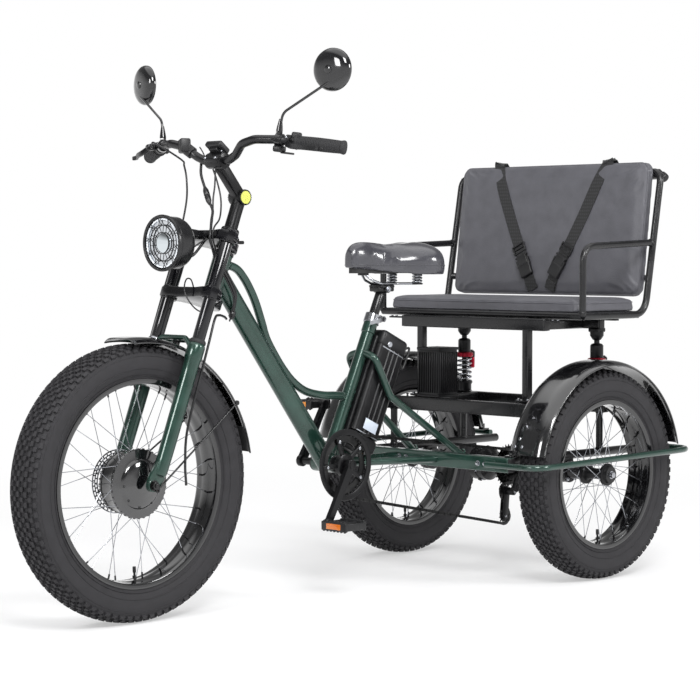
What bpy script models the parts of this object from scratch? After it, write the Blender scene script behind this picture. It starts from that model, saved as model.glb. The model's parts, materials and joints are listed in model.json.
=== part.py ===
"""Electric tricycle with one steered wheel in front and a passenger bench over two rear wheels."""
import math

import bmesh
import bpy
from mathutils import Matrix, Vector

# Metres and degrees. X points forward, Y to the rider's left, Z up.
# Places are measured from the ground below the middle of the rear axle.

# Wheels
WHEELBASE = 1.363
HALF_TRACK = 0.371
FRONT_RADIUS = 0.343
REAR_RADIUS = 0.292
TYRE_HEIGHT = 0.090
TYRE_WIDTH = 0.102
LUG_HEIGHT = 0.005
LUG_INSET = 0.003
SEAT_GAP = 0.0003
RIM_WIDTH = 0.080
RIM_DEPTH = 0.012
SPOKE_RADIUS = 0.0014
SPOKE_BITE = 0.003
SPOKE_PAIRS = 9
SPOKE_LEAN = 26.0
SPOKE_SIDES = 3
FRONT_STEPS = 48
REAR_STEPS = 40
TYRE_SECTION_SHARES = ((0.76, 0.0), (0.94, 0.28), (1.0, 0.56), (0.90, 0.83), (0.52, 0.97), (0.0, 1.0))
RIM_SECTION_SHARES = ((1.0, 1.0), (0.9, 0.0))
RIM_STEPS = 40
LUG_FROM_SHARE = 0.955
LUG_SIDE_SHARE = 0.25
LUG_SLOPE = 0.75

# Hubs and axles
MOTOR_RADIUS = 0.076
MOTOR_HALF_WIDTH = 0.050
MOTOR_FLANGE = 0.010
MOTOR_FLANGE_WIDTH = 0.006
MOTOR_FLANGE_PLACE = 0.028
MOTOR_STEPS = 24
MOTOR_SHARES = ((1.0, 0.316), (0.86, 0.763), (0.74, 1.0))
AXLE_RADIUS = 0.008
RUNNING_GAP = 0.0004
DISC_RADIUS = 0.080
DISC_THICKNESS = 0.002
DISC_PLACE = 0.055
DISC_CARRIER_RADIUS = 0.034
DISC_CARRIER_WALL = 0.003
CALIPER_SIZE = (0.040, 0.016, 0.046)
CALIPER_TURN = 165.0
CALIPER_GAP = 0.005
REAR_HUB_RADIUS = 0.014
REAR_FLANGE_RADIUS = 0.031
REAR_HUB_HALF_WIDTH = 0.047
REAR_FLANGE_WIDTH = 0.012
REAR_AXLE_END = 0.058
HUB_STEPS = 14

# Steering head, fork and stem, along and across the steering axis
HEAD_LEAN = 21.3
AXLE_AHEAD = 0.079
FORK_AHEAD = 0.067
FORK_HALF_SPREAD = 0.080
LEG_RADIUS = 0.020
LEG_TOP = 0.370
LEG_FOOT = 0.030
ARCH_RISE = 0.010
ARCH_RADIUS = 0.009
ARCH_SHARES = ((0.81, -1.4), (0.54, 1.1))
STANCHION_RADIUS = 0.016
LOWER_CROWN = 0.502
UPPER_CROWN = 0.655
CROWN_THICKNESS = 0.027
CROWN_REACH = 0.024
CROWN_BACK_HALF = 0.030
CROWN_SHARES = (0.86, 0.92, 0.5)
STANCHION_CAP_SHARE = 0.7
STEERER_RADIUS = 0.0143
HEAD_RADIUS = 0.024
HEAD_GAP = 0.002
DROPOUT_THICKNESS = 0.012
DROPOUT_LENGTH = 0.062
DROPOUT_DEPTH = 0.036
STEM_PIVOT = 0.790
STEM_RADIUS = 0.017
STEM_COLLAR_RADIUS = 0.024
STEM_COLLAR_HEIGHT = 0.034
PIVOT_RADIUS = 0.020
PIVOT_HALF_WIDTH = 0.024
STEM_ARM_AHEAD = 0.104
STEM_ARM_RISE = 0.058
STEM_ARM_DEPTH = 0.030
STEM_ARM_WIDTH = 0.034
CLAMP_RADIUS = 0.024
CLAMP_HALF_WIDTH = 0.030

# Handlebar, from the stem's clamp
BAR_RADIUS = 0.0111
GRIP_RADIUS = 0.017
GRIP_LENGTH = 0.125
BAR_HALF_WIDTH = 0.369
BAR_RISE = 0.048
BAR_AHEAD = 0.018
BAR_BACK = 0.086
BAR_SHARES = ((0.0, 0.0, 0.0), (0.12, 0.0, 0.0), (0.20, 0.25, 0.2), (0.30, 0.80, 0.9), (0.43, 1.0, 0.95))
BAR_SWEEP_SHARES = ((0.58, 0.96, 0.2), (1.0, 0.5, 1.0))
BAR_BEND = 0.030
BAR_BEND_STEPS = 2
GRIP_END = 0.005
LEVER_SHARE = 0.80
LEVER_CLAMP_RADIUS = 0.016
LEVER_CLAMP_LENGTH = 0.014
LEVER_PERCH = (0.024, 0.022, 0.016)
LEVER_REACH = 0.048
LEVER_LENGTH = 0.100
LEVER_DROP = 0.012
LEVER_RADIUS = 0.0048
DISPLAY_SIZE = (0.036, 0.062, 0.016)

# Main frame
CRANK_X = 0.693
CRANK_Z = 0.345
SEAT_TUBE_TOP_X = 0.522
SEAT_TUBE_TOP_Z = 0.715
SEAT_TUBE_RADIUS = 0.017
DOWN_TUBE_WIDTH = 0.046
DOWN_TUBE_DEPTH = 0.056
TOP_TUBE_RADIUS = 0.011
TOP_TUBE_SHARES = (
    (0.0, 0.0), (0.109, 0.045), (0.171, 0.042), (0.223, 0.018), (0.265, -0.016), (0.309, -0.073),
    (0.344, -0.122), (0.406, -0.157), (0.478, -0.183), (0.559, -0.193), (0.658, -0.176), (0.787, -0.118),
    (0.906, -0.050), (1.0, 0.0))
TOP_TUBE_HEAD = 0.610
TOP_TUBE_SEAT = 0.192
SHELL_RADIUS = 0.024
SHELL_HALF_WIDTH = 0.036
STAY_RADIUS = 0.010
STAY_BEND = 0.045
SEAT_STAY_RISE = 0.322
SEAT_STAY_HALF = 0.051
SEAT_STAY_FOOT_HALF = 0.092
SEAT_STAY_SHARE = 0.74
GUSSET_THICKNESS = 0.004
GUSSET_REACH = 0.090
GUSSET_HEIGHT = 0.070
BORE_STEPS = 24

# Rear carriage
CROSS_AHEAD = 0.038
CROSS_X = REAR_RADIUS + CROSS_AHEAD
CROSS_RISE = 0.044
CROSS_Z = REAR_RADIUS + CROSS_RISE
CROSS_END_GAP = 0.029
CROSS_HALF_LENGTH = HALF_TRACK - CROSS_END_GAP
CROSS_HEIGHT = 0.040
CROSS_DEPTH = 0.030
REAR_TIE_BEHIND = 0.080
REAR_TIE_X = CROSS_X - REAR_TIE_BEHIND
REAR_TIE_HALF_LENGTH = 0.106
CHAINSTAY_FRONT_HALF = 0.026
CHAINSTAY_REAR_HALF = 0.078
GUARD_RADIUS = 0.0085
GUARD_CLEARANCE = 0.033
GUARD_SIDE = HALF_TRACK + TYRE_WIDTH / 2 + GUARD_CLEARANCE
GUARD_BEHIND = 0.040
GUARD_REAR_X = REAR_RADIUS + GUARD_BEHIND
GUARD_RISE = 0.010
GUARD_BEND = 0.055
GUARD_LAP = 0.070
RAIL_INSET = 0.109
RAIL_HALF_SPREAD = HALF_TRACK - RAIL_INSET
RAIL_RADIUS = 0.012
RAIL_REAR_X = 0.300
AXLE_TUBE_RADIUS = 0.020
BEARING_LENGTH = 0.034
BEARING_RADIUS = 0.032
PLATFORM_FRONT_X = 0.156
PLATFORM_REAR_X = 0.150
PLATFORM_RISE = 0.152
PLATFORM_TOP = CROSS_Z + PLATFORM_RISE
PLATFORM_HEIGHT = 0.038
PLATFORM_DEPTH = 0.024
PLATFORM_INSET = 0.084
PLATFORM_HALF_WIDTH = HALF_TRACK - PLATFORM_INSET
PLATFORM_RAIL_HALF = 0.202
GEAR_CASE_RADIUS = 0.048
GEAR_CASE_HALF_WIDTH = 0.040
GEAR_CASE_SIDE = -0.045
GEAR_CASE_SHARE = 0.6
BEARING_SEAT_SHARES = (1.4, 0.6)
CARRIAGE_HUB_GAP = 0.005

# Bench
POST_X = 0.100
POST_WIDTH = 0.022
POST_FOOT = 0.050
POST_FOOT_THICKNESS = 0.006
BENCH_BEAM_TOP = 0.724
BENCH_BEAM_HEIGHT = 0.034
BENCH_BEAM_DEPTH = 0.024
BENCH_BEAM_HALF = 0.272
SHOCK_X = 0.145
SHOCK_INSET = 0.116
SHOCK_HALF_SPREAD = HALF_TRACK - SHOCK_INSET
SHOCK_RADIUS = 0.026
SHOCK_WIRE = 0.0045
SHOCK_TURNS = 6
SHOCK_STEPS = 10
SHOCK_SHARES = (
    (0.0, 0.5), (0.12, 0.5), (0.12, 1.0), (0.2, 1.0), (0.2, 0.45), (0.66, 0.45), (0.66, 1.05), (0.9, 1.05),
    (0.9, 0.5),
    (1.0, 0.5))
SHOCK_COIL_SHARES = (0.17, 0.52)
BENCH_RADIUS = 0.010
BENCH_SIDE = 0.382
BENCH_Z = 0.7325
BENCH_FRONT_X = 0.078
BENCH_REAR_X = 0.190
BACK_TOP_Z = 1.140
BACK_TOP_X = 0.276
BACK_RAIL_SHARES = (0.25, 0.97)
BACK_CORNER_STEP = 0.012
BACK_TOP_SHARE = 0.8
BENCH_REAR_STEP = 0.020
ARM_RADIUS = 0.0095
ARM_RISE = 0.012
ARM_REAR_SHARE = 0.86
BENCH_BEND = 0.060
ARM_Z = 0.925
ARM_BEND = 0.050
SEAT_FRONT_X = 0.078
SEAT_REAR_X = 0.196
SEAT_THICKNESS = 0.036
SEAT_HALF_WIDTH = 0.362
CUSHION_ROUND = 0.010
BACK_HEIGHT = 0.390
BACK_THICKNESS = 0.034
BACK_HALF_WIDTH = 0.352
BACK_LEAN = 7.0
BACK_GAP = 0.006
BACK_STEP = 0.002
BACK_CORNER = 0.030
BELT_WIDTH = 0.038
BELT_THICKNESS = 0.0025
BUCKLE_LENGTH = 0.060
BUCKLE_THICKNESS = 0.012
BELT_LAP_SHARE = 0.3
BELT_SHARES = ((0.54, 0.97), (0.20, 0.32), (0.09, 0.03))
HANDLE_BEHIND = 0.034
HANDLE_DROP = 0.018
HANDLE_SIDE_SHARE = 0.93
HANDLE_GRIP = 0.020
HANDLE_GRIP_RADIUS = 0.013

# Saddle
POST_RADIUS = 0.0136
SADDLE_X = 0.470
SADDLE_Z = 0.868
SADDLE_TOP = 0.066
SADDLE_LENGTH = 0.270
SADDLE_HALF_WIDTH = 0.112
SADDLE_BELLY = 0.014
SADDLE_STEPS = 12
SADDLE_CROWN = 0.6
SADDLE_CLAMP = (0.060, 0.052, 0.022)
SEAT_COLLAR = 0.026
SEAT_COLLAR_WALL = 0.005
SEAT_LEVER = (0.010, 0.010, 0.052)
RAIL_DROP = 0.034
RAIL_WIRE = 0.0035
RAIL_HALF_GAP = 0.020
RAIL_NOSE_SHARE = 0.30
SPRING_BACK = 0.082
SPRING_SIDE = 0.048
SPRING_RADIUS = 0.015
SPRING_WIRE = 0.0030
SPRING_TURNS = 3
SPRING_CAP = 0.004
SADDLE_SHARES = (
    (0.0, 0.14, 0.72), (0.08, 0.20, 0.86), (0.26, 0.26, 1.0), (0.48, 0.46, 0.96), (0.66, 0.80, 0.92),
    (0.82, 1.0, 0.96), (0.94, 0.96, 0.94), (1.0, 0.80, 0.80))

# Battery, controller
BATTERY_LENGTH = 0.335
BATTERY_DEPTH = 0.104
BATTERY_WIDTH = 0.074
BATTERY_START = 0.070
BATTERY_BACK = 0.026
CONTROLLER_SIZE = (0.088, 0.088, 0.145)
CONTROLLER_PLACE = (0.112, -0.128)
CONTROLLER_ROUND = 0.005
DOCK_SHARES = (0.5, 0.86)

# Fenders
FENDER_THICKNESS = 0.003
FRONT_FENDER_GAP = 0.015
FRONT_FENDER_RADIUS = FRONT_RADIUS + FRONT_FENDER_GAP
FRONT_FENDER_HALF = 0.057
FRONT_FENDER_FROM = 84.0
FRONT_FENDER_TO = 171.0
REAR_FENDER_GAP = 0.024
REAR_FENDER_RADIUS = REAR_RADIUS + REAR_FENDER_GAP
REAR_FENDER_HALF = 0.060
REAR_FENDER_FROM = 13.0
REAR_FENDER_TO = 167.0
FENDER_TAB = (0.026, 0.022)
FENDER_TAB_SHARE = 0.42
FENDER_INNER_SHARE = 0.72
FENDER_WEB_SHARE = 1.5
FENDER_END_TURN = 1.0
FENDER_TAB_THICKNESS = 0.005
FENDER_STAY_RADIUS = 0.003
FENDER_STAY_TURN = 148.0
FENDER_STAY_GAP = 0.0012
FENDER_STAY_SHARES = (1.6, 0.97)
FENDER_STEPS = 18
FENDER_CURVE_SHARES = ((-1.0, -1.0), (-0.86, -0.42), (-0.45, -0.08), (0.45, -0.08), (0.86, -0.42),
                       (1.0, -1.0))
FENDER_DROP = 0.012

# Lamp
LAMP_BEHIND_AXLE = 0.173
LAMP_X = WHEELBASE - LAMP_BEHIND_AXLE
LAMP_Z = 0.933
LAMP_RADIUS = 0.071
LAMP_LENGTH = 0.076
LAMP_STRUT_RADIUS = 0.009
LAMP_PLATE = (0.005, 0.044, 0.022)
LAMP_SHARES = (
    (0.0, 0.55), (0.22, 0.86), (0.5, 0.94), (0.86, 0.96), (0.87, 1.0), (1.0, 1.0), (1.0, 0.9), (0.84, 0.9),
    (0.6, 0.4))
LENS_PLACE_SHARE = 0.84
LENS_DEPTH_SHARE = 0.08
LENS_RADIUS_SHARE = 0.9

# Mirrors
MIRROR_BEHIND_AXLE = 0.338
MIRROR_X = WHEELBASE - MIRROR_BEHIND_AXLE
MIRROR_SIDE = 0.358
MIRROR_Z = 1.355
MIRROR_RADIUS = 0.053
MIRROR_THICKNESS = 0.022
MIRROR_TURN = 13.0
MIRROR_ROD = 0.0045
MIRROR_SHARE = 0.93
MIRROR_CLAMP_RADIUS = 0.0165
MIRROR_CLAMP_LENGTH = 0.014
MIRROR_ARM_SHARES = ((0.0, 0.2), (0.5, 0.40))
MIRROR_SHARES = ((-1.0, 0.94), (-0.5, 1.0), (0.0, 1.0), (1.0, 0.72), (1.3, 0.3))
MIRROR_STEPS = 22

# Front brake cable: places ahead of the right fork leg, out from it and up the steering axis
CABLE_RADIUS = 0.0025
CABLE_SIDES = 6
CABLE_PLACES = (
    (0.060, 0.110, 0.800), (0.030, 0.034, 0.700), (0.0, 0.028, 0.655), (0.0, 0.028, 0.502),
    (0.0, 0.0245, 0.350),
    (0.0, 0.0245, 0.160), (-0.019, 0.0165, 0.120), (-0.026, 0.004, 0.095))

# Cranks, chain and gears
CHAIN_LINE = 0.066
CHAINRING_RADIUS = 0.083
CHAINRING_GUARD = 0.096
CHAINRING_THICKNESS = 0.004
CHAINRING_STEPS = 32
SPIDER_SHARE = 0.5
GUARD_GAP = 0.003
CRANK_LENGTH = 0.170
CRANK_TURN = -60.0
CRANK_SIDE = 0.094
CRANK_WIDTH = 0.026
CRANK_THICKNESS = 0.014
CRANK_TIP_SHARE = 0.4
CRANK_TIP = 0.010
CRANK_HUB_SHARE = 0.6
SPINDLE_RADIUS = 0.010
PEDAL_WIDTH = 0.092
PEDAL_LENGTH = 0.078
PEDAL_THICKNESS = 0.024
PEDAL_PIN = 0.006
PEDAL_GAP = 0.006
PEDAL_ROUND = 0.003
PEDAL_SHARES = (0.8, 0.88)
CHAIN_WIDTH = 0.007
CHAIN_HEIGHT = 0.009
CHAIN_STEP = 0.22
SPROCKET_RADIUS = 0.046
SPROCKET_PLAY = 0.0007
SPROCKET_STEPS = 20
SMALL_GEAR_SHARES = ((-0.27, 0.8), (-0.14, 1.0), (0.09, 1.0), (0.09, 0.8), (1.0, 0.62))
LARGE_GEAR_SHARES = ((-1.0, 1.5), (-0.36, 1.2))
GEAR_HALF_WIDTH = 0.022
GEAR_FACE = 0.006
JOCKEY_RADIUS = 0.022
JOCKEY_AHEAD = 0.034
JOCKEY_DROP = 0.070
JOCKEY_STEP = 0.006
JOCKEY_SPAN = 0.072
JOCKEY_HIGH = (JOCKEY_AHEAD, REAR_RADIUS - JOCKEY_DROP)
JOCKEY_LOW = (JOCKEY_AHEAD + JOCKEY_STEP, REAR_RADIUS - JOCKEY_DROP - JOCKEY_SPAN)
CAGE_THICKNESS = 0.002
HANGER_SIDE = 0.034
CAGE_SHARES = (1.1, 0.4, 0.5)

# Roundness of the shapes
STEPS = 16
FINE_STEPS = 28
SMALL_STEPS = 8
BEND_STEPS = 4
SOFT_STEPS = 2
COIL_SIDES = 4
COIL_STEPS = 6
BEND_SHARE = 0.45
STRAIGHT_WITHIN = 2.0
SMOOTH_WITHIN = 50.0
WELD = 0.000001

X_AXIS = Vector((1.0, 0.0, 0.0))
Y_AXIS = Vector((0.0, 1.0, 0.0))
Z_AXIS = Vector((0.0, 0.0, 1.0))
LEFT = 1.0
RIGHT = -1.0

FRONT_AXLE = Vector((WHEELBASE, 0.0, FRONT_RADIUS))
CRANK_CENTRE = Vector((CRANK_X, 0.0, CRANK_Z))
SEAT_TUBE_TOP = Vector((SEAT_TUBE_TOP_X, 0.0, SEAT_TUBE_TOP_Z))
STEER_UP = Vector((-math.sin(math.radians(HEAD_LEAN)), 0.0, math.cos(math.radians(HEAD_LEAN))))
STEER_AHEAD = Vector((math.cos(math.radians(HEAD_LEAN)), 0.0, math.sin(math.radians(HEAD_LEAN))))
STEER_FOOT = FRONT_AXLE - STEER_AHEAD * AXLE_AHEAD
MIDDLE_X = (WHEELBASE + FRONT_RADIUS - GUARD_REAR_X - GUARD_RADIUS) / 2


# Shapes

def square_axes(direction, near=None):
    """Two directions square to one another and to the given one."""
    direction = direction.normalized()
    guide = near if near is not None else (Z_AXIS if abs(direction.z) < abs(direction.y) else Y_AXIS)
    across = (guide - direction * guide.dot(direction)).normalized()
    return across, direction.cross(across)


def axes_at(centre, along, upward):
    """The matrix of a place whose X runs along and whose Z runs upward."""
    along = along.normalized()
    across = upward.cross(along).normalized()
    matrix = Matrix((along, across, along.cross(across))).transposed().to_4x4()
    matrix.translation = centre
    return matrix


def block(centre, size, along=X_AXIS, upward=Z_AXIS):
    """A box; size counts along, across and upward."""
    form = bmesh.new()
    bmesh.ops.create_cube(form, size=1.0, matrix=axes_at(centre, along,
                                                         upward) @ Matrix.Diagonal((*size, 1.0)))
    return form


def oval_rod(start, end, half_width, half_depth, sides=STEPS, across=None):
    """A straight bar of round or oval section; its width runs across."""
    across, upward = square_axes(end - start, across)
    matrix = axes_at((start + end) / 2, across, end - start)
    stretch = Matrix.Diagonal((half_width, half_depth, 1.0, 1.0))
    form = bmesh.new()
    bmesh.ops.create_cone(form, cap_ends=True, segments=sides, radius1=1.0, radius2=1.0,
                          depth=(end - start).length, matrix=matrix @ stretch)
    return form


def rod(start, end, radius, sides=SMALL_STEPS):
    """A straight round bar."""
    return oval_rod(start, end, radius, radius, sides)


def bent(points, radius, steps=BEND_STEPS):
    """Rounds the inner corners of a path."""
    points = [Vector(point) for point in points]
    path = [points[0]]
    for before, corner, after in zip(points, points[1:], points[2:]):
        back, ahead = before - corner, after - corner
        turn = math.pi - back.angle(ahead)
        if turn < math.radians(STRAIGHT_WITHIN):
            path.append(corner)
            continue
        reach = min(radius * math.tan(turn / 2), back.length * BEND_SHARE, ahead.length * BEND_SHARE)
        start, end = corner + back.normalized() * reach, corner + ahead.normalized() * reach
        for step in range(steps + 1):
            share = step / steps
            path.append(start * (1 - share) ** 2 + corner * 2 * share * (1 - share) + end * share ** 2)
    path.append(points[-1])
    return path


def pipe(path, radius, sides=SMALL_STEPS, closed=False):
    """A round bar that follows a path, as a curve with a bevel and filled ends."""
    curve = bpy.data.curves.new("path", "CURVE")
    curve.dimensions = "3D"
    curve.bevel_depth = radius
    curve.bevel_resolution = (sides - 4) // 2
    curve.use_fill_caps = True
    spline = curve.splines.new("POLY")
    spline.points.add(len(path) - 1)
    for point, place in zip(spline.points, path):
        point.co = (*place, 1.0)
    spline.use_cyclic_u = closed
    carrier = bpy.data.objects.new("path", curve)
    bpy.context.scene.collection.objects.link(carrier)
    bpy.context.view_layer.update()
    mesh = bpy.data.meshes.new_from_object(carrier.evaluated_get(bpy.context.evaluated_depsgraph_get()))
    form = bmesh.new()
    form.from_mesh(mesh)
    bpy.data.objects.remove(carrier)
    bpy.data.curves.remove(curve)
    bpy.data.meshes.remove(mesh)
    bmesh.ops.remove_doubles(form, verts=form.verts, dist=WELD)
    bmesh.ops.recalc_face_normals(form, faces=form.faces)
    return form


def drawn(centre, direction, outline, steps, across, closed):
    """The line that a revolve turns; it holds (along, radius) pairs."""
    direction = direction.normalized()
    across, upward = square_axes(direction, across)
    spoke = Matrix.Rotation(math.pi / steps, 3, direction) @ across
    form = bmesh.new()
    corners = [form.verts.new(centre + direction * along + spoke * radius) for along, radius in outline]
    followers = corners[1:] + corners[:1] if closed else corners[1:]
    for corner, after in zip(corners, followers):
        form.edges.new((corner, after))
    return form


def revolved(form, centre, direction, steps):
    bmesh.ops.spin(form, geom=form.verts[:] + form.edges[:], cent=centre, axis=direction.normalized(),
                   angle=math.tau, steps=steps, use_merge=True)
    bmesh.ops.remove_doubles(form, verts=form.verts, dist=WELD)
    return form


def turned(centre, direction, outline, steps=STEPS, across=None):
    """A solid of revolution; the outline holds (along, radius) pairs, open at both ends."""
    form = revolved(drawn(centre, direction, outline, steps, across, False), centre, direction, steps)
    bmesh.ops.holes_fill(form, edges=form.edges)
    bmesh.ops.recalc_face_normals(form, faces=form.faces)
    return form


def ringed(centre, direction, outline, steps=STEPS, across=None):
    """A solid ring; the outline is a closed loop of (along, radius) pairs."""
    form = revolved(drawn(centre, direction, outline, steps, across, True), centre, direction, steps)
    bmesh.ops.recalc_face_normals(form, faces=form.faces)
    return form


def tube(start, end, outer, inner, steps=STEPS):
    length = (end - start).length
    return ringed(start, end - start, [(0.0, inner), (0.0, outer), (length, outer), (length, inner)], steps)


def spun(outline, centre, direction, degrees, steps, rise=0.0):
    """A flat outline filled and spun part of the way round, or up a spiral."""
    form = bmesh.new()
    form.faces.new([form.verts.new(point) for point in outline])
    bmesh.ops.spin(form, geom=form.verts[:] + form.edges[:] + form.faces[:], cent=centre,
                   axis=direction, angle=math.radians(degrees), steps=steps, dvec=direction * rise / steps)
    bmesh.ops.recalc_face_normals(form, faces=form.faces)
    return form


def coil(centre, direction, radius, wire, turns, length):
    """A coil spring."""
    across, upward = square_axes(direction)
    middle = centre + across * radius
    section = []
    for side in range(COIL_SIDES):
        angle = math.tau * side / COIL_SIDES
        section.append(middle + (across * math.cos(angle) + direction * math.sin(angle)) * wire)
    return spun(section, centre, direction, math.degrees(math.tau) * turns, turns * COIL_STEPS, length)


def plate(outline, start, end):
    """A flat sheet: a closed outline of points, pushed from start to end offsets."""
    form = bmesh.new()
    face = form.faces.new([form.verts.new(point + start) for point in outline])
    pushed = bmesh.ops.extrude_face_region(form, geom=[face])["geom"]
    corners = [item for item in pushed if isinstance(item, bmesh.types.BMVert)]
    bmesh.ops.translate(form, verts=corners, vec=end - start)
    bmesh.ops.recalc_face_normals(form, faces=form.faces)
    return form


def ring_edges(form, ring):
    corners = [form.verts.new(point) for point in ring]
    return [form.edges.new((corner, after)) for corner, after in zip(corners, corners[1:] + corners[:1])]


def lofted(rings):
    """A solid through closed rings of points, capped at both ends."""
    form = bmesh.new()
    loops = [ring_edges(form, ring) for ring in rings]
    for one, two in zip(loops, loops[1:]):
        bmesh.ops.bridge_loops(form, edges=one + two)
    bmesh.ops.holes_fill(form, edges=form.edges)
    bmesh.ops.recalc_face_normals(form, faces=form.faces)
    return form


def band(path, normal, height, width):
    """A closed flat belt round a path."""
    outer, inner = [], []
    for index, place in enumerate(path):
        direction = (path[(index + 1) % len(path)] - path[index - 1]).normalized()
        outward = normal.cross(direction) * height / 2
        outer.append(place + outward - normal * width / 2)
        inner.append(place - outward - normal * width / 2)
    form = bmesh.new()
    bmesh.ops.bridge_loops(form, edges=ring_edges(form, outer) + ring_edges(form, inner))
    pushed = bmesh.ops.extrude_face_region(form, geom=form.faces[:])["geom"]
    corners = [item for item in pushed if isinstance(item, bmesh.types.BMVert)]
    bmesh.ops.translate(form, verts=corners, vec=normal * width)
    bmesh.ops.recalc_face_normals(form, faces=form.faces)
    return form


def softened(form, radius, steps=SOFT_STEPS):
    """Rounds every sharp edge of a form."""
    bmesh.ops.bevel(form, geom=list(form.edges), offset=radius, segments=steps, profile=0.5, affect="EDGES",
                    clamp_overlap=True)
    bmesh.ops.recalc_face_normals(form, faces=form.faces)
    return form


def steered(ahead, side, rise):
    """A place measured from the foot of the steering axis."""
    return STEER_FOOT + STEER_AHEAD * ahead + Y_AXIS * side + STEER_UP * rise


def seat_line(rise, back=0.0, side=0.0):
    """A place measured up the seat tube from the crank, and back from its middle."""
    along = (SEAT_TUBE_TOP - CRANK_CENTRE).normalized()
    behind = Vector((-along.z, 0.0, along.x))
    return CRANK_CENTRE + along * rise + behind * back + Y_AXIS * side


def wheel_point(centre, radius, turn, side=0.0):
    """A place around a wheel; turn counts from straight ahead over the top."""
    angle = math.radians(turn)
    return centre + Vector((math.cos(angle) * radius, side, math.sin(angle) * radius))


# Objects

def cleared():
    for item in list(bpy.data.objects):
        bpy.data.objects.remove(item)


def finish(name, colour, rough, metal):
    material = bpy.data.materials.new(name)
    material.use_nodes = True
    shader = material.node_tree.nodes["Principled BSDF"]
    shader.inputs["Base Color"].default_value = (*colour, 1.0)
    shader.inputs["Roughness"].default_value = rough
    shader.inputs["Metallic"].default_value = metal
    material.diffuse_color = (*colour, 1.0)
    return material


GREEN = ((0.028, 0.082, 0.066), 0.35, 0.4)
BLACK = ((0.018, 0.018, 0.020), 0.35, 0.3)
GLOSS = ((0.012, 0.012, 0.014), 0.15, 0.0)
MATT = ((0.025, 0.025, 0.027), 0.6, 0.0)
RUBBER = ((0.035, 0.034, 0.037), 0.85, 0.0)
LEATHER = ((0.10, 0.10, 0.11), 0.55, 0.0)
STEEL = ((0.55, 0.56, 0.58), 0.3, 1.0)
RED = ((0.38, 0.015, 0.03), 0.35, 0.2)
GLASS = ((0.55, 0.57, 0.60), 0.1, 0.8)


def mesh_object(name, form):
    mesh = bpy.data.meshes.new(name)
    form.to_mesh(mesh)
    form.free()
    item = bpy.data.objects.new(name, mesh)
    bpy.context.scene.collection.objects.link(item)
    return item


def baked(item):
    """Replaces an object's mesh with its modified one."""
    bpy.context.view_layer.update()
    seen = item.evaluated_get(bpy.context.evaluated_depsgraph_get())
    mesh = bpy.data.meshes.new_from_object(seen)
    item.modifiers.clear()
    item.data = mesh


def combined(name, forms, cuts=()):
    """Joins forms into one body, then takes the cuts away."""
    item = mesh_object(name, forms[0])
    for operation, parts in (("UNION", forms[1:]), ("DIFFERENCE", cuts)):
        if not parts:
            continue
        group = bpy.data.collections.new(name + "_" + operation)
        bpy.context.scene.collection.children.link(group)
        helpers = []
        for index, part in enumerate(parts):
            helper = mesh_object(name + "_helper_" + str(index), part)
            bpy.context.scene.collection.objects.unlink(helper)
            group.objects.link(helper)
            helpers.append(helper)
        modifier = item.modifiers.new(operation, "BOOLEAN")
        modifier.operation = operation
        modifier.solver = "EXACT"
        modifier.operand_type = "COLLECTION"
        modifier.collection = group
        baked(item)
        for helper in helpers:
            bpy.data.objects.remove(helper)
        bpy.data.collections.remove(group)
    return item


def placed(item, look, pivot=None, smooth=True):
    """Gives an object its finish and sets its origin on its pivot."""
    pivot = pivot if pivot is not None else Vector((0.0, 0.0, 0.0))
    item.data.transform(Matrix.Translation(-pivot))
    item.location = pivot - X_AXIS * MIDDLE_X
    item.data.materials.clear()
    item.data.materials.append(finish(item.name, *look))
    if smooth:
        form = bmesh.new()
        form.from_mesh(item.data)
        for face in form.faces:
            face.smooth = True
        for edge in form.edges:
            soft = math.radians(SMOOTH_WITHIN)
            edge.smooth = len(edge.link_faces) == 2 and edge.calc_face_angle(0.0) < soft
        form.to_mesh(item.data)
        form.free()
    return item


def made(name, forms, look, pivot=None, cuts=()):
    return placed(combined(name, forms, cuts), look, pivot)


# Wheels

def lugged(form, centre, steps, crown):
    """Raises every second tread block, the two halves in turn."""
    blocks = []
    for face in form.faces:
        middle = face.calc_center_median() - centre
        reach = math.hypot(middle.x, middle.z)
        if reach < crown * LUG_FROM_SHARE or abs(face.normal.y) > LUG_SLOPE:
            continue
        step = round((math.atan2(middle.z, middle.x) + math.pi / 2) / math.tau * steps)
        shoulder = abs(middle.y) > TYRE_WIDTH * LUG_SIDE_SHARE
        if (step + (middle.y > 0) + shoulder) % 2 == 0:
            blocks.append(face)
    bmesh.ops.inset_individual(form, faces=blocks, thickness=LUG_INSET, depth=LUG_HEIGHT,
                               use_even_offset=False)
    bmesh.ops.recalc_face_normals(form, faces=form.faces)


def tyre(name, centre, radius, steps):
    base = radius - LUG_HEIGHT
    bead = radius - TYRE_HEIGHT
    widen = 1 / math.cos(math.pi / steps)
    half = [(TYRE_WIDTH / 2 * wide, (bead + (base - bead) * high) * widen)
            for wide, high in TYRE_SECTION_SHARES]
    outline = half + [(-wide, high) for wide, high in reversed(half[:-1])]
    form = ringed(centre, Y_AXIS, outline, steps, across=Z_AXIS.cross(Y_AXIS))
    lugged(form, centre, steps, base)
    return placed(mesh_object(name, form), RUBBER, centre)


def rim_ring(centre, radius):
    bead = radius - TYRE_HEIGHT - SEAT_GAP
    half = [(RIM_WIDTH / 2 * wide, bead - RIM_DEPTH * (1 - high)) for wide, high in RIM_SECTION_SHARES]
    outline = half + [(-wide, high) for wide, high in reversed(half)]
    return ringed(centre, Y_AXIS, outline, RIM_STEPS)


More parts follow.
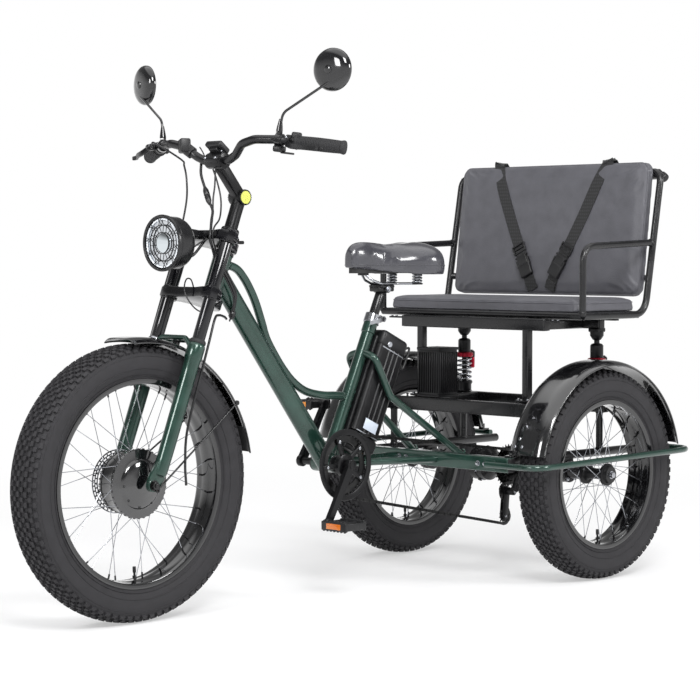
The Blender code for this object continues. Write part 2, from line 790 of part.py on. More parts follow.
def spokes(centre, radius, flange_radius, flange_side):
    """Crossed pairs of spokes from both flanges to the rim."""
    inner = radius - TYRE_HEIGHT - SEAT_GAP - RIM_DEPTH + SPOKE_BITE
    forms = []
    for side in (LEFT, RIGHT):
        for pair in range(SPOKE_PAIRS):
            turn = 360.0 * (pair + 0.5 + side / 4) / SPOKE_PAIRS
            for lean in (LEFT, RIGHT):
                offset = Y_AXIS * lean * side * SPOKE_RADIUS
                start = wheel_point(centre, flange_radius, turn + lean * SPOKE_LEAN, flange_side * side)
                end = wheel_point(centre, inner, turn - lean * 90.0 / SPOKE_PAIRS)
                forms.append(rod(start + offset, end + offset, SPOKE_RADIUS, SPOKE_SIDES))
    return forms


def front_wheel():
    tyre("front_tyre", FRONT_AXLE, FRONT_RADIUS, FRONT_STEPS)
    flange = MOTOR_RADIUS + SEAT_GAP
    forms = [rim_ring(FRONT_AXLE, FRONT_RADIUS)]
    for side in (LEFT, RIGHT):
        start = FRONT_AXLE + Y_AXIS * side * (MOTOR_FLANGE_PLACE - MOTOR_FLANGE_WIDTH / 2)
        end = start + Y_AXIS * side * MOTOR_FLANGE_WIDTH
        forms.append(tube(start, end, flange + MOTOR_FLANGE, flange, MOTOR_STEPS))
    forms += spokes(FRONT_AXLE, FRONT_RADIUS, flange + MOTOR_FLANGE / 2, MOTOR_FLANGE_PLACE)
    made("front_rim", forms, BLACK, FRONT_AXLE)
    bore = AXLE_RADIUS + RUNNING_GAP
    half = [(MOTOR_HALF_WIDTH, bore)]
    half += [(MOTOR_HALF_WIDTH * wide, MOTOR_RADIUS * high) for wide, high in MOTOR_SHARES]
    outline = half + [(-wide, high) for wide, high in reversed(half)]
    made("hub_motor", [ringed(FRONT_AXLE, Y_AXIS, outline, MOTOR_STEPS)], MATT, FRONT_AXLE)
    near, far = MOTOR_HALF_WIDTH + SEAT_GAP, DISC_PLACE + DISC_THICKNESS / 2
    carrier, inner = DISC_CARRIER_RADIUS, bore + DISC_CARRIER_WALL
    outline = [(near, inner), (near, carrier), (far - DISC_THICKNESS, carrier),
               (far - DISC_THICKNESS, DISC_RADIUS),
               (far, DISC_RADIUS), (far, inner)]
    made("brake_disc", [ringed(FRONT_AXLE, -Y_AXIS, outline, FINE_STEPS)], STEEL, FRONT_AXLE)


def rear_wheel(word, side):
    centre = Vector((0.0, HALF_TRACK * side, REAR_RADIUS))
    tyre("rear_tyre_" + word, centre, REAR_RADIUS, REAR_STEPS)
    half = REAR_HUB_HALF_WIDTH
    neck = half - REAR_FLANGE_WIDTH
    bore = AXLE_RADIUS + RUNNING_GAP
    outline = [(half, bore), (half, REAR_FLANGE_RADIUS), (neck, REAR_FLANGE_RADIUS), (neck, REAR_HUB_RADIUS)]
    outline += [(-wide, high) for wide, high in reversed(outline)]
    forms = [rim_ring(centre, REAR_RADIUS), ringed(centre, Y_AXIS, outline, HUB_STEPS)]
    forms += spokes(centre, REAR_RADIUS, REAR_FLANGE_RADIUS - SPOKE_BITE, half - REAR_FLANGE_WIDTH / 2)
    made("rear_rim_" + word, forms, BLACK, centre)


# Fork and what turns with it

def fork_lowers():
    forms = []
    for side in (LEFT, RIGHT):
        spread = FORK_HALF_SPREAD * side
        forms.append(rod(steered(FORK_AHEAD, spread, LEG_FOOT), steered(FORK_AHEAD, spread, LEG_TOP),
                         LEG_RADIUS, STEPS))
        dropout = FRONT_AXLE + Y_AXIS * spread + STEER_UP * DROPOUT_LENGTH / 4
        forms.append(block(dropout, (DROPOUT_DEPTH, DROPOUT_THICKNESS, DROPOUT_LENGTH), STEER_AHEAD,
                           STEER_UP))
    half = [(FORK_HALF_SPREAD * across, LEG_TOP + ARCH_RISE * rise) for across, rise in ARCH_SHARES]
    arch = half + [(-across, rise) for across, rise in reversed(half)]
    arch = [steered(FORK_AHEAD, across, rise) for across, rise in arch]
    forms.append(pipe(bent(arch, ARCH_RISE), ARCH_RADIUS))
    reach = Y_AXIS * (FORK_HALF_SPREAD + DROPOUT_THICKNESS)
    forms.append(rod(FRONT_AXLE - reach, FRONT_AXLE + reach, AXLE_RADIUS, STEPS))
    made("fork_lowers", forms, GREEN, STEER_FOOT)


def crown(rise):
    """The outline of half a fork crown, mirrored and given its thickness."""
    front, back = FORK_AHEAD + CROWN_REACH, FORK_AHEAD - CROWN_REACH
    reach = FORK_HALF_SPREAD + CROWN_REACH
    ahead_share, back_share, tail_share = CROWN_SHARES
    outline = [(front, reach * ahead_share), (FORK_AHEAD, reach), (back, reach * back_share),
               (-CROWN_BACK_HALF * tail_share, CROWN_BACK_HALF),
               (-CROWN_BACK_HALF, CROWN_BACK_HALF * tail_share)]
    outline += [(ahead, -side) for ahead, side in reversed(outline)]
    outline = [steered(ahead, side, rise) for ahead, side in outline]
    return plate(outline, -STEER_UP * CROWN_THICKNESS / 2, STEER_UP * CROWN_THICKNESS / 2)


def fork_uppers():
    forms = [crown(LOWER_CROWN), crown(UPPER_CROWN)]
    top = UPPER_CROWN + CROWN_THICKNESS * STANCHION_CAP_SHARE
    for side in (LEFT, RIGHT):
        spread = FORK_HALF_SPREAD * side
        foot = steered(FORK_AHEAD, spread, LEG_TOP + SEAT_GAP)
        forms.append(rod(foot, steered(FORK_AHEAD, spread, top), STANCHION_RADIUS, STEPS))
    forms.append(rod(steered(0.0, 0.0, LOWER_CROWN), steered(0.0, 0.0, UPPER_CROWN), STEERER_RADIUS, STEPS))
    made("fork_uppers", forms, BLACK, STEER_FOOT)


def caliper_place():
    side = DISC_PLACE + DISC_THICKNESS / 2 + CALIPER_GAP + CALIPER_SIZE[1] / 2
    return wheel_point(FRONT_AXLE, DISC_RADIUS, CALIPER_TURN, -side)


def caliper_axes():
    """Outward from the axle, and upward round it."""
    outward = wheel_point(Vector((0.0, 0.0, 0.0)), 1.0, CALIPER_TURN)
    return outward, outward.cross(-Y_AXIS)


def front_caliper():
    """The outer half of the brake caliper, on a bracket behind the right leg."""
    outward, upward = caliper_axes()
    centre = caliper_place()
    body = block(centre, CALIPER_SIZE, outward, upward)
    rise = (centre - STEER_FOOT).dot(STEER_UP)
    start = steered(FORK_AHEAD - LEG_RADIUS - SEAT_GAP * 2, -FORK_HALF_SPREAD, rise)
    bracket = rod(start, centre, CALIPER_SIZE[1] / 4)
    made("front_caliper", [body, bracket], MATT, STEER_FOOT)


def stem_clamp():
    return steered(STEM_ARM_AHEAD, 0.0, STEM_PIVOT + STEM_ARM_RISE)


def stem():
    base = UPPER_CROWN + CROWN_THICKNESS / 2 + SEAT_GAP
    pivot = steered(0.0, 0.0, STEM_PIVOT)
    clamp = stem_clamp()
    arm = clamp - pivot
    half = Y_AXIS * CLAMP_HALF_WIDTH
    forms = [rod(steered(0.0, 0.0, base), pivot, STEM_RADIUS, STEPS),
             rod(steered(0.0, 0.0, base), steered(0.0, 0.0, base + STEM_COLLAR_HEIGHT), STEM_COLLAR_RADIUS,
                 STEPS),
             rod(pivot - Y_AXIS * PIVOT_HALF_WIDTH, pivot + Y_AXIS * PIVOT_HALF_WIDTH, PIVOT_RADIUS, STEPS),
             block(pivot + arm / 2, (arm.length, STEM_ARM_WIDTH, STEM_ARM_DEPTH), arm, arm.cross(Y_AXIS)),
             rod(clamp - half, clamp + half, CLAMP_RADIUS, STEPS)]
    hole = rod(clamp - half * 2, clamp + half * 2, BAR_RADIUS + SEAT_GAP, STEPS)
    made("stem", forms, MATT, STEER_FOOT, [hole])


def display():
    place = stem_clamp() + Z_AXIS * (CLAMP_RADIUS + SEAT_GAP + DISPLAY_SIZE[2] / 2)
    made("display", [softened(block(place, DISPLAY_SIZE), LUG_INSET, 1)], MATT, STEER_FOOT)


def bar_point(out, ahead, rise):
    return stem_clamp() + X_AXIS * ahead + Y_AXIS * out * BAR_HALF_WIDTH + Z_AXIS * BAR_RISE * rise


def bar_path(side):
    path = [bar_point(out * side, BAR_AHEAD * ahead, rise) for out, rise, ahead in BAR_SHARES]
    path += [bar_point(out * side, BAR_AHEAD - (BAR_AHEAD + BAR_BACK) * back, rise)
             for out, rise, back in BAR_SWEEP_SHARES]
    return path


def handlebar():
    path = list(reversed(bar_path(RIGHT))) + bar_path(LEFT)[1:]
    made("handlebar", [pipe(bent(path, BAR_BEND, BAR_BEND_STEPS), BAR_RADIUS)], MATT, STEER_FOOT)


def grip(word, side):
    end = bar_path(side)[-1]
    outward, ahead, upward = bar_axes(side)
    form = tube(end - outward * GRIP_LENGTH, end + outward * GRIP_END, GRIP_RADIUS, BAR_RADIUS + SEAT_GAP)
    made("grip_" + word, [form], RUBBER, STEER_FOOT)


def bar_axes(side):
    """Outward, ahead and upward at the straight outer part of the handlebar."""
    path = bar_path(side)
    outward = (path[-1] - path[-2]).normalized()
    ahead = (outward.cross(Z_AXIS) * side).normalized()
    return outward, ahead, outward.cross(ahead) * -side


def bar_place(side, share):
    """A place on the straight outer part of the handlebar, counted from its end."""
    path = bar_path(side)
    return path[-1] + (path[-2] - path[-1]) * share


def bar_clamp(place, along, radius, length):
    half = along * length / 2
    return tube(place - half, place + half, radius, BAR_RADIUS + SEAT_GAP)


def brake_lever(word, side):
    """A clamp, its perch and the blade that reaches out in front of the grip."""
    outward, ahead, upward = bar_axes(side)
    place = bar_place(side, LEVER_SHARE)
    perch = place + ahead * (LEVER_CLAMP_RADIUS - SEAT_GAP * 4 + LEVER_PERCH[0] / 2)
    far = place + ahead * LEVER_REACH - upward * LEVER_DROP
    blade = [perch, far + outward * LEVER_REACH / 2, far + outward * LEVER_LENGTH - ahead * LEVER_DROP / 2]
    forms = [bar_clamp(place, outward, LEVER_CLAMP_RADIUS, LEVER_CLAMP_LENGTH),
             block(perch, LEVER_PERCH, ahead, upward),
             pipe(bent(blade, BAR_BEND, BAR_BEND_STEPS), LEVER_RADIUS)]
    made("brake_lever_" + word, forms, MATT, STEER_FOOT)


def brake_cable():
    """The front brake's cable, held all the way from the right lever to the caliper."""
    outward, ahead, upward = bar_axes(RIGHT)
    perch = bar_place(RIGHT, LEVER_SHARE) + ahead * (LEVER_CLAMP_RADIUS + LEVER_PERCH[0] + CABLE_RADIUS)
    path = [perch, perch + ahead * CABLE_RADIUS * 4 - outward * CABLE_RADIUS * 4]
    path += [steered(FORK_AHEAD + along, -FORK_HALF_SPREAD - out, rise) for along, out, rise in CABLE_PLACES]
    tangent = caliper_axes()[1]
    path.append(caliper_place() + tangent * (CALIPER_SIZE[2] + CABLE_RADIUS) / 2)
    made("brake_cable", [pipe(bent(path, BENCH_BEND, BAR_BEND_STEPS), CABLE_RADIUS, CABLE_SIDES)], MATT,
         STEER_FOOT)


def lamp():
    centre = Vector((LAMP_X, 0.0, LAMP_Z))
    outline = [(LAMP_LENGTH * along, LAMP_RADIUS * high) for along, high in LAMP_SHARES]
    made("headlight", [turned(centre, X_AXIS, outline, FINE_STEPS)], MATT, STEER_FOOT)
    front = centre + X_AXIS * (LAMP_LENGTH * LENS_PLACE_SHARE + SEAT_GAP)
    radius = LAMP_RADIUS * LENS_RADIUS_SHARE - SEAT_GAP
    lens = turned(front, X_AXIS, [(0.0, radius), (LAMP_LENGTH * LENS_DEPTH_SHARE, radius)], FINE_STEPS)
    made("headlight_lens", [lens], GLASS, STEER_FOOT)
    lean = math.tan(math.radians(HEAD_LEAN))
    face = steered(FORK_AHEAD + CROWN_REACH, 0.0, UPPER_CROWN - CROWN_THICKNESS / 4)
    start = face + X_AXIS * (LAMP_STRUT_RADIUS * lean + SEAT_GAP)
    strut = rod(start, Vector((LAMP_X - SEAT_GAP, 0.0, start.z)), LAMP_STRUT_RADIUS)
    seat = block(face + STEER_AHEAD * (LAMP_PLATE[0] / 2 + SEAT_GAP), LAMP_PLATE, STEER_AHEAD, STEER_UP)
    made("headlight_bracket", [strut, seat], MATT, STEER_FOOT)


def mirror(word, side):
    head = Vector((MIRROR_X, MIRROR_SIDE * side, MIRROR_Z))
    turn = math.radians(MIRROR_TURN)
    facing = Vector((math.cos(turn), math.sin(turn) * side, 0.0))
    half = MIRROR_THICKNESS / 2
    shell = turned(head, facing, [(half * along, MIRROR_RADIUS * high) for along, high in MIRROR_SHARES],
                   MIRROR_STEPS)
    outward, ahead, upward = bar_axes(side)
    place = bar_place(side, MIRROR_SHARE)
    base = place + upward * (MIRROR_CLAMP_RADIUS + BAR_RADIUS) / 2
    path = [base]
    for along, rise in MIRROR_ARM_SHARES:
        path.append(Vector((base.x + (head.x - base.x) * along, base.y + (head.y - base.y) * along,
                            base.z + (head.z - base.z) * rise)))
    path.append(head + facing * half)
    forms = [shell, pipe(bent(path, BAR_BEND, BAR_BEND_STEPS), MIRROR_ROD),
             bar_clamp(place, outward, MIRROR_CLAMP_RADIUS, MIRROR_CLAMP_LENGTH)]
    made("mirror_" + word, forms, MATT, STEER_FOOT)


def fender_skin(centre, radius, half, start, end):
    """A curved sheet with turned-down edges that follows a wheel."""
    angle = math.radians(start)
    spoke = Vector((math.cos(angle), 0.0, math.sin(angle)))
    inside = [centre + spoke * (radius + drop * FENDER_DROP) + Y_AXIS * wide * half
              for wide, drop in FENDER_CURVE_SHARES]
    section = inside + [point + spoke * FENDER_THICKNESS for point in reversed(inside)]
    return spun(section, centre, -Y_AXIS, end - start, FENDER_STEPS)


def front_fender():
    forms = [fender_skin(FRONT_AXLE, FRONT_FENDER_RADIUS, FRONT_FENDER_HALF, FRONT_FENDER_FROM,
                         FRONT_FENDER_TO)]
    low = FRONT_FENDER_RADIUS + FENDER_THICKNESS / 2
    high = LEG_TOP + ARCH_RISE * ARCH_SHARES[-1][1] - ARCH_RADIUS - SEAT_GAP
    size = (ARCH_RADIUS, ARCH_RADIUS * 2, high - low)
    forms.append(block(steered(FORK_AHEAD, 0.0, (low + high) / 2), size, STEER_AHEAD, STEER_UP))
    foot_side = FORK_HALF_SPREAD + DROPOUT_THICKNESS / 2 + FENDER_STAY_GAP + FENDER_STAY_RADIUS
    back_share, edge_share = FENDER_STAY_SHARES
    for side in (LEFT, RIGHT):
        foot = FRONT_AXLE - STEER_UP * DROPOUT_LENGTH / 8 - STEER_AHEAD * AXLE_RADIUS * back_share
        edge = wheel_point(FRONT_AXLE, FRONT_FENDER_RADIUS - FENDER_DROP / 2, FENDER_STAY_TURN,
                           FRONT_FENDER_HALF * edge_share * side)
        forms.append(rod(foot + Y_AXIS * foot_side * side, edge, FENDER_STAY_RADIUS))
    made("front_fender", forms, GLOSS, STEER_FOOT)


def rear_fender(word, side):
    centre = Vector((0.0, HALF_TRACK * side, REAR_RADIUS))
    forms = [fender_skin(centre, REAR_FENDER_RADIUS, REAR_FENDER_HALF, REAR_FENDER_FROM, REAR_FENDER_TO)]
    inner = (HALF_TRACK - REAR_FENDER_HALF * FENDER_INNER_SHARE) * side
    ends = ((REAR_FENDER_FROM + FENDER_END_TURN, CROSS_Z + CROSS_HEIGHT / 2 + SEAT_GAP, 1.0),
            (REAR_FENDER_TO - FENDER_END_TURN, CROSS_Z + GUARD_RISE + GUARD_RADIUS + SEAT_GAP, -1.0))
    for turn, low, ahead in ends:
        place = wheel_point(centre, REAR_FENDER_RADIUS, turn)
        tab_x = place.x + ahead * FENDER_TAB[0] * FENDER_TAB_SHARE
        tab = Vector((tab_x, inner, low + FENDER_TAB_THICKNESS / 2))
        forms.append(block(tab, (FENDER_TAB[0], FENDER_TAB[1], FENDER_TAB_THICKNESS)))
        web = Vector((place.x + ahead * FENDER_THICKNESS / 2, inner, (low + place.z) / 2 + FENDER_THICKNESS))
        height = place.z - low + FENDER_THICKNESS * 2
        forms.append(block(web, (FENDER_THICKNESS * FENDER_WEB_SHARE, FENDER_TAB[1], height)))
    made("rear_fender_" + word, forms, GLOSS)


# Frame

def top_tube_path():
    start = steered(0.0, 0.0, TOP_TUBE_HEAD)
    span = seat_line(TOP_TUBE_SEAT) - start
    return [start + span * along + Z_AXIS * span.length * rise for along, rise in TOP_TUBE_SHARES]


def rear_stays(side):
    """The lower and the upper stay of one side."""
    rear = Vector((REAR_TIE_X, CHAINSTAY_REAR_HALF * side, CROSS_Z))
    lower = [CRANK_CENTRE + Y_AXIS * side * CHAINSTAY_FRONT_HALF, Vector((CROSS_X, rear.y, CROSS_Z)), rear]
    upper = [seat_line(SEAT_STAY_RISE, 0.0, SEAT_TUBE_RADIUS / 2 * side),
             seat_line(SEAT_STAY_RISE - STAY_RADIUS, STAY_RADIUS / 2, SEAT_STAY_HALF * side),
             seat_line(SEAT_STAY_RISE * SEAT_STAY_SHARE, BATTERY_DEPTH, SEAT_STAY_HALF * side),
             Vector((REAR_TIE_X, SEAT_STAY_FOOT_HALF * side, CROSS_Z + STAY_RADIUS / 2))]
    return [pipe(bent(lower, STAY_BEND), STAY_RADIUS), pipe(bent(upper, STAY_BEND), STAY_RADIUS)]


def main_frame():
    head_low = steered(0.0, 0.0, LOWER_CROWN + CROWN_THICKNESS / 2 + HEAD_GAP)
    head_high = steered(0.0, 0.0, UPPER_CROWN - CROWN_THICKNESS / 2 - HEAD_GAP)
    head_middle = (head_low + head_high) / 2
    shell = Y_AXIS * SHELL_HALF_WIDTH
    rear = Vector((REAR_TIE_X, 0.0, CROSS_Z))
    tie = Y_AXIS * REAR_TIE_HALF_LENGTH
    forms = [rod(head_low, head_high, HEAD_RADIUS, BORE_STEPS),
             oval_rod(head_middle, CRANK_CENTRE, DOWN_TUBE_WIDTH / 2, DOWN_TUBE_DEPTH / 2, STEPS, Y_AXIS),
             pipe(top_tube_path(), TOP_TUBE_RADIUS, SMALL_STEPS),
             rod(CRANK_CENTRE, SEAT_TUBE_TOP, SEAT_TUBE_RADIUS, STEPS),
             rod(CRANK_CENTRE - shell, CRANK_CENTRE + shell, SHELL_RADIUS, BORE_STEPS),
             rod(rear - tie, rear + tie, RAIL_RADIUS, STEPS),
             block(Vector((CROSS_X, 0.0, CROSS_Z)), (CROSS_DEPTH, CROSS_HALF_LENGTH * 2, CROSS_HEIGHT))]
    forms += rear_stays(LEFT) + rear_stays(RIGHT)
    corner = seat_line(SHELL_RADIUS)
    gusset = [corner, corner - X_AXIS * GUSSET_REACH, seat_line(GUSSET_HEIGHT)]
    forms.append(plate(gusset, -Y_AXIS * GUSSET_THICKNESS, Y_AXIS * GUSSET_THICKNESS))
    bore = rod(steered(0.0, 0.0, LOWER_CROWN), steered(0.0, 0.0, UPPER_CROWN), STEERER_RADIUS + RUNNING_GAP,
               BORE_STEPS)
    spindle = rod(CRANK_CENTRE - shell * 2, CRANK_CENTRE + shell * 2, SPINDLE_RADIUS + RUNNING_GAP,
                  BORE_STEPS)
    made("main_frame", forms, GREEN, cuts=[bore, spindle])


def side_guard(word, side):
    start_x = CROSS_X + CROSS_DEPTH / 2 + SEAT_GAP + GUARD_RADIUS
    rear_z = CROSS_Z + GUARD_RISE
    path = [Vector((start_x, (CROSS_HALF_LENGTH - GUARD_LAP) * side, CROSS_Z)),
            Vector((start_x, GUARD_SIDE * side, CROSS_Z)),
            Vector((-GUARD_REAR_X, GUARD_SIDE * side, rear_z)),
            Vector((-GUARD_REAR_X, (HALF_TRACK - REAR_FENDER_HALF) * side, rear_z))]
    made("side_guard_" + word, [pipe(bent(path, GUARD_BEND), GUARD_RADIUS)], GREEN)


def carriage_side(side):
    """One side's rail, bearing, axle half and platform edge."""
    middle = Vector((0.0, 0.0, REAR_RADIUS))
    hub = middle + Y_AXIS * RAIL_HALF_SPREAD * side
    half = Y_AXIS * BEARING_LENGTH / 2
    rise = CROSS_Z - REAR_RADIUS
    deep_share, wide_share = BEARING_SEAT_SHARES
    inner = middle + Y_AXIS * (HALF_TRACK - REAR_HUB_HALF_WIDTH - CARRIAGE_HUB_GAP) * side
    outer = middle + Y_AXIS * (HALF_TRACK + REAR_AXLE_END) * side
    edge_z = PLATFORM_TOP - PLATFORM_HEIGHT / 2
    edge = Vector(((PLATFORM_FRONT_X - PLATFORM_REAR_X) / 2, PLATFORM_RAIL_HALF * side, edge_z))
    forms = [rod(Vector((CROSS_X - CROSS_DEPTH / 2 - SEAT_GAP, hub.y, CROSS_Z)),
                 Vector((-RAIL_REAR_X, hub.y, CROSS_Z)),
                 RAIL_RADIUS),
             rod(hub - half, hub + half, BEARING_RADIUS, STEPS),
             block(hub + Z_AXIS * rise / 2, (BEARING_RADIUS * deep_share, BEARING_LENGTH * wide_share, rise)),
             rod(middle, inner, AXLE_TUBE_RADIUS, STEPS),
             rod(middle, outer, AXLE_RADIUS, STEPS),
             block(edge, (PLATFORM_FRONT_X + PLATFORM_REAR_X, PLATFORM_DEPTH, PLATFORM_HEIGHT))]
    for x in (PLATFORM_FRONT_X, -PLATFORM_REAR_X):
        forms.append(rod(Vector((x, hub.y, CROSS_Z)), Vector((x, hub.y, edge_z)), STAY_RADIUS))
    return forms


def rear_carriage():
    forms = carriage_side(LEFT) + carriage_side(RIGHT)
    for x in (PLATFORM_FRONT_X, -PLATFORM_REAR_X):
        middle = Vector((x, 0.0, PLATFORM_TOP - PLATFORM_HEIGHT / 2))
        forms.append(block(middle, (PLATFORM_DEPTH, PLATFORM_HALF_WIDTH * 2, PLATFORM_HEIGHT)))
    case = Vector((0.0, GEAR_CASE_SIDE, REAR_RADIUS))
    half = GEAR_CASE_HALF_WIDTH
    outline = [(-half, GEAR_CASE_RADIUS * GEAR_CASE_SHARE), (-half * GEAR_CASE_SHARE, GEAR_CASE_RADIUS),
               (half * GEAR_CASE_SHARE, GEAR_CASE_RADIUS), (half, GEAR_CASE_RADIUS * GEAR_CASE_SHARE)]
    forms.append(turned(case, Y_AXIS, outline))
    made("rear_carriage", forms, BLACK)


def back_foot():
    """The lower front edge of the backrest."""
    return Vector((-SEAT_REAR_X - BACK_STEP, 0.0, BENCH_Z + BENCH_RADIUS + SEAT_THICKNESS + BACK_GAP))


def back_place(z):
    """The middle of the backrest's rear face at a height."""
    lean = math.radians(BACK_LEAN)
    rise = z - back_foot().z
    return Vector((back_foot().x - rise * math.tan(lean) - BACK_THICKNESS / math.cos(lean), 0.0, z))


def bench_side(side):
    """One side's post, base rail, back hoop and armrest."""
    y = BENCH_SIDE * side
    beam_z = BENCH_BEAM_TOP - BENCH_BEAM_HEIGHT / 2
    foot = Vector((POST_X, PLATFORM_RAIL_HALF * side, PLATFORM_TOP + SEAT_GAP))
    height = beam_z - foot.z
    rail = Vector(((POST_X - SHOCK_X) / 2, foot.y, beam_z))
    low = Vector((BENCH_FRONT_X, y, BENCH_Z))
    top_x = back_place(BACK_TOP_Z).x - BENCH_RADIUS * 2
    back = [low, Vector((-BENCH_REAR_X - BACK_CORNER_STEP, y, BENCH_Z)), Vector((-BACK_TOP_X, y, BACK_TOP_Z)),
            Vector((top_x, y * BACK_TOP_SHARE, BACK_TOP_Z))]
    arm = [low, Vector((BENCH_FRONT_X, y, ARM_Z)),
           Vector((-BACK_TOP_X * ARM_REAR_SHARE, y, ARM_Z + ARM_RISE))]
    return [block(foot + Z_AXIS * height / 2, (POST_WIDTH, POST_WIDTH, height)),
            block(foot + Z_AXIS * POST_FOOT_THICKNESS / 2, (POST_FOOT, POST_FOOT, POST_FOOT_THICKNESS)),
            block(rail, (POST_X + SHOCK_X, BENCH_BEAM_DEPTH, BENCH_BEAM_HEIGHT)),
            pipe(bent(back, BENCH_BEND), BENCH_RADIUS), pipe(bent(arm, ARM_BEND), ARM_RADIUS)]


def back_rail(share):
    """A cross rail behind the backrest, at a share of the hoops' height."""
    z = BENCH_Z + (BACK_TOP_Z - BENCH_Z) * share
    lean = BACK_TOP_X - BENCH_REAR_X - BACK_CORNER_STEP
    side_x = -BENCH_REAR_X - BACK_CORNER_STEP - lean * share
    x = back_place(z).x - BENCH_RADIUS - SEAT_GAP * 2
    path = [Vector((side_x, BENCH_SIDE, z)), Vector((x, BENCH_SIDE - BENCH_BEND / 2, z)),
            Vector((x, BENCH_BEND / 2 - BENCH_SIDE, z)), Vector((side_x, -BENCH_SIDE, z))]
    return pipe(bent(path, BENCH_BEND / 2, BAR_BEND_STEPS), BENCH_RADIUS)


def push_handle():
    """A short handle behind the upper left corner of the backrest."""
    start = Vector((back_place(BACK_TOP_Z).x - BENCH_RADIUS * 2, BENCH_SIDE * HANDLE_SIDE_SHARE, BACK_TOP_Z))
    end = start - X_AXIS * HANDLE_BEHIND - Z_AXIS * HANDLE_DROP
    inward = (start - end).normalized()
    return [rod(start, end, BENCH_RADIUS), rod(end, end + inward * HANDLE_GRIP, HANDLE_GRIP_RADIUS)]


def bench_frame():
    forms = bench_side(LEFT) + bench_side(RIGHT) + push_handle()
    beam_z = BENCH_BEAM_TOP - BENCH_BEAM_HEIGHT / 2
    for x in (POST_X, -SHOCK_X):
        forms.append(block(Vector((x, 0.0, beam_z)),
                           (BENCH_BEAM_DEPTH, BENCH_BEAM_HALF * 2, BENCH_BEAM_HEIGHT)))
    for x in (BENCH_FRONT_X, BENCH_REAR_STEP - BENCH_REAR_X):
        forms.append(rod(Vector((x, -BENCH_SIDE, BENCH_Z)), Vector((x, BENCH_SIDE, BENCH_Z)), BENCH_RADIUS))
    forms += [back_rail(share) for share in BACK_RAIL_SHARES]
    made("bench_frame", forms, BLACK)


def shock(word, side):
    low = Vector((-SHOCK_X, SHOCK_HALF_SPREAD * side, PLATFORM_TOP + SEAT_GAP))
    length = BENCH_BEAM_TOP - BENCH_BEAM_HEIGHT - SEAT_GAP - low.z
    start_share, length_share = SHOCK_COIL_SHARES
    outline = [(length * along, SHOCK_RADIUS * wide) for along, wide in SHOCK_SHARES]
    spring = coil(low + Z_AXIS * length * start_share, Z_AXIS, SHOCK_RADIUS - SHOCK_WIRE, SHOCK_WIRE,
                  SHOCK_TURNS,
                  length * length_share)
    made("shock_" + word, [turned(low, Z_AXIS, outline, SHOCK_STEPS), spring], RED)


def back_axes():
    """Upward along the backrest, and ahead out of its face."""
    lean = math.radians(BACK_LEAN)
    return Vector((-math.sin(lean), 0.0, math.cos(lean))), Vector((math.cos(lean), 0.0, math.sin(lean)))


def bench_cushion():
    centre = Vector(((SEAT_FRONT_X - SEAT_REAR_X) / 2, 0.0,
                     BENCH_Z + BENCH_RADIUS + SEAT_GAP + SEAT_THICKNESS / 2))
    seat = block(centre, (SEAT_FRONT_X + SEAT_REAR_X, SEAT_HALF_WIDTH * 2, SEAT_THICKNESS))
    made("bench_cushion", [softened(seat, CUSHION_ROUND)], LEATHER)


def backrest_cushion():
    upward, ahead = back_axes()
    centre = back_foot() + upward * BACK_HEIGHT / 2 - ahead * BACK_THICKNESS / 2
    form = block(centre, (BACK_THICKNESS, BACK_HALF_WIDTH * 2, BACK_HEIGHT), ahead, upward)
    corners = [edge for edge in form.edges
               if abs((edge.verts[0].co - edge.verts[1].co).normalized().dot(ahead)) > 0.5]
    bmesh.ops.bevel(form, geom=corners, offset=BACK_CORNER, segments=SOFT_STEPS + 1, profile=0.5,
                    affect="EDGES")
    sharp = [edge for edge in form.edges if edge.calc_face_angle(0.0) > math.radians(SMOOTH_WITHIN)]
    bmesh.ops.bevel(form, geom=sharp, offset=CUSHION_ROUND, segments=SOFT_STEPS, profile=0.5, affect="EDGES")
    bmesh.ops.recalc_face_normals(form, faces=form.faces)
    made("backrest_cushion", [form], LEATHER)


def clamp_top():
    """The level on which the saddle's rails lie."""
    return SADDLE_Z - SADDLE_BELLY - SEAT_GAP - RAIL_DROP


def seat_post():
    foot = seat_line((SEAT_TUBE_TOP - CRANK_CENTRE).length + SEAT_GAP)
    along = (SEAT_TUBE_TOP - CRANK_CENTRE).normalized()
    clamp_z = clamp_top() - SADDLE_CLAMP[2] / 2
    top = foot + along * (clamp_z - foot.z) / along.z
    collar = SEAT_TUBE_RADIUS + SEAT_COLLAR_WALL
    lever = foot + along * SEAT_COLLAR / 2 - X_AXIS * (collar + SEAT_LEVER[0] / 4)
    forms = [rod(foot, top, POST_RADIUS, STEPS), rod(foot, foot + along * SEAT_COLLAR, collar, STEPS),
             block(top, SADDLE_CLAMP), block(lever, SEAT_LEVER)]
    made("seat_post", forms, BLACK)


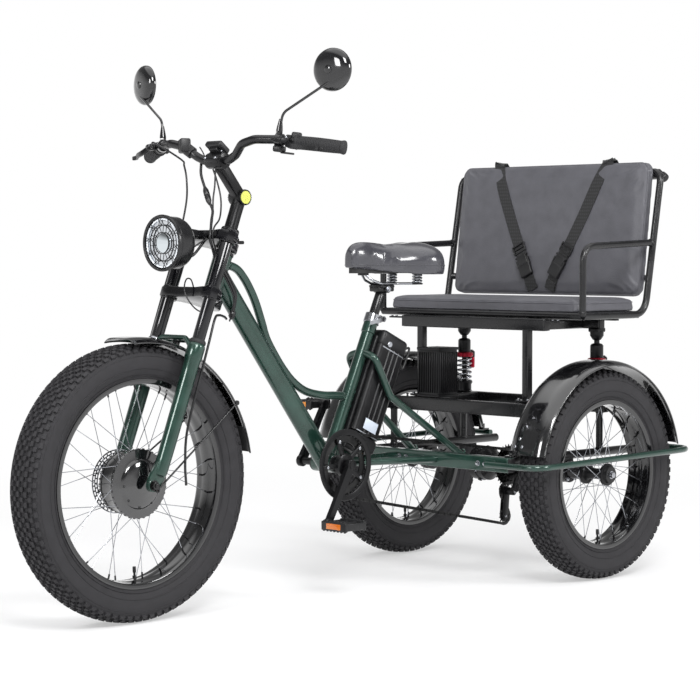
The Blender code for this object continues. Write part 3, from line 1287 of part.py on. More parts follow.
def saddle_springs():
    """Two rails from the nose to the springs, and the two coil springs at the back."""
    forms = []
    rail_z = clamp_top() + SEAT_GAP + RAIL_WIRE
    under = SADDLE_Z - SADDLE_BELLY - SEAT_GAP
    nose_x = SADDLE_X + SADDLE_LENGTH * RAIL_NOSE_SHARE
    for side in (LEFT, RIGHT):
        foot = Vector((SADDLE_X - SPRING_BACK, SPRING_SIDE * side, rail_z))
        path = [Vector((nose_x, 0.0, under - RAIL_WIRE)),
                Vector((SADDLE_X + SADDLE_CLAMP[0] / 2, RAIL_HALF_GAP * side, rail_z)),
                Vector((SADDLE_X - SADDLE_CLAMP[0] / 2, RAIL_HALF_GAP * side, rail_z)), foot]
        forms.append(pipe(bent(path, BAR_BEND, BAR_BEND_STEPS), RAIL_WIRE, CABLE_SIDES))
        forms.append(rod(foot - Z_AXIS * RAIL_WIRE, foot + Z_AXIS * SPRING_CAP, SPRING_RADIUS))
        top = Vector((foot.x, foot.y, under))
        forms.append(rod(top - Z_AXIS * SPRING_CAP, top, SPRING_RADIUS))
        start = foot + Z_AXIS * SPRING_WIRE
        forms.append(coil(start, Z_AXIS, SPRING_RADIUS - SPRING_WIRE, SPRING_WIRE, SPRING_TURNS,
                          top.z - SPRING_WIRE - start.z))
    forms.append(rod(Vector((nose_x, 0.0, under)), Vector((nose_x, 0.0, under - RAIL_WIRE * 2)),
                     SPRING_RADIUS))
    made("saddle_springs", forms, BLACK)


def saddle():
    rings = []
    for along, wide, high in SADDLE_SHARES:
        ring = []
        for step in range(SADDLE_STEPS):
            angle = math.tau * step / SADDLE_STEPS
            lift = math.cos(angle)
            rise = SADDLE_TOP * high * max(lift, 0.0) ** SADDLE_CROWN + min(lift, 0.0) * SADDLE_BELLY
            ring.append(Vector((SADDLE_X + SADDLE_LENGTH * (0.5 - along),
                                math.sin(angle) * SADDLE_HALF_WIDTH * wide,
                                SADDLE_Z + rise)))
        rings.append(ring)
    made("saddle", [lofted(rings)], LEATHER)


def battery():
    along = (SEAT_TUBE_TOP - CRANK_CENTRE).normalized()
    behind = seat_line(0.0, 1.0) - seat_line(0.0)
    middle = seat_line(BATTERY_START + BATTERY_LENGTH / 2, BATTERY_BACK + BATTERY_DEPTH / 2)
    pack = block(middle, (BATTERY_DEPTH, BATTERY_WIDTH, BATTERY_LENGTH), behind, along)
    made("battery_pack", [softened(pack, CUSHION_ROUND)], MATT)
    dock_depth = BATTERY_BACK - SEAT_TUBE_RADIUS - SEAT_GAP * 2
    dock = seat_line(BATTERY_START + BATTERY_LENGTH / 2, SEAT_TUBE_RADIUS + SEAT_GAP + dock_depth / 2)
    wide_share, long_share = DOCK_SHARES
    size = (dock_depth, BATTERY_WIDTH * wide_share, BATTERY_LENGTH * long_share)
    made("battery_dock", [block(dock, size, behind, along)], MATT)


def controller():
    place = Vector((*CONTROLLER_PLACE, PLATFORM_TOP + SEAT_GAP + CONTROLLER_SIZE[2] / 2))
    made("controller_box", [softened(block(place, CONTROLLER_SIZE), CONTROLLER_ROUND, 1)], MATT)


# Drive

def crank_tip(side):
    turn = math.radians(CRANK_TURN)
    reach = Vector((math.cos(turn), 0.0, math.sin(turn))) * CRANK_LENGTH * side
    return CRANK_CENTRE + reach + Y_AXIS * side * CRANK_SIDE


def crank_arm(side):
    """One arm with its boss and its pedal pin."""
    hub = CRANK_CENTRE + Y_AXIS * side * CRANK_SIDE
    tip = crank_tip(side)
    along = (tip - hub).normalized()
    across = along.cross(Y_AXIS).normalized() * CRANK_WIDTH
    half = Y_AXIS * CRANK_THICKNESS / 2
    end = tip + along * CRANK_TIP
    outline = [hub + across / 2, hub - across / 2, end - across * CRANK_TIP_SHARE,
               end + across * CRANK_TIP_SHARE]
    pin = tip + Y_AXIS * side * (CRANK_THICKNESS + PEDAL_WIDTH * PEDAL_SHARES[0])
    return [plate(outline, -half, half), rod(hub - half, hub + half, CRANK_WIDTH * CRANK_HUB_SHARE, STEPS),
            rod(tip, pin, PEDAL_PIN, SMALL_STEPS)]


def crankset():
    reach = Y_AXIS * (CRANK_SIDE + CRANK_THICKNESS / 2)
    ring = CRANK_CENTRE + Y_AXIS * CHAIN_LINE
    half = Y_AXIS * CHAINRING_THICKNESS / 2
    guard = ring + Y_AXIS * (CHAIN_WIDTH / 2 + GUARD_GAP)
    teeth = CHAINRING_RADIUS - CHAIN_HEIGHT / 2 - SPROCKET_PLAY
    forms = [rod(CRANK_CENTRE - reach, CRANK_CENTRE + reach, SPINDLE_RADIUS, STEPS),
             rod(ring - half, ring + half, teeth, CHAINRING_STEPS),
             rod(ring, guard + half, CHAINRING_RADIUS * SPIDER_SHARE, STEPS),
             rod(guard, guard + half, CHAINRING_GUARD, CHAINRING_STEPS)]
    forms += crank_arm(LEFT) + crank_arm(RIGHT)
    made("crankset", forms, MATT, CRANK_CENTRE)


def pedal(word, side):
    tip = crank_tip(side)
    outward = Y_AXIS * side
    inner = tip + outward * (CRANK_THICKNESS / 2 + PEDAL_GAP)
    body = block(inner + outward * PEDAL_WIDTH / 2, (PEDAL_LENGTH, PEDAL_WIDTH, PEDAL_THICKNESS))
    hole = rod(inner - outward * PEDAL_GAP, inner + outward * PEDAL_WIDTH * PEDAL_SHARES[1],
               PEDAL_PIN + RUNNING_GAP,
               STEPS)
    made("pedal_" + word, [softened(body, PEDAL_ROUND, 1)], MATT, tip, [hole])


def belt_path():
    """The chain's middle line, tangent to the ring, the sprocket and the jockey wheels."""
    circles = [(CRANK_X, CRANK_Z, CHAINRING_RADIUS, 1), (0.0, REAR_RADIUS, SPROCKET_RADIUS, 1),
               (JOCKEY_HIGH[0], JOCKEY_HIGH[1], JOCKEY_RADIUS, -1),
               (JOCKEY_LOW[0], JOCKEY_LOW[1], JOCKEY_RADIUS, 1)]
    ends = []
    for index, one in enumerate(circles):
        two = circles[(index + 1) % len(circles)]
        gap = Vector((two[0] - one[0], two[1] - one[1]))
        signed_one, signed_two = one[2] * one[3], two[2] * two[3]
        lean = math.asin((signed_one - signed_two) / gap.length)
        heading = math.atan2(gap.y, gap.x) - math.pi / 2 + lean
        normal = Vector((math.cos(heading), math.sin(heading)))
        ends.append((Vector(one[:2]) + normal * signed_one, Vector(two[:2]) + normal * signed_two, heading))
    points = []
    for index, circle in enumerate(circles):
        heading_in = ends[index - 1][2]
        heading_out = ends[index][2]
        sense = circle[3]
        sweep = (heading_out - heading_in) * sense % math.tau
        steps = max(2, int(sweep / CHAIN_STEP))
        for step in range(steps + 1):
            angle = heading_in + sense * sweep * step / steps
            reach = circle[2] * sense
            points.append(Vector((circle[0] + math.cos(angle) * reach, CHAIN_LINE,
                                  circle[1] + math.sin(angle) * reach)))
    return points


def chain():
    made("drive_chain", [band(belt_path(), Y_AXIS, CHAIN_HEIGHT, CHAIN_WIDTH)], STEEL)


def rear_gears():
    """The sprocket that the chain drives, and the larger ones inside it."""
    centre = Vector((0.0, CHAIN_LINE, REAR_RADIUS))
    bore = AXLE_TUBE_RADIUS + SEAT_GAP
    inner = SPROCKET_RADIUS - CHAIN_HEIGHT / 2 - SPROCKET_PLAY
    small = [(GEAR_HALF_WIDTH * along, inner * high) for along, high in SMALL_GEAR_SHARES]
    small = [(small[0][0], bore)] + small + [(small[-1][0], bore)]
    large = [(GEAR_HALF_WIDTH * along, inner * high) for along, high in LARGE_GEAR_SHARES]
    large = [(large[0][0], bore)] + large + [(-GEAR_FACE + SPROCKET_PLAY, bore)]
    forms = [ringed(centre, Y_AXIS, outline, SPROCKET_STEPS) for outline in (small, large)]
    made("cassette", forms, STEEL)


def derailleur():
    """The cage with its two guide wheels, hung below the rear sprockets."""
    reach = JOCKEY_RADIUS - CHAIN_HEIGHT / 2 - SPROCKET_PLAY
    cage_share, pin_share, arm_share = CAGE_SHARES
    high, low = [Vector((x, CHAIN_LINE, z)) for x, z in (JOCKEY_HIGH, JOCKEY_LOW)]
    half = Y_AXIS * (CHAIN_WIDTH / 2 + CAGE_THICKNESS + SEAT_GAP)
    wheel = Y_AXIS * CHAIN_WIDTH * pin_share
    drop = high - low
    size = (drop.length + reach, CAGE_THICKNESS, reach * cage_share)
    forms = []
    for place in (high, low):
        forms.append(rod(place - wheel, place + wheel, reach, STEPS))
        forms.append(rod(place - half, place + half, reach * pin_share))
    for side in (LEFT, RIGHT):
        offset = Y_AXIS * side * (CHAIN_WIDTH / 2 + SPROCKET_PLAY + CAGE_THICKNESS / 2)
        forms.append(block((high + low) / 2 + offset, size, drop, drop.cross(Y_AXIS)))
    hanger = Vector((0.0, CHAIN_LINE + HANGER_SIDE, REAR_RADIUS - AXLE_TUBE_RADIUS - SEAT_GAP))
    body = high + Y_AXIS * HANGER_SIDE
    forms.append(rod(high, body, reach * arm_share))
    forms.append(pipe([hanger, hanger - Z_AXIS * HANGER_SIDE / 3, body], CAGE_THICKNESS * 4))
    made("rear_derailleur", forms, MATT)


def belt(word, side):
    """A shoulder belt with its buckle, which lies on the backrest."""
    upward, ahead = back_axes()
    base = back_foot() + ahead * (SEAT_GAP + BELT_THICKNESS / 2)
    places = [base + Y_AXIS * BACK_HALF_WIDTH * out * side + upward * BACK_HEIGHT * rise
              for out, rise in BELT_SHARES]
    forms = []
    for start, end in zip(places, places[1:]):
        size = ((end - start).length + BELT_WIDTH * BELT_LAP_SHARE, BELT_WIDTH, BELT_THICKNESS)
        forms.append(block((start + end) / 2, size, end - start, ahead))
    buckle = places[1] + ahead * (BUCKLE_THICKNESS - BELT_THICKNESS) / 2
    forms.append(block(buckle, (BUCKLE_LENGTH, BELT_WIDTH, BUCKLE_THICKNESS), places[0] - places[1], ahead))
    made("belt_" + word, forms, MATT)


def main():
    cleared()
    front_wheel()
    fork_lowers()
    fork_uppers()
    front_caliper()
    stem()
    display()
    handlebar()
    brake_cable()
    lamp()
    front_fender()
    main_frame()
    rear_carriage()
    bench_frame()
    bench_cushion()
    backrest_cushion()
    seat_post()
    saddle_springs()
    saddle()
    battery()
    controller()
    crankset()
    chain()
    rear_gears()
    derailleur()
    for word, side in (("left", LEFT), ("right", RIGHT)):
        rear_wheel(word, side)
        rear_fender(word, side)
        side_guard(word, side)
        grip(word, side)
        brake_lever(word, side)
        mirror(word, side)
        shock(word, side)
        belt(word, side)
        pedal(word, side)


main()
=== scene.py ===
# %% [markdown]
# # An electric tricycle with a passenger bench
# The tricycle has one steered fat-tyred wheel in front, a step-through frame, and a padded bench over two
# rear wheels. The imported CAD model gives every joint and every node's place. This script dresses it: each
# piece is built again with the roundness, fasteners, tread, seams and finish of the real one, in the place
# that the CAD gives.

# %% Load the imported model
import json
import math

import bmesh
import bpy
from mathutils import Matrix, Vector
from mathutils.bvhtree import BVHTree


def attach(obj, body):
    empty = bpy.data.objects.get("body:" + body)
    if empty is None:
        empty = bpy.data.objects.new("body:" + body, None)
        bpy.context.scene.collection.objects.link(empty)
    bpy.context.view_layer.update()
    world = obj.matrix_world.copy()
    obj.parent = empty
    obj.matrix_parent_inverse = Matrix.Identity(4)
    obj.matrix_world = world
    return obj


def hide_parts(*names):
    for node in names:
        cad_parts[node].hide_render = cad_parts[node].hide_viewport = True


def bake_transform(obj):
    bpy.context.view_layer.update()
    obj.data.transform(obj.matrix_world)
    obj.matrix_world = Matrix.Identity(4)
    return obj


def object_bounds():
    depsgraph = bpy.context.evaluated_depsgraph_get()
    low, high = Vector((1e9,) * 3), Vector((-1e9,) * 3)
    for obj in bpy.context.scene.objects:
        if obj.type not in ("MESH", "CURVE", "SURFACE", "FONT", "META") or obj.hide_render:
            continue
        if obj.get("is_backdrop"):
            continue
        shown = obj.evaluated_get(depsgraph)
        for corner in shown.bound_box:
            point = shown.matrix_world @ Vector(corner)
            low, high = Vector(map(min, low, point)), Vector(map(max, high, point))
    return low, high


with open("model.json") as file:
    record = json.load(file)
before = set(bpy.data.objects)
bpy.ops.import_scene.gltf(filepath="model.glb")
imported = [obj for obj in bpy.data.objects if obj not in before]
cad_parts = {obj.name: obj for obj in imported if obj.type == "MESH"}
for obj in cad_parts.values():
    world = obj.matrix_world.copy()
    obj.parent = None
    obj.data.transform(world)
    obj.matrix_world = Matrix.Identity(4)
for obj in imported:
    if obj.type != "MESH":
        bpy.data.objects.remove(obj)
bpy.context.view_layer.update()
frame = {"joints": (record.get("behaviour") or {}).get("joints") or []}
joints = {joint["name"]: joint for joint in frame["joints"]}

# %% [markdown]
# ## Places that everything hangs on
# Wheel centres and the steering axis come from the joints. The other driving sizes are the real ones, in
# metres, as the CAD model has them. X runs forward, Y to the rider's left, Z up.

# %% Driving places
X_AXIS, Y_AXIS, Z_AXIS = Vector((1, 0, 0)), Vector((0, 1, 0)), Vector((0, 0, 1))
LEFT, RIGHT = 1.0, -1.0
BOTH = (LEFT, RIGHT)
SIDES = (("left", LEFT), ("right", RIGHT))
FRONT_AXLE = Vector(joints["front_wheel_spin"]["pos_m"])
REAR_AXLE_X = joints["rear_wheel_left_spin"]["pos_m"][0]
HALF_TRACK = joints["rear_wheel_left_spin"]["pos_m"][1]
REAR_RADIUS = joints["rear_wheel_left_spin"]["pos_m"][2]
FRONT_RADIUS = FRONT_AXLE.z
CRANK_CENTRE = Vector(joints["crank_spin"]["pos_m"])
STEER_FOOT = Vector(joints["steering"]["pos_m"])
STEER_UP = Vector(joints["steering"]["axis"]).normalized()
STEER_AHEAD = Y_AXIS.cross(STEER_UP)
FORK_AHEAD, FORK_HALF_SPREAD = 0.067, 0.08
STEM_PIVOT, STEM_ARM = 0.79, (0.104, 0.058)
# Parts that touch stand this far apart in the CAD model.
TOUCH_GAP = 0.0003


def at(x, y, z):
    """A place counted from the ground below the middle of the rear axle."""
    return Vector((x + REAR_AXLE_X, y, z))


def steered(ahead, side, rise):
    """A place ahead of, beside and up the steering axis."""
    return STEER_FOOT + STEER_AHEAD * ahead + Y_AXIS * side + STEER_UP * rise


def on_leg(side, rise):
    """A place on the middle line of one fork leg."""
    return steered(FORK_AHEAD, FORK_HALF_SPREAD * side, rise)


def round_wheel(centre, radius, degrees, side=0.0):
    """A place on a circle round an axle; degrees count from straight ahead over the top."""
    angle = math.radians(degrees)
    return centre + Vector((math.cos(angle) * radius, side, math.sin(angle) * radius))


def way_at(degrees):
    """The direction from an axle to its rim; degrees count as above."""
    return round_wheel(Vector((0, 0, 0)), 1.0, degrees)


SEAT_TUBE_TOP = at(0.522, 0.0, 0.715)
SEAT_TUBE_UP = (SEAT_TUBE_TOP - CRANK_CENTRE).normalized()
SEAT_TUBE_BEHIND = Vector((-SEAT_TUBE_UP.z, 0.0, SEAT_TUBE_UP.x))


def seat_line(rise, back=0.0, side=0.0):
    """A place up the seat tube from the crank, and back from its middle."""
    return CRANK_CENTRE + SEAT_TUBE_UP * rise + SEAT_TUBE_BEHIND * back + Y_AXIS * side


print("wheelbase", round(FRONT_AXLE.x - REAR_AXLE_X, 4), "track", round(HALF_TRACK * 2, 4))

# %% [markdown]
# ## Shapes
# Most of a bicycle is tube, turned parts and bent sheet. A tube is a curve with a round bevel, a turned part
# is a profile spun about its axis, and a plate is an outline pushed to its thickness. Each function returns a
# loose mesh, and one call joins them to a finished piece, so the same few shapes serve everywhere.

# %% Boxes, bars and bent tubes
ROUND_STEPS = 28
TURNED_STEPS = 64


def square_axes(direction, near=None):
    """Two directions square to one direction and to each other."""
    direction = direction.normalized()
    guide = near if near is not None else (Z_AXIS if abs(direction.z) < abs(direction.y) else Y_AXIS)
    across = (guide - direction * guide.dot(direction)).normalized()
    return across, direction.cross(across)


def axes_at(centre, along, upward):
    """A matrix whose X runs along and whose Z leans upward."""
    along = along.normalized()
    across = upward.cross(along).normalized()
    matrix = Matrix((along, across, along.cross(across))).transposed().to_4x4()
    matrix.translation = centre
    return matrix


def block(centre, size, along=X_AXIS, upward=Z_AXIS, soft=0.0015, steps=3):
    """A box with rounded edges; size counts along, across and upward."""
    form = bmesh.new()
    bmesh.ops.create_cube(form, size=1.0,
        matrix=axes_at(centre, along, upward) @ Matrix.Diagonal((*size, 1.0)))
    if soft:
        bmesh.ops.bevel(form, geom=form.edges[:], offset=min(soft, min(size) * 0.45), segments=steps,
            profile=0.5, affect="EDGES")
    return form


def rod(start, end, radius, sides=ROUND_STEPS, soft=0.0, end_radius=None, near=None, depth=None):
    """A straight bar, round or oval, with softened ends if asked."""
    across, _ = square_axes(end - start, near)
    form = bmesh.new()
    stretch = Matrix.Diagonal((1.0, (depth or radius) / radius, 1.0, 1.0))
    bmesh.ops.create_cone(form, cap_ends=True, segments=sides, radius1=radius, radius2=end_radius or radius,
        depth=(end - start).length, matrix=axes_at((start + end) / 2, across, end - start) @ stretch)
    if soft:
        rims = [edge for edge in form.edges if min(len(face.verts) for face in edge.link_faces) == 4
            and max(len(face.verts) for face in edge.link_faces) > 4]
        bmesh.ops.bevel(form, geom=rims, offset=soft, segments=2, profile=0.5, affect="EDGES")
    return form


def pin(middle, half, *sizes, **more):
    """A bar that reaches as far to both sides of its middle."""
    return rod(middle - half, middle + half, *sizes, **more)


def bent(points, radius, steps=8):
    """Rounds the inner corners of a path."""
    points = [Vector(point) for point in points]
    path = [points[0]]
    for before, corner, after in zip(points, points[1:], points[2:]):
        back, ahead = before - corner, after - corner
        turn = math.pi - back.angle(ahead)
        if turn < math.radians(2.0):
            path.append(corner)
            continue
        reach = min(radius * math.tan(turn / 2), back.length * 0.45, ahead.length * 0.45)
        start, end = corner + back.normalized() * reach, corner + ahead.normalized() * reach
        for step in range(steps + 1):
            share = step / steps
            path.append(start * (1 - share) ** 2 + corner * 2 * share * (1 - share) + end * share ** 2)
    path.append(points[-1])
    return path


def flowing(points, steps=8):
    """A smooth path through points, for cables and hoses."""
    points = [Vector(point) for point in points]
    ends = [points[0] * 2 - points[1]] + points + [points[-1] * 2 - points[-2]]
    path = []
    for a, b, c, d in zip(ends, ends[1:], ends[2:], ends[3:]):
        for step in range(steps):
            t = step / steps
            path.append((b * 2 + (c - a) * t + (a * 2 - b * 5 + c * 4 - d) * t * t
                + (b * 3 - a - c * 3 + d) * t ** 3) / 2)
    path.append(points[-1])
    return path


def pipe(path, radius, sides=16, closed=False):
    """A round tube along a path: a curve with a bevel and filled ends, made a mesh."""
    curve = bpy.data.curves.new("path", "CURVE")
    curve.dimensions = "3D"
    curve.bevel_depth = radius
    curve.bevel_resolution = (sides - 4) // 2
    curve.use_fill_caps = True
    spline = curve.splines.new("POLY")
    spline.points.add(len(path) - 1)
    for point, place in zip(spline.points, path):
        point.co = (*place, 1.0)
    spline.use_cyclic_u = closed
    carrier = bpy.data.objects.new("path", curve)
    bpy.context.scene.collection.objects.link(carrier)
    bpy.context.view_layer.update()
    mesh = bpy.data.meshes.new_from_object(carrier.evaluated_get(bpy.context.evaluated_depsgraph_get()))
    form = bmesh.new()
    form.from_mesh(mesh)
    bpy.data.objects.remove(carrier)
    bpy.data.curves.remove(curve)
    bpy.data.meshes.remove(mesh)
    bmesh.ops.remove_doubles(form, verts=form.verts, dist=1e-6)
    return form


print("bars round to", ROUND_STEPS, "sides")

# %% [markdown]
# Lathe work and sheet work follow. A turned part is one profile spun round its axis. A plate is cut as an
# outline, pushed to its thickness and broken at its edges. A spring is a wire bent along a helix, and screws
# and nuts are small turned or six-sided bars.

# %% Turned and flat shapes


def turned(centre, direction, outline, steps=TURNED_STEPS, closed=False, sweep=360.0):
    """Spins (along, radius) pairs about an axis; a closed outline gives a ring, an open one filled ends."""
    direction = direction.normalized()
    across, _ = square_axes(direction)
    form = bmesh.new()
    corners = [form.verts.new(centre + direction * along + across * radius) for along, radius in outline]
    for corner, after in zip(corners, corners[1:] + (corners[:1] if closed else [])):
        form.edges.new((corner, after))
    bmesh.ops.spin(form, geom=form.verts[:] + form.edges[:], cent=centre, axis=direction,
        angle=math.radians(sweep), steps=steps, use_merge=sweep == 360.0)
    bmesh.ops.remove_doubles(form, verts=form.verts, dist=1e-6)
    bmesh.ops.holes_fill(form, edges=form.edges)
    return form


def tube(start, end, outer, inner, steps=ROUND_STEPS, soft=0.0006):
    """A collar or ring with softened edges."""
    length = (end - start).length
    outline = [(0.0, inner), (0.0, outer - soft), (soft, outer), (length - soft, outer),
        (length, outer - soft), (length, inner)]
    return turned(start, end - start, outline, steps, closed=True)


def band(middle, half, *sizes, **more):
    """A collar that reaches as far to both sides of its middle."""
    return tube(middle - half, middle + half, *sizes, **more)


def plate(outline, push, soft=0.0008):
    """A flat outline pushed to its thickness, its edges softened."""
    form = bmesh.new()
    face = form.faces.new([form.verts.new(point - push / 2) for point in outline])
    pushed = bmesh.ops.extrude_face_region(form, geom=[face])["geom"]
    bmesh.ops.translate(form, verts=[item for item in pushed if isinstance(item, bmesh.types.BMVert)],
        vec=push)
    if soft:
        sharp = [edge for edge in form.edges if len(edge.link_faces) == 2 and edge.calc_face_angle(0.0) > 0.9]
        bmesh.ops.bevel(form, geom=sharp, offset=soft, segments=2, profile=0.5, affect="EDGES")
    return form


def spun_sheet(outline, centre, axis, degrees, steps):
    """A closed outline filled and spun part of the way round, as a bent sheet is."""
    form = bmesh.new()
    form.faces.new([form.verts.new(point) for point in outline])
    bmesh.ops.spin(form, geom=form.verts[:] + form.edges[:] + form.faces[:], cent=centre, axis=axis,
        angle=math.radians(degrees), steps=steps)
    return form


def coil(start, end, radius, wire, turns, steps=20, sides=10):
    """A coil spring with closed ends."""
    across, upward = square_axes(end - start)
    path = []
    for step in range(turns * steps + 1):
        share = step / (turns * steps)
        angle = math.tau * turns * share
        lift = min(max((share - 0.04) / 0.92, 0.0), 1.0)
        path.append(start + (end - start) * lift
            + (across * math.cos(angle) + upward * math.sin(angle)) * radius)
    return pipe(path, wire, sides)


def bolt(place, direction, radius, height=None, socket=True):
    """A button-head bolt; one without a socket gets a six-sided stub through its head."""
    direction = direction.normalized()
    height = height or radius * 0.7
    outline = [(0.0, radius), (height * 0.5, radius * 0.96), (height * 0.85, radius * 0.72),
        (height, radius * 0.45)]
    forms = [turned(place, direction, outline, 20)]
    if not socket:
        forms.append(rod(place, place + direction * height * 1.3, radius * 0.8, 6))
    return forms


def hexagon(place, direction, radius, height):
    """A hexagon nut or bolt head on its washer."""
    direction = direction.normalized()
    return [rod(place, place + direction * height * 0.2, radius * 1.25, 20),
        rod(place + direction * height * 0.2, place + direction * height, radius, 6, soft=radius * 0.06)]


def ring_of(centre, axis, radius, count, start=0.0):
    """Places and outward directions evenly round an axis."""
    across, upward = square_axes(axis)
    for index in range(count):
        angle = math.tau * index / count + start
        outward = across * math.cos(angle) + upward * math.sin(angle)
        yield centre + outward * radius, outward


# %% [markdown]
# A real part is welded or moulded from several simple bodies. Here its loose meshes are joined to one object,
# smooth across shallow edges and crisp at the others, and the object gets its material, its body and the CAD
# nodes that it stands for.

# %% Joining shapes to a finished piece
SMOOTH_WITHIN = math.radians(38.0)


def piece(name, forms, material, body, replaces=()):
    """Joins loose meshes to one object with smooth faces and crisp edges, and dresses it."""
    whole = bmesh.new()
    for form in forms:
        mesh = bpy.data.meshes.new("part")
        bmesh.ops.recalc_face_normals(form, faces=form.faces)
        form.to_mesh(mesh)
        form.free()
        whole.from_mesh(mesh)
        bpy.data.meshes.remove(mesh)
    for face in whole.faces:
        face.smooth = True
    for edge in whole.edges:
        edge.smooth = len(edge.link_faces) == 2 and edge.calc_face_angle(0.0) < SMOOTH_WITHIN
    mesh = bpy.data.meshes.new(name)
    whole.to_mesh(mesh)
    whole.free()
    item = bpy.data.objects.new(name, mesh)
    bpy.context.scene.collection.objects.link(item)
    return dressed(item, material, body, replaces)


def dressed(item, material, body, replaces=()):
    """Gives an object its material and body, and hides the CAD nodes that it stands for."""
    item.data.materials.clear()
    item.data.materials.append(material)
    if body:
        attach(item, body)
    for node in replaces:
        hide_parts(node)
    print(item.name, len(item.data.polygons), "faces on", body or "two bodies")
    return item


# %% [markdown]
# ## Finishes
# Every material is named for what the real part is made of and how it was finished. Colours are written as
# the sRGB hex that a picture shows and turned to linear light by one function. Grain and texture are given in
# millimetres.

# %% Colour and node helpers


def linear(code):
    """An sRGB hex colour as linear light."""
    parts = [int(code[index:index + 2], 16) / 255 for index in (1, 3, 5)]
    return tuple(part / 12.92 if part <= 0.04045 else ((part + 0.055) / 1.055) ** 2.4
        for part in parts) + (1.0,)


def add_node(tree, kind, inputs=None, **settings):
    """Adds a node, sets its properties, and links or sets its inputs; a node stands for its first output."""
    made = tree.nodes.new(kind)
    for name, value in settings.items():
        setattr(made, name, value)
    for key, value in (inputs or {}).items():
        if isinstance(value, bpy.types.Node):
            value = value.outputs[0]
        if isinstance(value, bpy.types.NodeSocket):
            tree.links.new(value, made.inputs[key])
        else:
            made.inputs[key].default_value = value
    return made


def maths(tree, operation, *values, kind="ShaderNodeMath"):
    """A node that works out one operation."""
    return add_node(tree, kind, dict(enumerate(values)), operation=operation)


def vectors(tree, operation, *values):
    """The same for vectors."""
    return maths(tree, operation, *values, kind="ShaderNodeVectorMath")


def shader_of(name, colour, roughness, metallic=0.0, **values):
    """A material with its Principled shader set; returns both, its tree and its object coordinates."""
    material = bpy.data.materials.new(name)
    material.use_nodes = True
    tree = material.node_tree
    shader = tree.nodes["Principled BSDF"]
    shader.inputs["Base Color"].default_value = linear(colour)
    shader.inputs["Roughness"].default_value = roughness
    shader.inputs["Metallic"].default_value = metallic
    for key, value in values.items():
        shader.inputs[key.replace("_", " ")].default_value = value
    return material, tree, shader, add_node(tree, "ShaderNodeTexCoord").outputs["Object"]


def per_metre(millimetres):
    """A texture scale whose features are this many millimetres wide."""
    return 1000.0 / millimetres


def grained(name, colour, roughness, metallic=0.0, grain=1.0, relief=0.02, other=None, patch=60.0,
        uneven=0.06, **values):
    """A finish with fine grain in its relief and slow patches in its colour and gloss."""
    material, tree, shader, place = shader_of(name, colour, roughness, metallic, **values)
    fine = add_node(tree, "ShaderNodeTexNoise", {"Vector": place, "Scale": per_metre(grain), "Detail": 3.0})
    slow = add_node(tree, "ShaderNodeTexNoise", {"Vector": place, "Scale": per_metre(patch), "Detail": 5.0})
    bump = add_node(tree, "ShaderNodeBump", {"Height": fine.outputs["Fac"], "Distance": relief / 1000})
    tree.links.new(bump.outputs["Normal"], shader.inputs["Normal"])
    gloss = add_node(tree, "ShaderNodeMapRange",
        {"Value": slow.outputs["Fac"], "From Min": 0.3, "From Max": 0.7, "To Min": roughness - uneven,
        "To Max": roughness + uneven})
    tree.links.new(gloss.outputs["Result"], shader.inputs["Roughness"])
    share = add_node(tree, "ShaderNodeMapRange",
        {"Value": slow.outputs["Fac"], "From Min": 0.35, "From Max": 0.7})
    mix = add_node(tree, "ShaderNodeMix",
        {"Factor": share.outputs["Result"], 6: linear(colour), 7: linear(other or colour)}, data_type="RGBA")
    tree.links.new(mix.outputs[2], shader.inputs["Base Color"])
    return material


# %% [markdown]
# Paint, plating and anodising differ in what the eye reads first: how sharp the highlight is, whether it
# takes the metal's colour, and whether clear lacquer lies on top. Each finish sets these and adds grain of
# the size that its process leaves.

# %% Painted and bare metals
# Metallic enamel over steel tube: deep green whose flakes sparkle finely, under clear lacquer.
green_enamel = grained("green_metallic_enamel", "#1b382f", 0.3, 0.45, grain=0.5, relief=0.006,
    other="#23443a", uneven=0.04, Coat_Weight=0.8, Coat_Roughness=0.07)
# Powder coat on steel tube: black, satin, with a faint orange-peel surface.
black_powder = grained("black_powder_coat", "#101012", 0.27, 0.0, grain=1.6, relief=0.02, other="#19191b",
    uneven=0.06)
# Gloss black enamel on the sheet-steel fenders and the hub motor.
gloss_enamel = grained("gloss_black_enamel", "#0c0c0e", 0.14, 0.0, grain=3.0, relief=0.01, other="#131315",
    uneven=0.05, Coat_Weight=1.0, Coat_Roughness=0.03, Coat_IOR=1.7)
# Zinc-plated and chromed steel: bright, a little uneven where it was polished.
plated_steel = grained("plated_steel", "#b9bbc0", 0.22, 1.0, grain=0.8, relief=0.008, other="#9a9ca2",
    uneven=0.07)
# Darkened steel of chain and sprockets, with a film of oil.
oiled_steel = grained("oiled_steel", "#4a4a4a", 0.32, 1.0, grain=0.9, relief=0.01, other="#2e2e2f",
    uneven=0.1)
# Anodised red aluminium of the shocks' bodies.
red_anodised = grained("red_anodised_aluminium", "#b01c34", 0.3, 0.7, grain=0.7, relief=0.006,
    other="#941428")
# Black anodised aluminium, fine-blasted.
black_anodised = grained("black_anodised_aluminium", "#101012", 0.34, 0.4, grain=0.4, relief=0.01,
    other="#19191b")

# %% [markdown]
# Rubber and moulded plastic have no metal in them. Their look comes from a dull or satin surface, the texture
# of the mould, and slow patches of dust or wear.

# %% Rubber and plastic
# Tyre rubber: charcoal, dull, with dust in its hollows.
tyre_rubber = grained("tyre_rubber", "#1e1d20", 0.74, 0.0, grain=1.2, relief=0.08, other="#29282b",
    patch=25.0)
# Soft grip rubber, a little darker.
grip_rubber = grained("grip_rubber", "#1c1c1e", 0.68, 0.0, grain=0.8, relief=0.05, other="#262628")
# Moulded ABS with a spark-eroded texture.
black_abs = grained("moulded_black_abs", "#101012", 0.42, 0.0, grain=0.7, relief=0.03, other="#18181a",
    uneven=0.05)
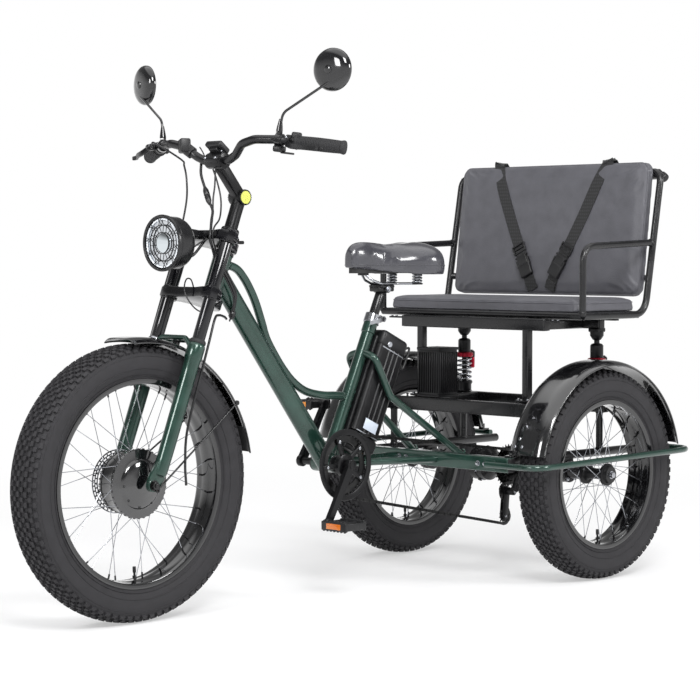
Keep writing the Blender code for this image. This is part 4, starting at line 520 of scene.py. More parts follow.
# Moulded ABS under gloss paint, on the mirror shells.
gloss_abs = grained("gloss_painted_abs", "#101012", 0.12, 0.0, grain=3.0, relief=0.006, other="#161618",
    uneven=0.04, Coat_Weight=0.8, Coat_Roughness=0.04)
# Cable sheath: smooth PVC.
cable_pvc = grained("black_cable_pvc", "#141416", 0.36, 0.0, grain=2.0, relief=0.01, other="#1c1c1e")
# Retroreflector plastic: amber prisms under a smooth face.
amber_reflector = grained("amber_reflector_acrylic", "#e08a22", 0.18, 0.0, grain=2.5, relief=0.25,
    other="#c05e12", Coat_Weight=0.8)
# The bare plate on the battery, the pivot's cap, and silver for its lock and painted highlight strips.
pale_label = grained("pale_vinyl", "#cdd6e2", 0.4, 0.0, grain=1.0, relief=0.005, other="#c2ccda")
pivot_yellow = grained("pale_yellow_cap", "#dfe36e", 0.42, 0.0, grain=1.0, relief=0.005, other="#cdd35c")
lock_and_highlight_silver = grained("silver_for_lock_and_highlight_strips", "#c9ccd2", 0.3, 0.9, grain=0.6, relief=0.01, other="#b2b6bd")

# %% [markdown]
# These finishes need patterns of their own: pebbles and creases for leatherette, crossed ribs for webbing,
# and an almost smooth surface for mirror and screen.

# %% Leatherette, webbing and glass
# Leatherette (PVC on cloth): grey, with a pebbled grain of 1.5 mm, drawn at 2.2 mm so that it shows.
leatherette, tree, shader, place = shader_of("grey_leatherette", "#515156", 0.46, Sheen_Weight=0.06)
cells = add_node(tree, "ShaderNodeTexVoronoi", {"Vector": place, "Scale": per_metre(2.2), "Smoothness": 0.6},
    feature="SMOOTH_F1")
creases = add_node(tree, "ShaderNodeTexNoise", {"Vector": place, "Scale": per_metre(38.0), "Detail": 6.0})
height = maths(tree, "ADD", cells.outputs["Distance"], creases.outputs["Fac"])
bump = add_node(tree, "ShaderNodeBump", {"Height": height, "Distance": 0.0004, "Strength": 0.8})
tree.links.new(bump.outputs["Normal"], shader.inputs["Normal"])
# The colour follows the creases' height, darker in their dips and lighter on their crowns: painted shade.
mix = add_node(tree, "ShaderNodeMix",
    {"Factor": creases.outputs["Fac"], 6: linear("#47474c"), 7: linear("#5e5e64")}, data_type="RGBA")
tree.links.new(mix.outputs[2], shader.inputs["Base Color"])
gloss = add_node(tree, "ShaderNodeMapRange",
    {"Value": creases.outputs["Fac"], "To Min": 0.36, "To Max": 0.56})
tree.links.new(gloss.outputs["Result"], shader.inputs["Roughness"])

# Polyester webbing: woven ribs 1.6 mm apart across the belt, slightly shiny.
webbing, tree, shader, place = shader_of("black_polyester_webbing", "#19191b", 0.62, Sheen_Weight=0.15)
ribs = add_node(tree, "ShaderNodeTexWave", {"Vector": place, "Scale": per_metre(1.6) / 20, "Distortion": 0.6},
    bands_direction="Z")
threads = add_node(tree, "ShaderNodeTexWave",
    {"Vector": place, "Scale": per_metre(1.2) / 20, "Distortion": 0.4}, bands_direction="Y")
weave = maths(tree, "MULTIPLY", ribs.outputs["Fac"], threads.outputs["Fac"])
bump = add_node(tree, "ShaderNodeBump", {"Height": weave, "Distance": 0.0004})
tree.links.new(bump.outputs["Normal"], shader.inputs["Normal"])
# The colour follows the weave's height, lighter on the thread crowns and darker between them: painted sheen
# and painted shade.
mix = add_node(tree, "ShaderNodeMix", {"Factor": weave, 6: linear("#121213"), 7: linear("#2b2b2e")},
    data_type="RGBA")
tree.links.new(mix.outputs[2], shader.inputs["Base Color"])

# Silvered glass of the mirrors and the lamp's bowl, the frosted light guide, and the display's glass.
mirror_glass, tree, shader, place = shader_of("silvered_mirror_glass", "#dfe6ea", 0.03, 1.0)
lamp_silver = grained("vacuum_silvered_reflector", "#dfe2e6", 0.1, 1.0, grain=6.0, relief=0.05,
    other="#cfd3d8")
lamp_white = grained("frosted_light_guide", "#eef2f6", 0.3, 0.0, grain=2.0, relief=0.02, other="#dfe5ec")
screen_glass = grained("black_screen_glass", "#0a0c10", 0.08, 0.0, grain=5.0, relief=0.0, other="#0d1016")
print(len(bpy.data.materials), "materials")

# %% [markdown]
# ## Stage, light and camera
# A plain floor that fades to white, a bright softbox overhead, pale walls and three soft lamps, and the
# camera at the height and angle from which the tricycle was seen. The camera's place was found by fitting the
# wheels' outlines.

# %% Floor and sky
FLOOR_HALF, FADE_FROM, FADE_TO, PALE_SHARE = 30.0, 1.2, 3.4, 0.45
floor_mesh = bpy.data.meshes.new("floor")
floor_mesh.from_pydata([(-FLOOR_HALF, -FLOOR_HALF, 0), (FLOOR_HALF, -FLOOR_HALF, 0),
    (FLOOR_HALF, FLOOR_HALF, 0), (-FLOOR_HALF, FLOOR_HALF, 0)], [], [(0, 1, 2, 3)])
floor = bpy.data.objects.new("floor", floor_mesh)
bpy.context.scene.collection.objects.link(floor)
floor_paint, tree, shader, place = shader_of("white_floor", "#f6f6f7", 0.9)
seen = add_node(tree, "ShaderNodeLightPath")
length = vectors(tree, "LENGTH", place)
fade = add_node(tree, "ShaderNodeMapRange",
    {"Value": length.outputs["Value"], "From Min": FADE_FROM, "From Max": FADE_TO, "To Min": PALE_SHARE})
glow = add_node(tree, "ShaderNodeEmission", {"Color": (1, 1, 1, 1)})
sum_one = maths(tree, "MAXIMUM", seen.outputs["Is Camera Ray"], seen.outputs["Is Glossy Ray"])
sum_two = maths(tree, "MAXIMUM", sum_one, seen.outputs["Is Transmission Ray"])
share = maths(tree, "MULTIPLY", fade.outputs["Result"], sum_two)
blend = add_node(tree, "ShaderNodeMixShader", {0: share, 1: shader, 2: glow})
tree.links.new(blend.outputs[0], tree.nodes["Material Output"].inputs["Surface"])
floor_mesh.materials.append(floor_paint)
floor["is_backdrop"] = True

world = bpy.data.worlds.new("studio")
world.use_nodes = True
bpy.context.scene.world = world
tree = world.node_tree
# Overhead softbox and pale walls near the floor, with dimmer walls between: curved metal shows clean bright
# lines.
seen = add_node(tree, "ShaderNodeLightPath")
toward = add_node(tree, "ShaderNodeTexCoord").outputs["Generated"]
parts = add_node(tree, "ShaderNodeSeparateXYZ", {0: toward})
walls = add_node(tree, "ShaderNodeMapRange",
    {"Value": parts.outputs["Z"], "From Min": 0.1, "From Max": 0.34, "To Min": 0.95, "To Max": 0.2})
softbox = add_node(tree, "ShaderNodeMapRange",
    {"Value": parts.outputs["Z"], "From Min": 0.66, "From Max": 0.8, "To Min": 0.0, "To Max": 1.15})
room = maths(tree, "ADD", walls.outputs["Result"], softbox.outputs["Result"])
direct = maths(tree, "MAXIMUM", seen.outputs["Is Camera Ray"], seen.outputs["Is Transmission Ray"])
strength = maths(tree, "MAXIMUM", room, direct)
sky = tree.nodes["Background"]
sky.inputs["Color"].default_value = (1, 1, 1, 1)
tree.links.new(strength.outputs[0], sky.inputs["Strength"])

# %% [markdown]
# Large soft lamps leave soft shadows and long, even highlights on tube. The first lamp is the key, the second
# fills the side and the third lights the front edge.

# %% Lamps and camera


def soft_lamp(name, place, aim, size, power):
    """A square area lamp that looks at its aim."""
    lamp = bpy.data.lights.new(name, "AREA")
    lamp.size = size
    lamp.energy = power
    item = bpy.data.objects.new(name, lamp)
    item.location = place
    item.rotation_euler = (Vector(aim) - Vector(place)).to_track_quat("-Z", "Y").to_euler()
    bpy.context.scene.collection.objects.link(item)


soft_lamp("key", (2.2, 3.6, 4.2), (0.0, 0.0, 0.6), 1.8, 190.0)
soft_lamp("side", (-1.5, 3.4, 2.3), (0.0, 0.0, 0.6), 0.8, 55.0)
soft_lamp("front", (4.4, 0.4, 2.6), (0.2, 0.0, 0.6), 1.2, 70.0)
camera = bpy.data.objects.new("camera", bpy.data.cameras.new("camera"))
bpy.context.scene.collection.objects.link(camera)
PHOTO_FOCAL, PHOTO_WIDTH = 2131.0, 700.0
camera.data.sensor_width = 36.0
camera.data.lens = PHOTO_FOCAL / PHOTO_WIDTH * camera.data.sensor_width
camera.location = at(4.678, 4.076, 0.918)
heading, pitch = math.radians(-135.0), math.radians(-2.71)
aim = Vector((math.cos(heading) * math.cos(pitch), math.sin(heading) * math.cos(pitch), math.sin(pitch)))
camera.rotation_euler = aim.to_track_quat("-Z", "Y").to_euler()
bpy.context.scene.camera = camera
bpy.context.scene.view_settings.view_transform = "Standard"
print("camera", [round(value, 3) for value in camera.location], "lens", round(camera.data.lens, 1))

# %% [markdown]
# ## Fat tyres
# A fat tyre is a vulcanised casing with a low bulge and rows of square knobs. The casing is turned from its
# cross section. The knobs follow a rule, so one Geometry Nodes tree sets a row of them on a ring: count,
# row's place, size and tilt are its inputs. Nine rows stand side by side, each shifted by half a knob from
# its neighbour, as in the mould.

# %% Casing
TYRE_HALF_WIDTH, TYRE_HEIGHT, LUG_HEIGHT = 0.051, 0.09, 0.0048
CASING_SHARES = ((0.7, 0.0), (0.76, 0.05), (0.74, 0.1), (0.83, 0.17), (0.93, 0.3), (0.985, 0.43), (1.0, 0.56),
    (0.985, 0.68), (0.93, 0.79), (0.82, 0.88), (0.66, 0.94), (0.44, 0.975), (0.2, 0.995), (0.0, 1.0))


def casing_outline(radius):
    """The tyre's section as (along the axle, radius) pairs, a closed loop with the beads inside."""
    top, foot = radius - LUG_HEIGHT, radius - TYRE_HEIGHT
    half = [(TYRE_HALF_WIDTH * wide, foot + (top - foot) * high) for wide, high in CASING_SHARES]
    inner = [(0.0, top - 0.012), (TYRE_HALF_WIDTH * 0.8, foot + (top - foot) * 0.62),
        (TYRE_HALF_WIDTH * 0.6, foot)]
    mirrored = [(-along, high) for along, high in reversed(half[:-1])]
    return half + mirrored + [(-along, high) for along, high in reversed(inner[1:])] + inner


def smooth_path(pairs, rounds=1):
    """Cuts a profile's corners so that it bulges evenly."""
    for _ in range(rounds):
        cut = []
        for index, one in enumerate(pairs):
            two = pairs[(index + 1) % len(pairs)]
            cut += [tuple(a * 0.75 + b * 0.25 for a, b in zip(one, two)),
                tuple(a * 0.25 + b * 0.75 for a, b in zip(one, two))]
        pairs = cut
    return pairs


def sidewall_rings(centre, radius):
    """The moulded lines on a sidewall: one above the bead and one below the shoulder."""
    forms = []
    for share, wide, size in ((0.165, 0.845, 0.0011), (0.36, 0.962, 0.001), (0.72, 0.965, 0.0012)):
        ring = radius - TYRE_HEIGHT + (TYRE_HEIGHT - LUG_HEIGHT) * share
        for side in BOTH:
            place = TYRE_HALF_WIDTH * wide * side
            outline = [(place - size, ring), (place, ring + size), (place + size, ring), (place, ring - size)]
            forms.append(turned(centre, Y_AXIS, outline, 96, closed=True))
    return forms


# %% [markdown]
# The mould cuts each row of knobs at one pitch round the tyre. A tree does the same: it bends a line of
# points to a ring and sets a tapered block on every point, turned and tilted with the casing.

# %% Rows of knobs by Geometry Nodes


SOCKET_KINDS = {"Count": "NodeSocketInt", "Line": "NodeSocketGeometry"}


def node_tree(name, labels):
    """A geometry tree with one geometry output and named inputs; returns the tree and its inputs by name."""
    tree = bpy.data.node_groups.new(name, "GeometryNodeTree")
    for label in labels:
        kind = SOCKET_KINDS.get(label, "NodeSocketFloat")
        tree.interface.new_socket(label, in_out="INPUT", socket_type=kind)
    tree.interface.new_socket("Geometry", in_out="OUTPUT", socket_type="NodeSocketGeometry")
    return tree, {socket.name: socket for socket in add_node(tree, "NodeGroupInput").outputs}


def grown(name, tree, values, line=()):
    """Runs a geometry tree with these inputs, on a closed line if there is one, and returns a loose mesh."""
    mesh = bpy.data.meshes.new(name)
    mesh.from_pydata(line, [(index, (index + 1) % len(line)) for index in range(len(line))], [])
    carrier = bpy.data.objects.new(name, mesh)
    bpy.context.scene.collection.objects.link(carrier)
    modifier = carrier.modifiers.new("rule", "NODES")
    modifier.node_group = tree
    for socket in tree.interface.items_tree:
        if socket.in_out == "INPUT" and socket.name in values:
            modifier[socket.identifier] = values[socket.name]
    carrier.update_tag()
    bpy.context.view_layer.update()
    mesh = bpy.data.meshes.new_from_object(carrier.evaluated_get(bpy.context.evaluated_depsgraph_get()))
    form = bmesh.new()
    form.from_mesh(mesh)
    bpy.data.objects.remove(carrier)
    bpy.data.meshes.remove(mesh)
    return form


def closed_tree(tree, geometry, material):
    """Ends a tree as every one here ends: real faces, with their material."""
    real = add_node(tree, "GeometryNodeRealizeInstances", {"Geometry": geometry})
    painted = add_node(tree, "GeometryNodeSetMaterial", {"Geometry": real.outputs["Geometry"]})
    painted.inputs["Material"].default_value = material
    add_node(tree, "NodeGroupOutput", {"Geometry": painted.outputs["Geometry"]})


def knob_tree():
    """A ring of blocks round the Y axis; each is tapered, tilted outward and shifted by its phase."""
    tree, given = node_tree("knob_row",
        ["Count", "Radius", "Side", "Length", "Width", "Height", "Tilt", "Phase"])
    size = add_node(tree, "ShaderNodeCombineXYZ",
        {"X": given["Length"], "Y": given["Width"], "Z": given["Height"]})
    knob = add_node(tree, "GeometryNodeMeshCube", {"Size": size})
    place = add_node(tree, "GeometryNodeInputPosition")
    parts = add_node(tree, "ShaderNodeSeparateXYZ", {0: place})
    upper = add_node(tree, "FunctionNodeCompare", {0: parts.outputs["Z"], 1: 0.0}, operation="GREATER_THAN")
    narrow = vectors(tree, "MULTIPLY", place, (0.86, 0.84, 1.0))
    tapered = add_node(tree, "GeometryNodeSetPosition",
        {"Geometry": knob.outputs["Mesh"], "Selection": upper, "Position": narrow})
    tilt = add_node(tree, "FunctionNodeEulerToRotation")
    angles = add_node(tree, "ShaderNodeCombineXYZ", {"X": given["Tilt"]})
    tree.links.new(angles.outputs[0], tilt.inputs[0])
    tilted = add_node(tree, "GeometryNodeTransform", {"Geometry": tapered, "Rotation": tilt})
    line = add_node(tree, "GeometryNodeMeshLine", {"Count": given["Count"], "Offset": (0.0, 0.0, 0.0)})
    index = add_node(tree, "GeometryNodeInputIndex")
    phased = maths(tree, "ADD", index, given["Phase"])
    part = maths(tree, "DIVIDE", phased, given["Count"])
    angle = maths(tree, "MULTIPLY", part, math.tau)
    sine = maths(tree, "SINE", angle)
    cosine = maths(tree, "COSINE", angle)
    out_x = maths(tree, "MULTIPLY", sine, given["Radius"])
    out_z = maths(tree, "MULTIPLY", cosine, given["Radius"])
    spot = add_node(tree, "ShaderNodeCombineXYZ", {"X": out_x, "Y": given["Side"], "Z": out_z})
    ring = add_node(tree, "GeometryNodeSetPosition", {"Geometry": line, "Position": spot})
    turn = add_node(tree, "ShaderNodeCombineXYZ", {"Y": angle})
    copies = add_node(tree, "GeometryNodeInstanceOnPoints",
        {"Points": ring, "Instance": tilted, "Rotation": turn})
    closed_tree(tree, copies, tyre_rubber)
    return tree


KNOBS = knob_tree()
# Rows of knobs: (side as a share of half the width, length, width, tilt in degrees, phase, drop from the
# crown).
KNOB_ROWS = ((0.0, 0.015, 0.0098, 0.0, 0.0, 0.0), (0.25, 0.0125, 0.0094, 6.0, 0.5, 0.0008),
    (0.48, 0.015, 0.0094, 14.0, 0.0, 0.0026), (0.69, 0.0125, 0.0092, 27.0, 0.5, 0.0062),
    (0.87, 0.015, 0.0094, 44.0, 0.0, 0.0128))
KNOB_PITCH = 0.0245


def fat_tyre(name, centre, radius, body):
    """Casing, sidewall lines and nine rows of knobs in one piece."""
    count = round(math.tau * radius / KNOB_PITCH)
    forms = [turned(centre, Y_AXIS, smooth_path(casing_outline(radius)), 112, closed=True)]
    forms += sidewall_rings(centre, radius)
    for share, length, width, tilt, phase, drop in KNOB_ROWS:
        for side in (BOTH if share else (LEFT,)):
            values = {"Count": count, "Radius": radius - LUG_HEIGHT * 0.95 - drop + 0.0008, "Length": length,
                "Side": TYRE_HALF_WIDTH * share * side, "Width": width, "Height": LUG_HEIGHT * 2,
                "Tilt": -math.radians(tilt) * side, "Phase": phase}
            row = grown("knobs", KNOBS, values)
            bmesh.ops.translate(row, verts=row.verts, vec=centre)
            forms.append(row)
    piece(name, forms, tyre_rubber, body, [name])


WHEELS = (("front", FRONT_AXLE, FRONT_RADIUS, "front_wheel"),
    ("rear_left", Vector((REAR_AXLE_X, HALF_TRACK, REAR_RADIUS)), REAR_RADIUS, "rear_wheel_left"),
    ("rear_right", Vector((REAR_AXLE_X, -HALF_TRACK, REAR_RADIUS)), REAR_RADIUS, "rear_wheel_right"))
TYRE_NAMES = {"front": "front_tyre", "rear_left": "rear_tyre_left", "rear_right": "rear_tyre_right"}
for word, centre, radius, body in WHEELS:
    fat_tyre(TYRE_NAMES[word], centre, radius, body)

# %% [markdown]
# ## Rims, spokes and valves
# The rims are rolled from wide aluminium strip, polished and anodised black: two hooks hold the beads, a
# shallow well runs between. Spokes cross from two hub flanges. A Geometry Nodes tree lays all spokes of a
# wheel: every one is a thin cylinder between a hub point and a rim point that its index works out.

# %% Rolled rims
# Rims are anodised black over polished aluminium: darker than enamel, with a strong mirror at low angles.
rim_black = grained("polished_black_anodising", "#0e0e10", 0.12, 0.3, grain=4.0, relief=0.004,
    other="#151517", uneven=0.04, Coat_Weight=1.0, Coat_Roughness=0.05, Coat_IOR=1.6)
RIM_HALF_WIDTH, RIM_DEPTH, SPOKES_A_SIDE = 0.04, 0.012, 18
RIM_SHARES = ((1.0, 1.45), (0.955, 1.55), (0.92, 1.35), (0.93, 0.72), (0.7, 0.42), (0.45, 0.62), (0.25, 0.3),
    (0.0, 0.26))
RIM_INNER_SHARES = ((0.0, 0.02), (0.3, 0.05), (0.52, 0.34), (0.72, 0.16), (0.96, 0.42), (1.0, 0.75))


def rim_outline(radius):
    """The rim's closed section as (along the axle, radius) pairs."""
    foot = radius - TYRE_HEIGHT - RIM_DEPTH
    over = [(RIM_HALF_WIDTH * wide, foot + RIM_DEPTH * high) for wide, high in RIM_SHARES]
    under = [(RIM_HALF_WIDTH * wide, foot + RIM_DEPTH * high) for wide, high in RIM_INNER_SHARES]
    half = under[1:] + over[:-1]
    other = [(-along, high) for along, high in reversed(half)]
    return [under[0]] + half + [over[-1]] + other


def spoke_tree():
    """All spokes of one flange: a thin rod for each, from hub to rim, leaning forward or backward."""
    tree, given = node_tree("spokes", ["Count", "Hub", "Rim", "Flange", "Rim side", "Wire", "Lean", "Phase"])
    line = add_node(tree, "GeometryNodeMeshLine", {"Count": given["Count"], "Offset": (0.0, 0.0, 0.0)})
    index = add_node(tree, "GeometryNodeInputIndex")
    phased = maths(tree, "ADD", index, given["Phase"])
    part = maths(tree, "DIVIDE", phased, given["Count"])
    rim_angle = maths(tree, "MULTIPLY", part, math.tau)
    odd = maths(tree, "MODULO", index, 2.0)
    sign = add_node(tree, "ShaderNodeMapRange", {"Value": odd, "To Min": -1.0, "To Max": 1.0})
    lean = maths(tree, "MULTIPLY", sign.outputs["Result"], given["Lean"])
    hub_angle = maths(tree, "ADD", rim_angle, lean)

    def circle_point(angle, radius, side):
        sine = maths(tree, "SINE", angle)
        cosine = maths(tree, "COSINE", angle)
        flat = add_node(tree, "ShaderNodeCombineXYZ", {"X": sine, "Z": cosine})
        reach = add_node(tree, "ShaderNodeVectorMath", {0: flat, "Scale": radius}, operation="SCALE")
        offset = add_node(tree, "ShaderNodeCombineXYZ", {"Y": side})
        return vectors(tree, "ADD", reach, offset)

    rim_point = circle_point(rim_angle.outputs[0], given["Rim"], given["Rim side"])
    hub_point = circle_point(hub_angle.outputs[0], given["Hub"], given["Flange"])
    span = vectors(tree, "SUBTRACT", rim_point, hub_point)
    length = vectors(tree, "LENGTH", span)
    turn = add_node(tree, "FunctionNodeAlignRotationToVector", {"Vector": span}, axis="Z")
    placed = add_node(tree, "GeometryNodeSetPosition", {"Geometry": line, "Position": hub_point})
    wire = add_node(tree, "GeometryNodeMeshCylinder", {"Vertices": 6, "Radius": 1.0, "Depth": 1.0})
    raised = add_node(tree, "GeometryNodeTransform",
        {"Geometry": wire.outputs["Mesh"], "Translation": (0.0, 0.0, 0.5)})
    size = add_node(tree, "ShaderNodeCombineXYZ",
        {"X": given["Wire"], "Y": given["Wire"], "Z": length.outputs["Value"]})
    copies = add_node(tree, "GeometryNodeInstanceOnPoints",
        {"Points": placed, "Instance": raised, "Rotation": turn, "Scale": size})
    closed_tree(tree, copies, plated_steel)
    return tree


SPOKES = spoke_tree()


def wire_wheel(name, centre, radius, hub_radii, flange, body, lean, hub_forms):
    """Rim, spokes, nipples and valve, with the hub's own forms."""
    foot = radius - TYRE_HEIGHT - RIM_DEPTH
    spokes, nipples = [], []
    for side, phase, hub_radius in ((LEFT, 0.0, hub_radii[0]), (RIGHT, 0.5, hub_radii[1])):
        values = {"Count": SPOKES_A_SIDE, "Hub": hub_radius, "Rim": foot + 0.002, "Flange": flange * side,
            "Rim side": 0.012 * side, "Wire": 0.001, "Lean": lean, "Phase": phase}
        spokes.append(grown("spokes", SPOKES, values))
        values.update({"Hub": foot - 0.0105, "Flange": (0.012 + (flange - 0.012) * 0.06) * side,
            "Wire": 0.0024, "Lean": lean * 0.025})
        nipples.append(grown("nipples", SPOKES, values))
    for form in spokes + nipples:
        bmesh.ops.translate(form, verts=form.verts, vec=centre)
    valve_out = way_at(268.0)
    valve = centre + valve_out * (foot + 0.001)
    stem = [rod(valve, valve - valve_out * 0.034, 0.003, 14),
        rod(valve - valve_out * 0.006, valve - valve_out * 0.011, 0.0058, 6),
        rod(valve - valve_out * 0.019, valve - valve_out * 0.034, 0.0043, 16, soft=0.0008)]
    piece(name, [turned(centre, Y_AXIS, rim_outline(radius), 112, closed=True)], rim_black, body, [name])
    piece(name + "_spokes", spokes, plated_steel, body)
    piece(name + "_nipples", nipples, black_powder, body)
    piece(name + "_valve", stem, black_abs, body)
    for index, (forms, material) in enumerate(hub_forms):
        piece(name + "_hub_" + str(index), forms, material, body)


# %% [markdown]
# ## Hubs
# In front sits the drum of a hub motor with its toothed outer flange, ring of cover screws and axle nut, and
# the drilled brake disc on the far side. The rear hubs are plain turned shells with spoke flanges and a
# screwed bearing cap.

# %% Hub motor and brake disc
MOTOR_OUTLINE = ((-0.05, 0.022), (-0.049, 0.027), (-0.0435, 0.04), (-0.0425, 0.0535), (-0.038, 0.06),
    (-0.0345, 0.0625), (-0.033, 0.0685), (-0.0315, 0.0755), (-0.0245, 0.0775), (-0.0235, 0.0765),
    (-0.018, 0.075), (0.018, 0.075), (0.0235, 0.0775), (0.0245, 0.086), (0.0315, 0.085), (0.033, 0.0685),
    (0.0345, 0.0625), (0.038, 0.06), (0.0425, 0.0535), (0.0435, 0.04), (0.049, 0.027), (0.05, 0.022))
motor = [turned(FRONT_AXLE, Y_AXIS, MOTOR_OUTLINE, 72)]
teeth = []
screws = []
for side in BOTH:
    face = FRONT_AXLE + Y_AXIS * side * 0.028
    for place, outward in ring_of(face, Y_AXIS, 0.085 if side == LEFT else 0.0765, 36):
        teeth.append(block(place, (0.0052, 0.0064, 0.0052), outward, Y_AXIS.cross(outward), soft=0.0012,
            steps=2))
    for place, _ in ring_of(FRONT_AXLE + Y_AXIS * side * 0.0405, Y_AXIS, 0.0565, 9, 0.2):
        screws += bolt(place, Y_AXIS * side, 0.0032, 0.0028)
    for place, _ in ring_of(FRONT_AXLE + Y_AXIS * side * 0.0435, Y_AXIS, 0.033, 6, 0.1):
        screws += bolt(place, Y_AXIS * side, 0.0026, 0.0022)
piece("hub_motor", motor + teeth, gloss_enamel, "front_wheel", ["hub_motor"])
piece("hub_motor_screws", screws, black_powder, "front_wheel")

DISC_SIDE, DISC_RADIUS = -0.055, 0.08
disc_face = FRONT_AXLE + Y_AXIS * DISC_SIDE
disc = []
for low, high in ((0.0625, 0.0652), (0.07, 0.0724), (0.0772, DISC_RADIUS)):
    disc.append(turned(disc_face, Y_AXIS, [(-0.001, low), (-0.001, high), (0.001, high), (0.001, low)], 96,
        closed=True))
for row, middle in enumerate((0.0676, 0.0748)):
    webs = grown("webs", KNOBS,
        {"Count": 36, "Radius": middle, "Side": 0.0, "Length": 0.0034, "Width": 0.002, "Height": 0.0062,
        "Tilt": 0.0, "Phase": 0.5 * row})
    bmesh.ops.translate(webs, verts=webs.verts, vec=disc_face)
    disc.append(webs)
for place, outward in ring_of(disc_face, Y_AXIS, 0.048, 6):
    lean = outward.cross(Y_AXIS)
    disc.append(block(place + lean * 0.006, (0.036, 0.0085, 0.0019), outward + lean * 0.45, Y_AXIS,
        soft=0.0006))
disc.append(turned(disc_face, Y_AXIS, [(-0.001, 0.02), (-0.001, 0.0345), (0.006, 0.0345), (0.006, 0.02)], 48,
    closed=True))
for place, _ in ring_of(disc_face - Y_AXIS * 0.001, Y_AXIS, 0.0275, 6, 0.3):
    disc += bolt(place, -Y_AXIS, 0.004, 0.0026)
piece("brake_disc", disc, plated_steel, "front_wheel", ["brake_disc"])

# %% [markdown]
# The spoked wheels differ only in their sizes. The hub motor's wheel has short spokes from large flanges, and
# the rear ones cross further from small turned hubs with screwed bearing caps.

# %% Wheels
wire_wheel("front_rim", FRONT_AXLE, FRONT_RADIUS, (0.083, 0.075), 0.028, "front_wheel", math.radians(26.0),
    [])
HUB_OUTLINE = ((-0.047, 0.011), (-0.047, 0.022), (-0.043, 0.024), (-0.041, 0.031), (-0.0335, 0.031),
    (-0.0315, 0.022), (-0.024, 0.0165), (0.0, 0.0148), (0.024, 0.0165), (0.0315, 0.022), (0.0335, 0.031),
    (0.041, 0.031), (0.043, 0.024), (0.047, 0.022), (0.047, 0.011))
for word, side in SIDES:
    centre = Vector((REAR_AXLE_X, HALF_TRACK * side, REAR_RADIUS))
    shell = [turned(centre, Y_AXIS, HUB_OUTLINE, 48)]
    outer = centre + Y_AXIS * side * 0.0475
    cap = [turned(outer, Y_AXIS * side, [(0.0, 0.023), (0.004, 0.023), (0.0055, 0.0215), (0.0055, 0.012)],
        32)]
    for place, _ in ring_of(outer + Y_AXIS * side * 0.0048, Y_AXIS, 0.0175, 5, 0.4):
        cap += bolt(place, Y_AXIS * side, 0.0024, 0.002)
    wire_wheel("rear_rim_" + word, centre, REAR_RADIUS, (0.0285, 0.0285), 0.037, "rear_wheel_" + word,
        math.radians(62.0), [(shell, black_anodised), (cap, black_abs)])

# %% [markdown]
# ## Fork
# A motorcycle-style fork: green lower legs that hold the axle and carry a cast arch over the tyre, black
# stanchions that slide in them, and two crowns. The legs are turned, the dropouts are cut from plate and
# welded on, and each crown is a forging whose clamps are pinched by socket bolts.

# %% Lower legs, dropouts and arch
LEG_FOOT, LEG_TOP = 0.026, 0.37
LEG_OUTLINE = ((0.0, 0.009), (0.003, 0.0158), (0.012, 0.018), (0.06, 0.0188), (0.23, 0.0196), (0.3, 0.02),
    (0.306, 0.0222), (0.336, 0.0225), (0.341, 0.021), (0.344, 0.019))
SEAL_OUTLINE = ((0.0, 0.0195), (0.003, 0.0212), (0.008, 0.0205), (0.011, 0.0182), (0.012, 0.015))
DROPOUT = ((0.05, 0.06), (0.085, 0.06), (0.096, 0.024), (0.0965, 0.004), (0.091, -0.01), (0.08, -0.016),
    (0.068, -0.013), (0.06, 0.0), (0.052, 0.022))
lowers, nuts = [], []
for word, side in SIDES:
    foot = on_leg(side, LEG_FOOT)
    lowers.append(turned(foot, STEER_UP, LEG_OUTLINE, 40))
    outline = [steered(ahead, FORK_HALF_SPREAD * side, rise) for ahead, rise in DROPOUT]
    lowers.append(plate(outline, Y_AXIS * 0.0115, soft=0.0015))
    boss = FRONT_AXLE + Y_AXIS * FORK_HALF_SPREAD * side
    lowers.append(turned(boss - Y_AXIS * 0.0068, Y_AXIS,
        [(0.0, 0.015), (0.001, 0.016), (0.0126, 0.016), (0.0136, 0.015)], 36))
    seal = turned(on_leg(side, LEG_TOP), STEER_UP, SEAL_OUTLINE, 40)
    # The near leg shows a rubber seal, the far one a bright ring.
    piece("fork_seal_" + word, [seal], grip_rubber if side == LEFT else plated_steel, "steering")
    nuts += hexagon(boss + Y_AXIS * side * 0.0068, Y_AXIS * side, 0.0105, 0.01)
    nuts.append(rod(boss, boss + Y_AXIS * side * 0.021, 0.0058, 20, soft=0.001))
arch = [(0.94, -0.03), (0.86, -0.008), (0.56, 0.0115), (-0.56, 0.0115), (-0.86, -0.008), (-0.94, -0.03)]
for ahead, radius in ((FORK_AHEAD - 0.012, 0.0062), (FORK_AHEAD + 0.012, 0.0062)):
    path = [steered(ahead, FORK_HALF_SPREAD * across, LEG_TOP + rise) for across, rise in arch]
    lowers.append(pipe(bent(path, 0.02), radius, 16))
for across in (0.0, 0.3, -0.3, 0.62, -0.62):
    drop = 0.0115 if abs(across) < 0.5 else 0.0065
    middle = steered(FORK_AHEAD, FORK_HALF_SPREAD * across, LEG_TOP + drop)
    lowers.append(block(middle, (0.026, 0.01, 0.006), STEER_AHEAD, STEER_UP, soft=0.002))
piece("fork_lowers", lowers, green_enamel, "steering", ["fork_lowers"])
piece("front_axle_nuts", nuts, oiled_steel, "steering")

# %% [markdown]
# The stanchions are hard-chromed steel with a dark tint. A crown is drawn as an outline and pushed to its
# thickness, as a forging is trimmed; round clamps with two pinch bolts hold each stanchion.

# %% Stanchions and crowns
black_chrome = grained("black_chromed_steel", "#101013", 0.14, 0.35, grain=4.0, relief=0.004, other="#17171b",
    uneven=0.04, Coat_Weight=0.5, Coat_Roughness=0.05)
LOWER_CROWN, UPPER_CROWN, CROWN_THICKNESS, CROWN_REACH = 0.502, 0.655, 0.027, 0.024


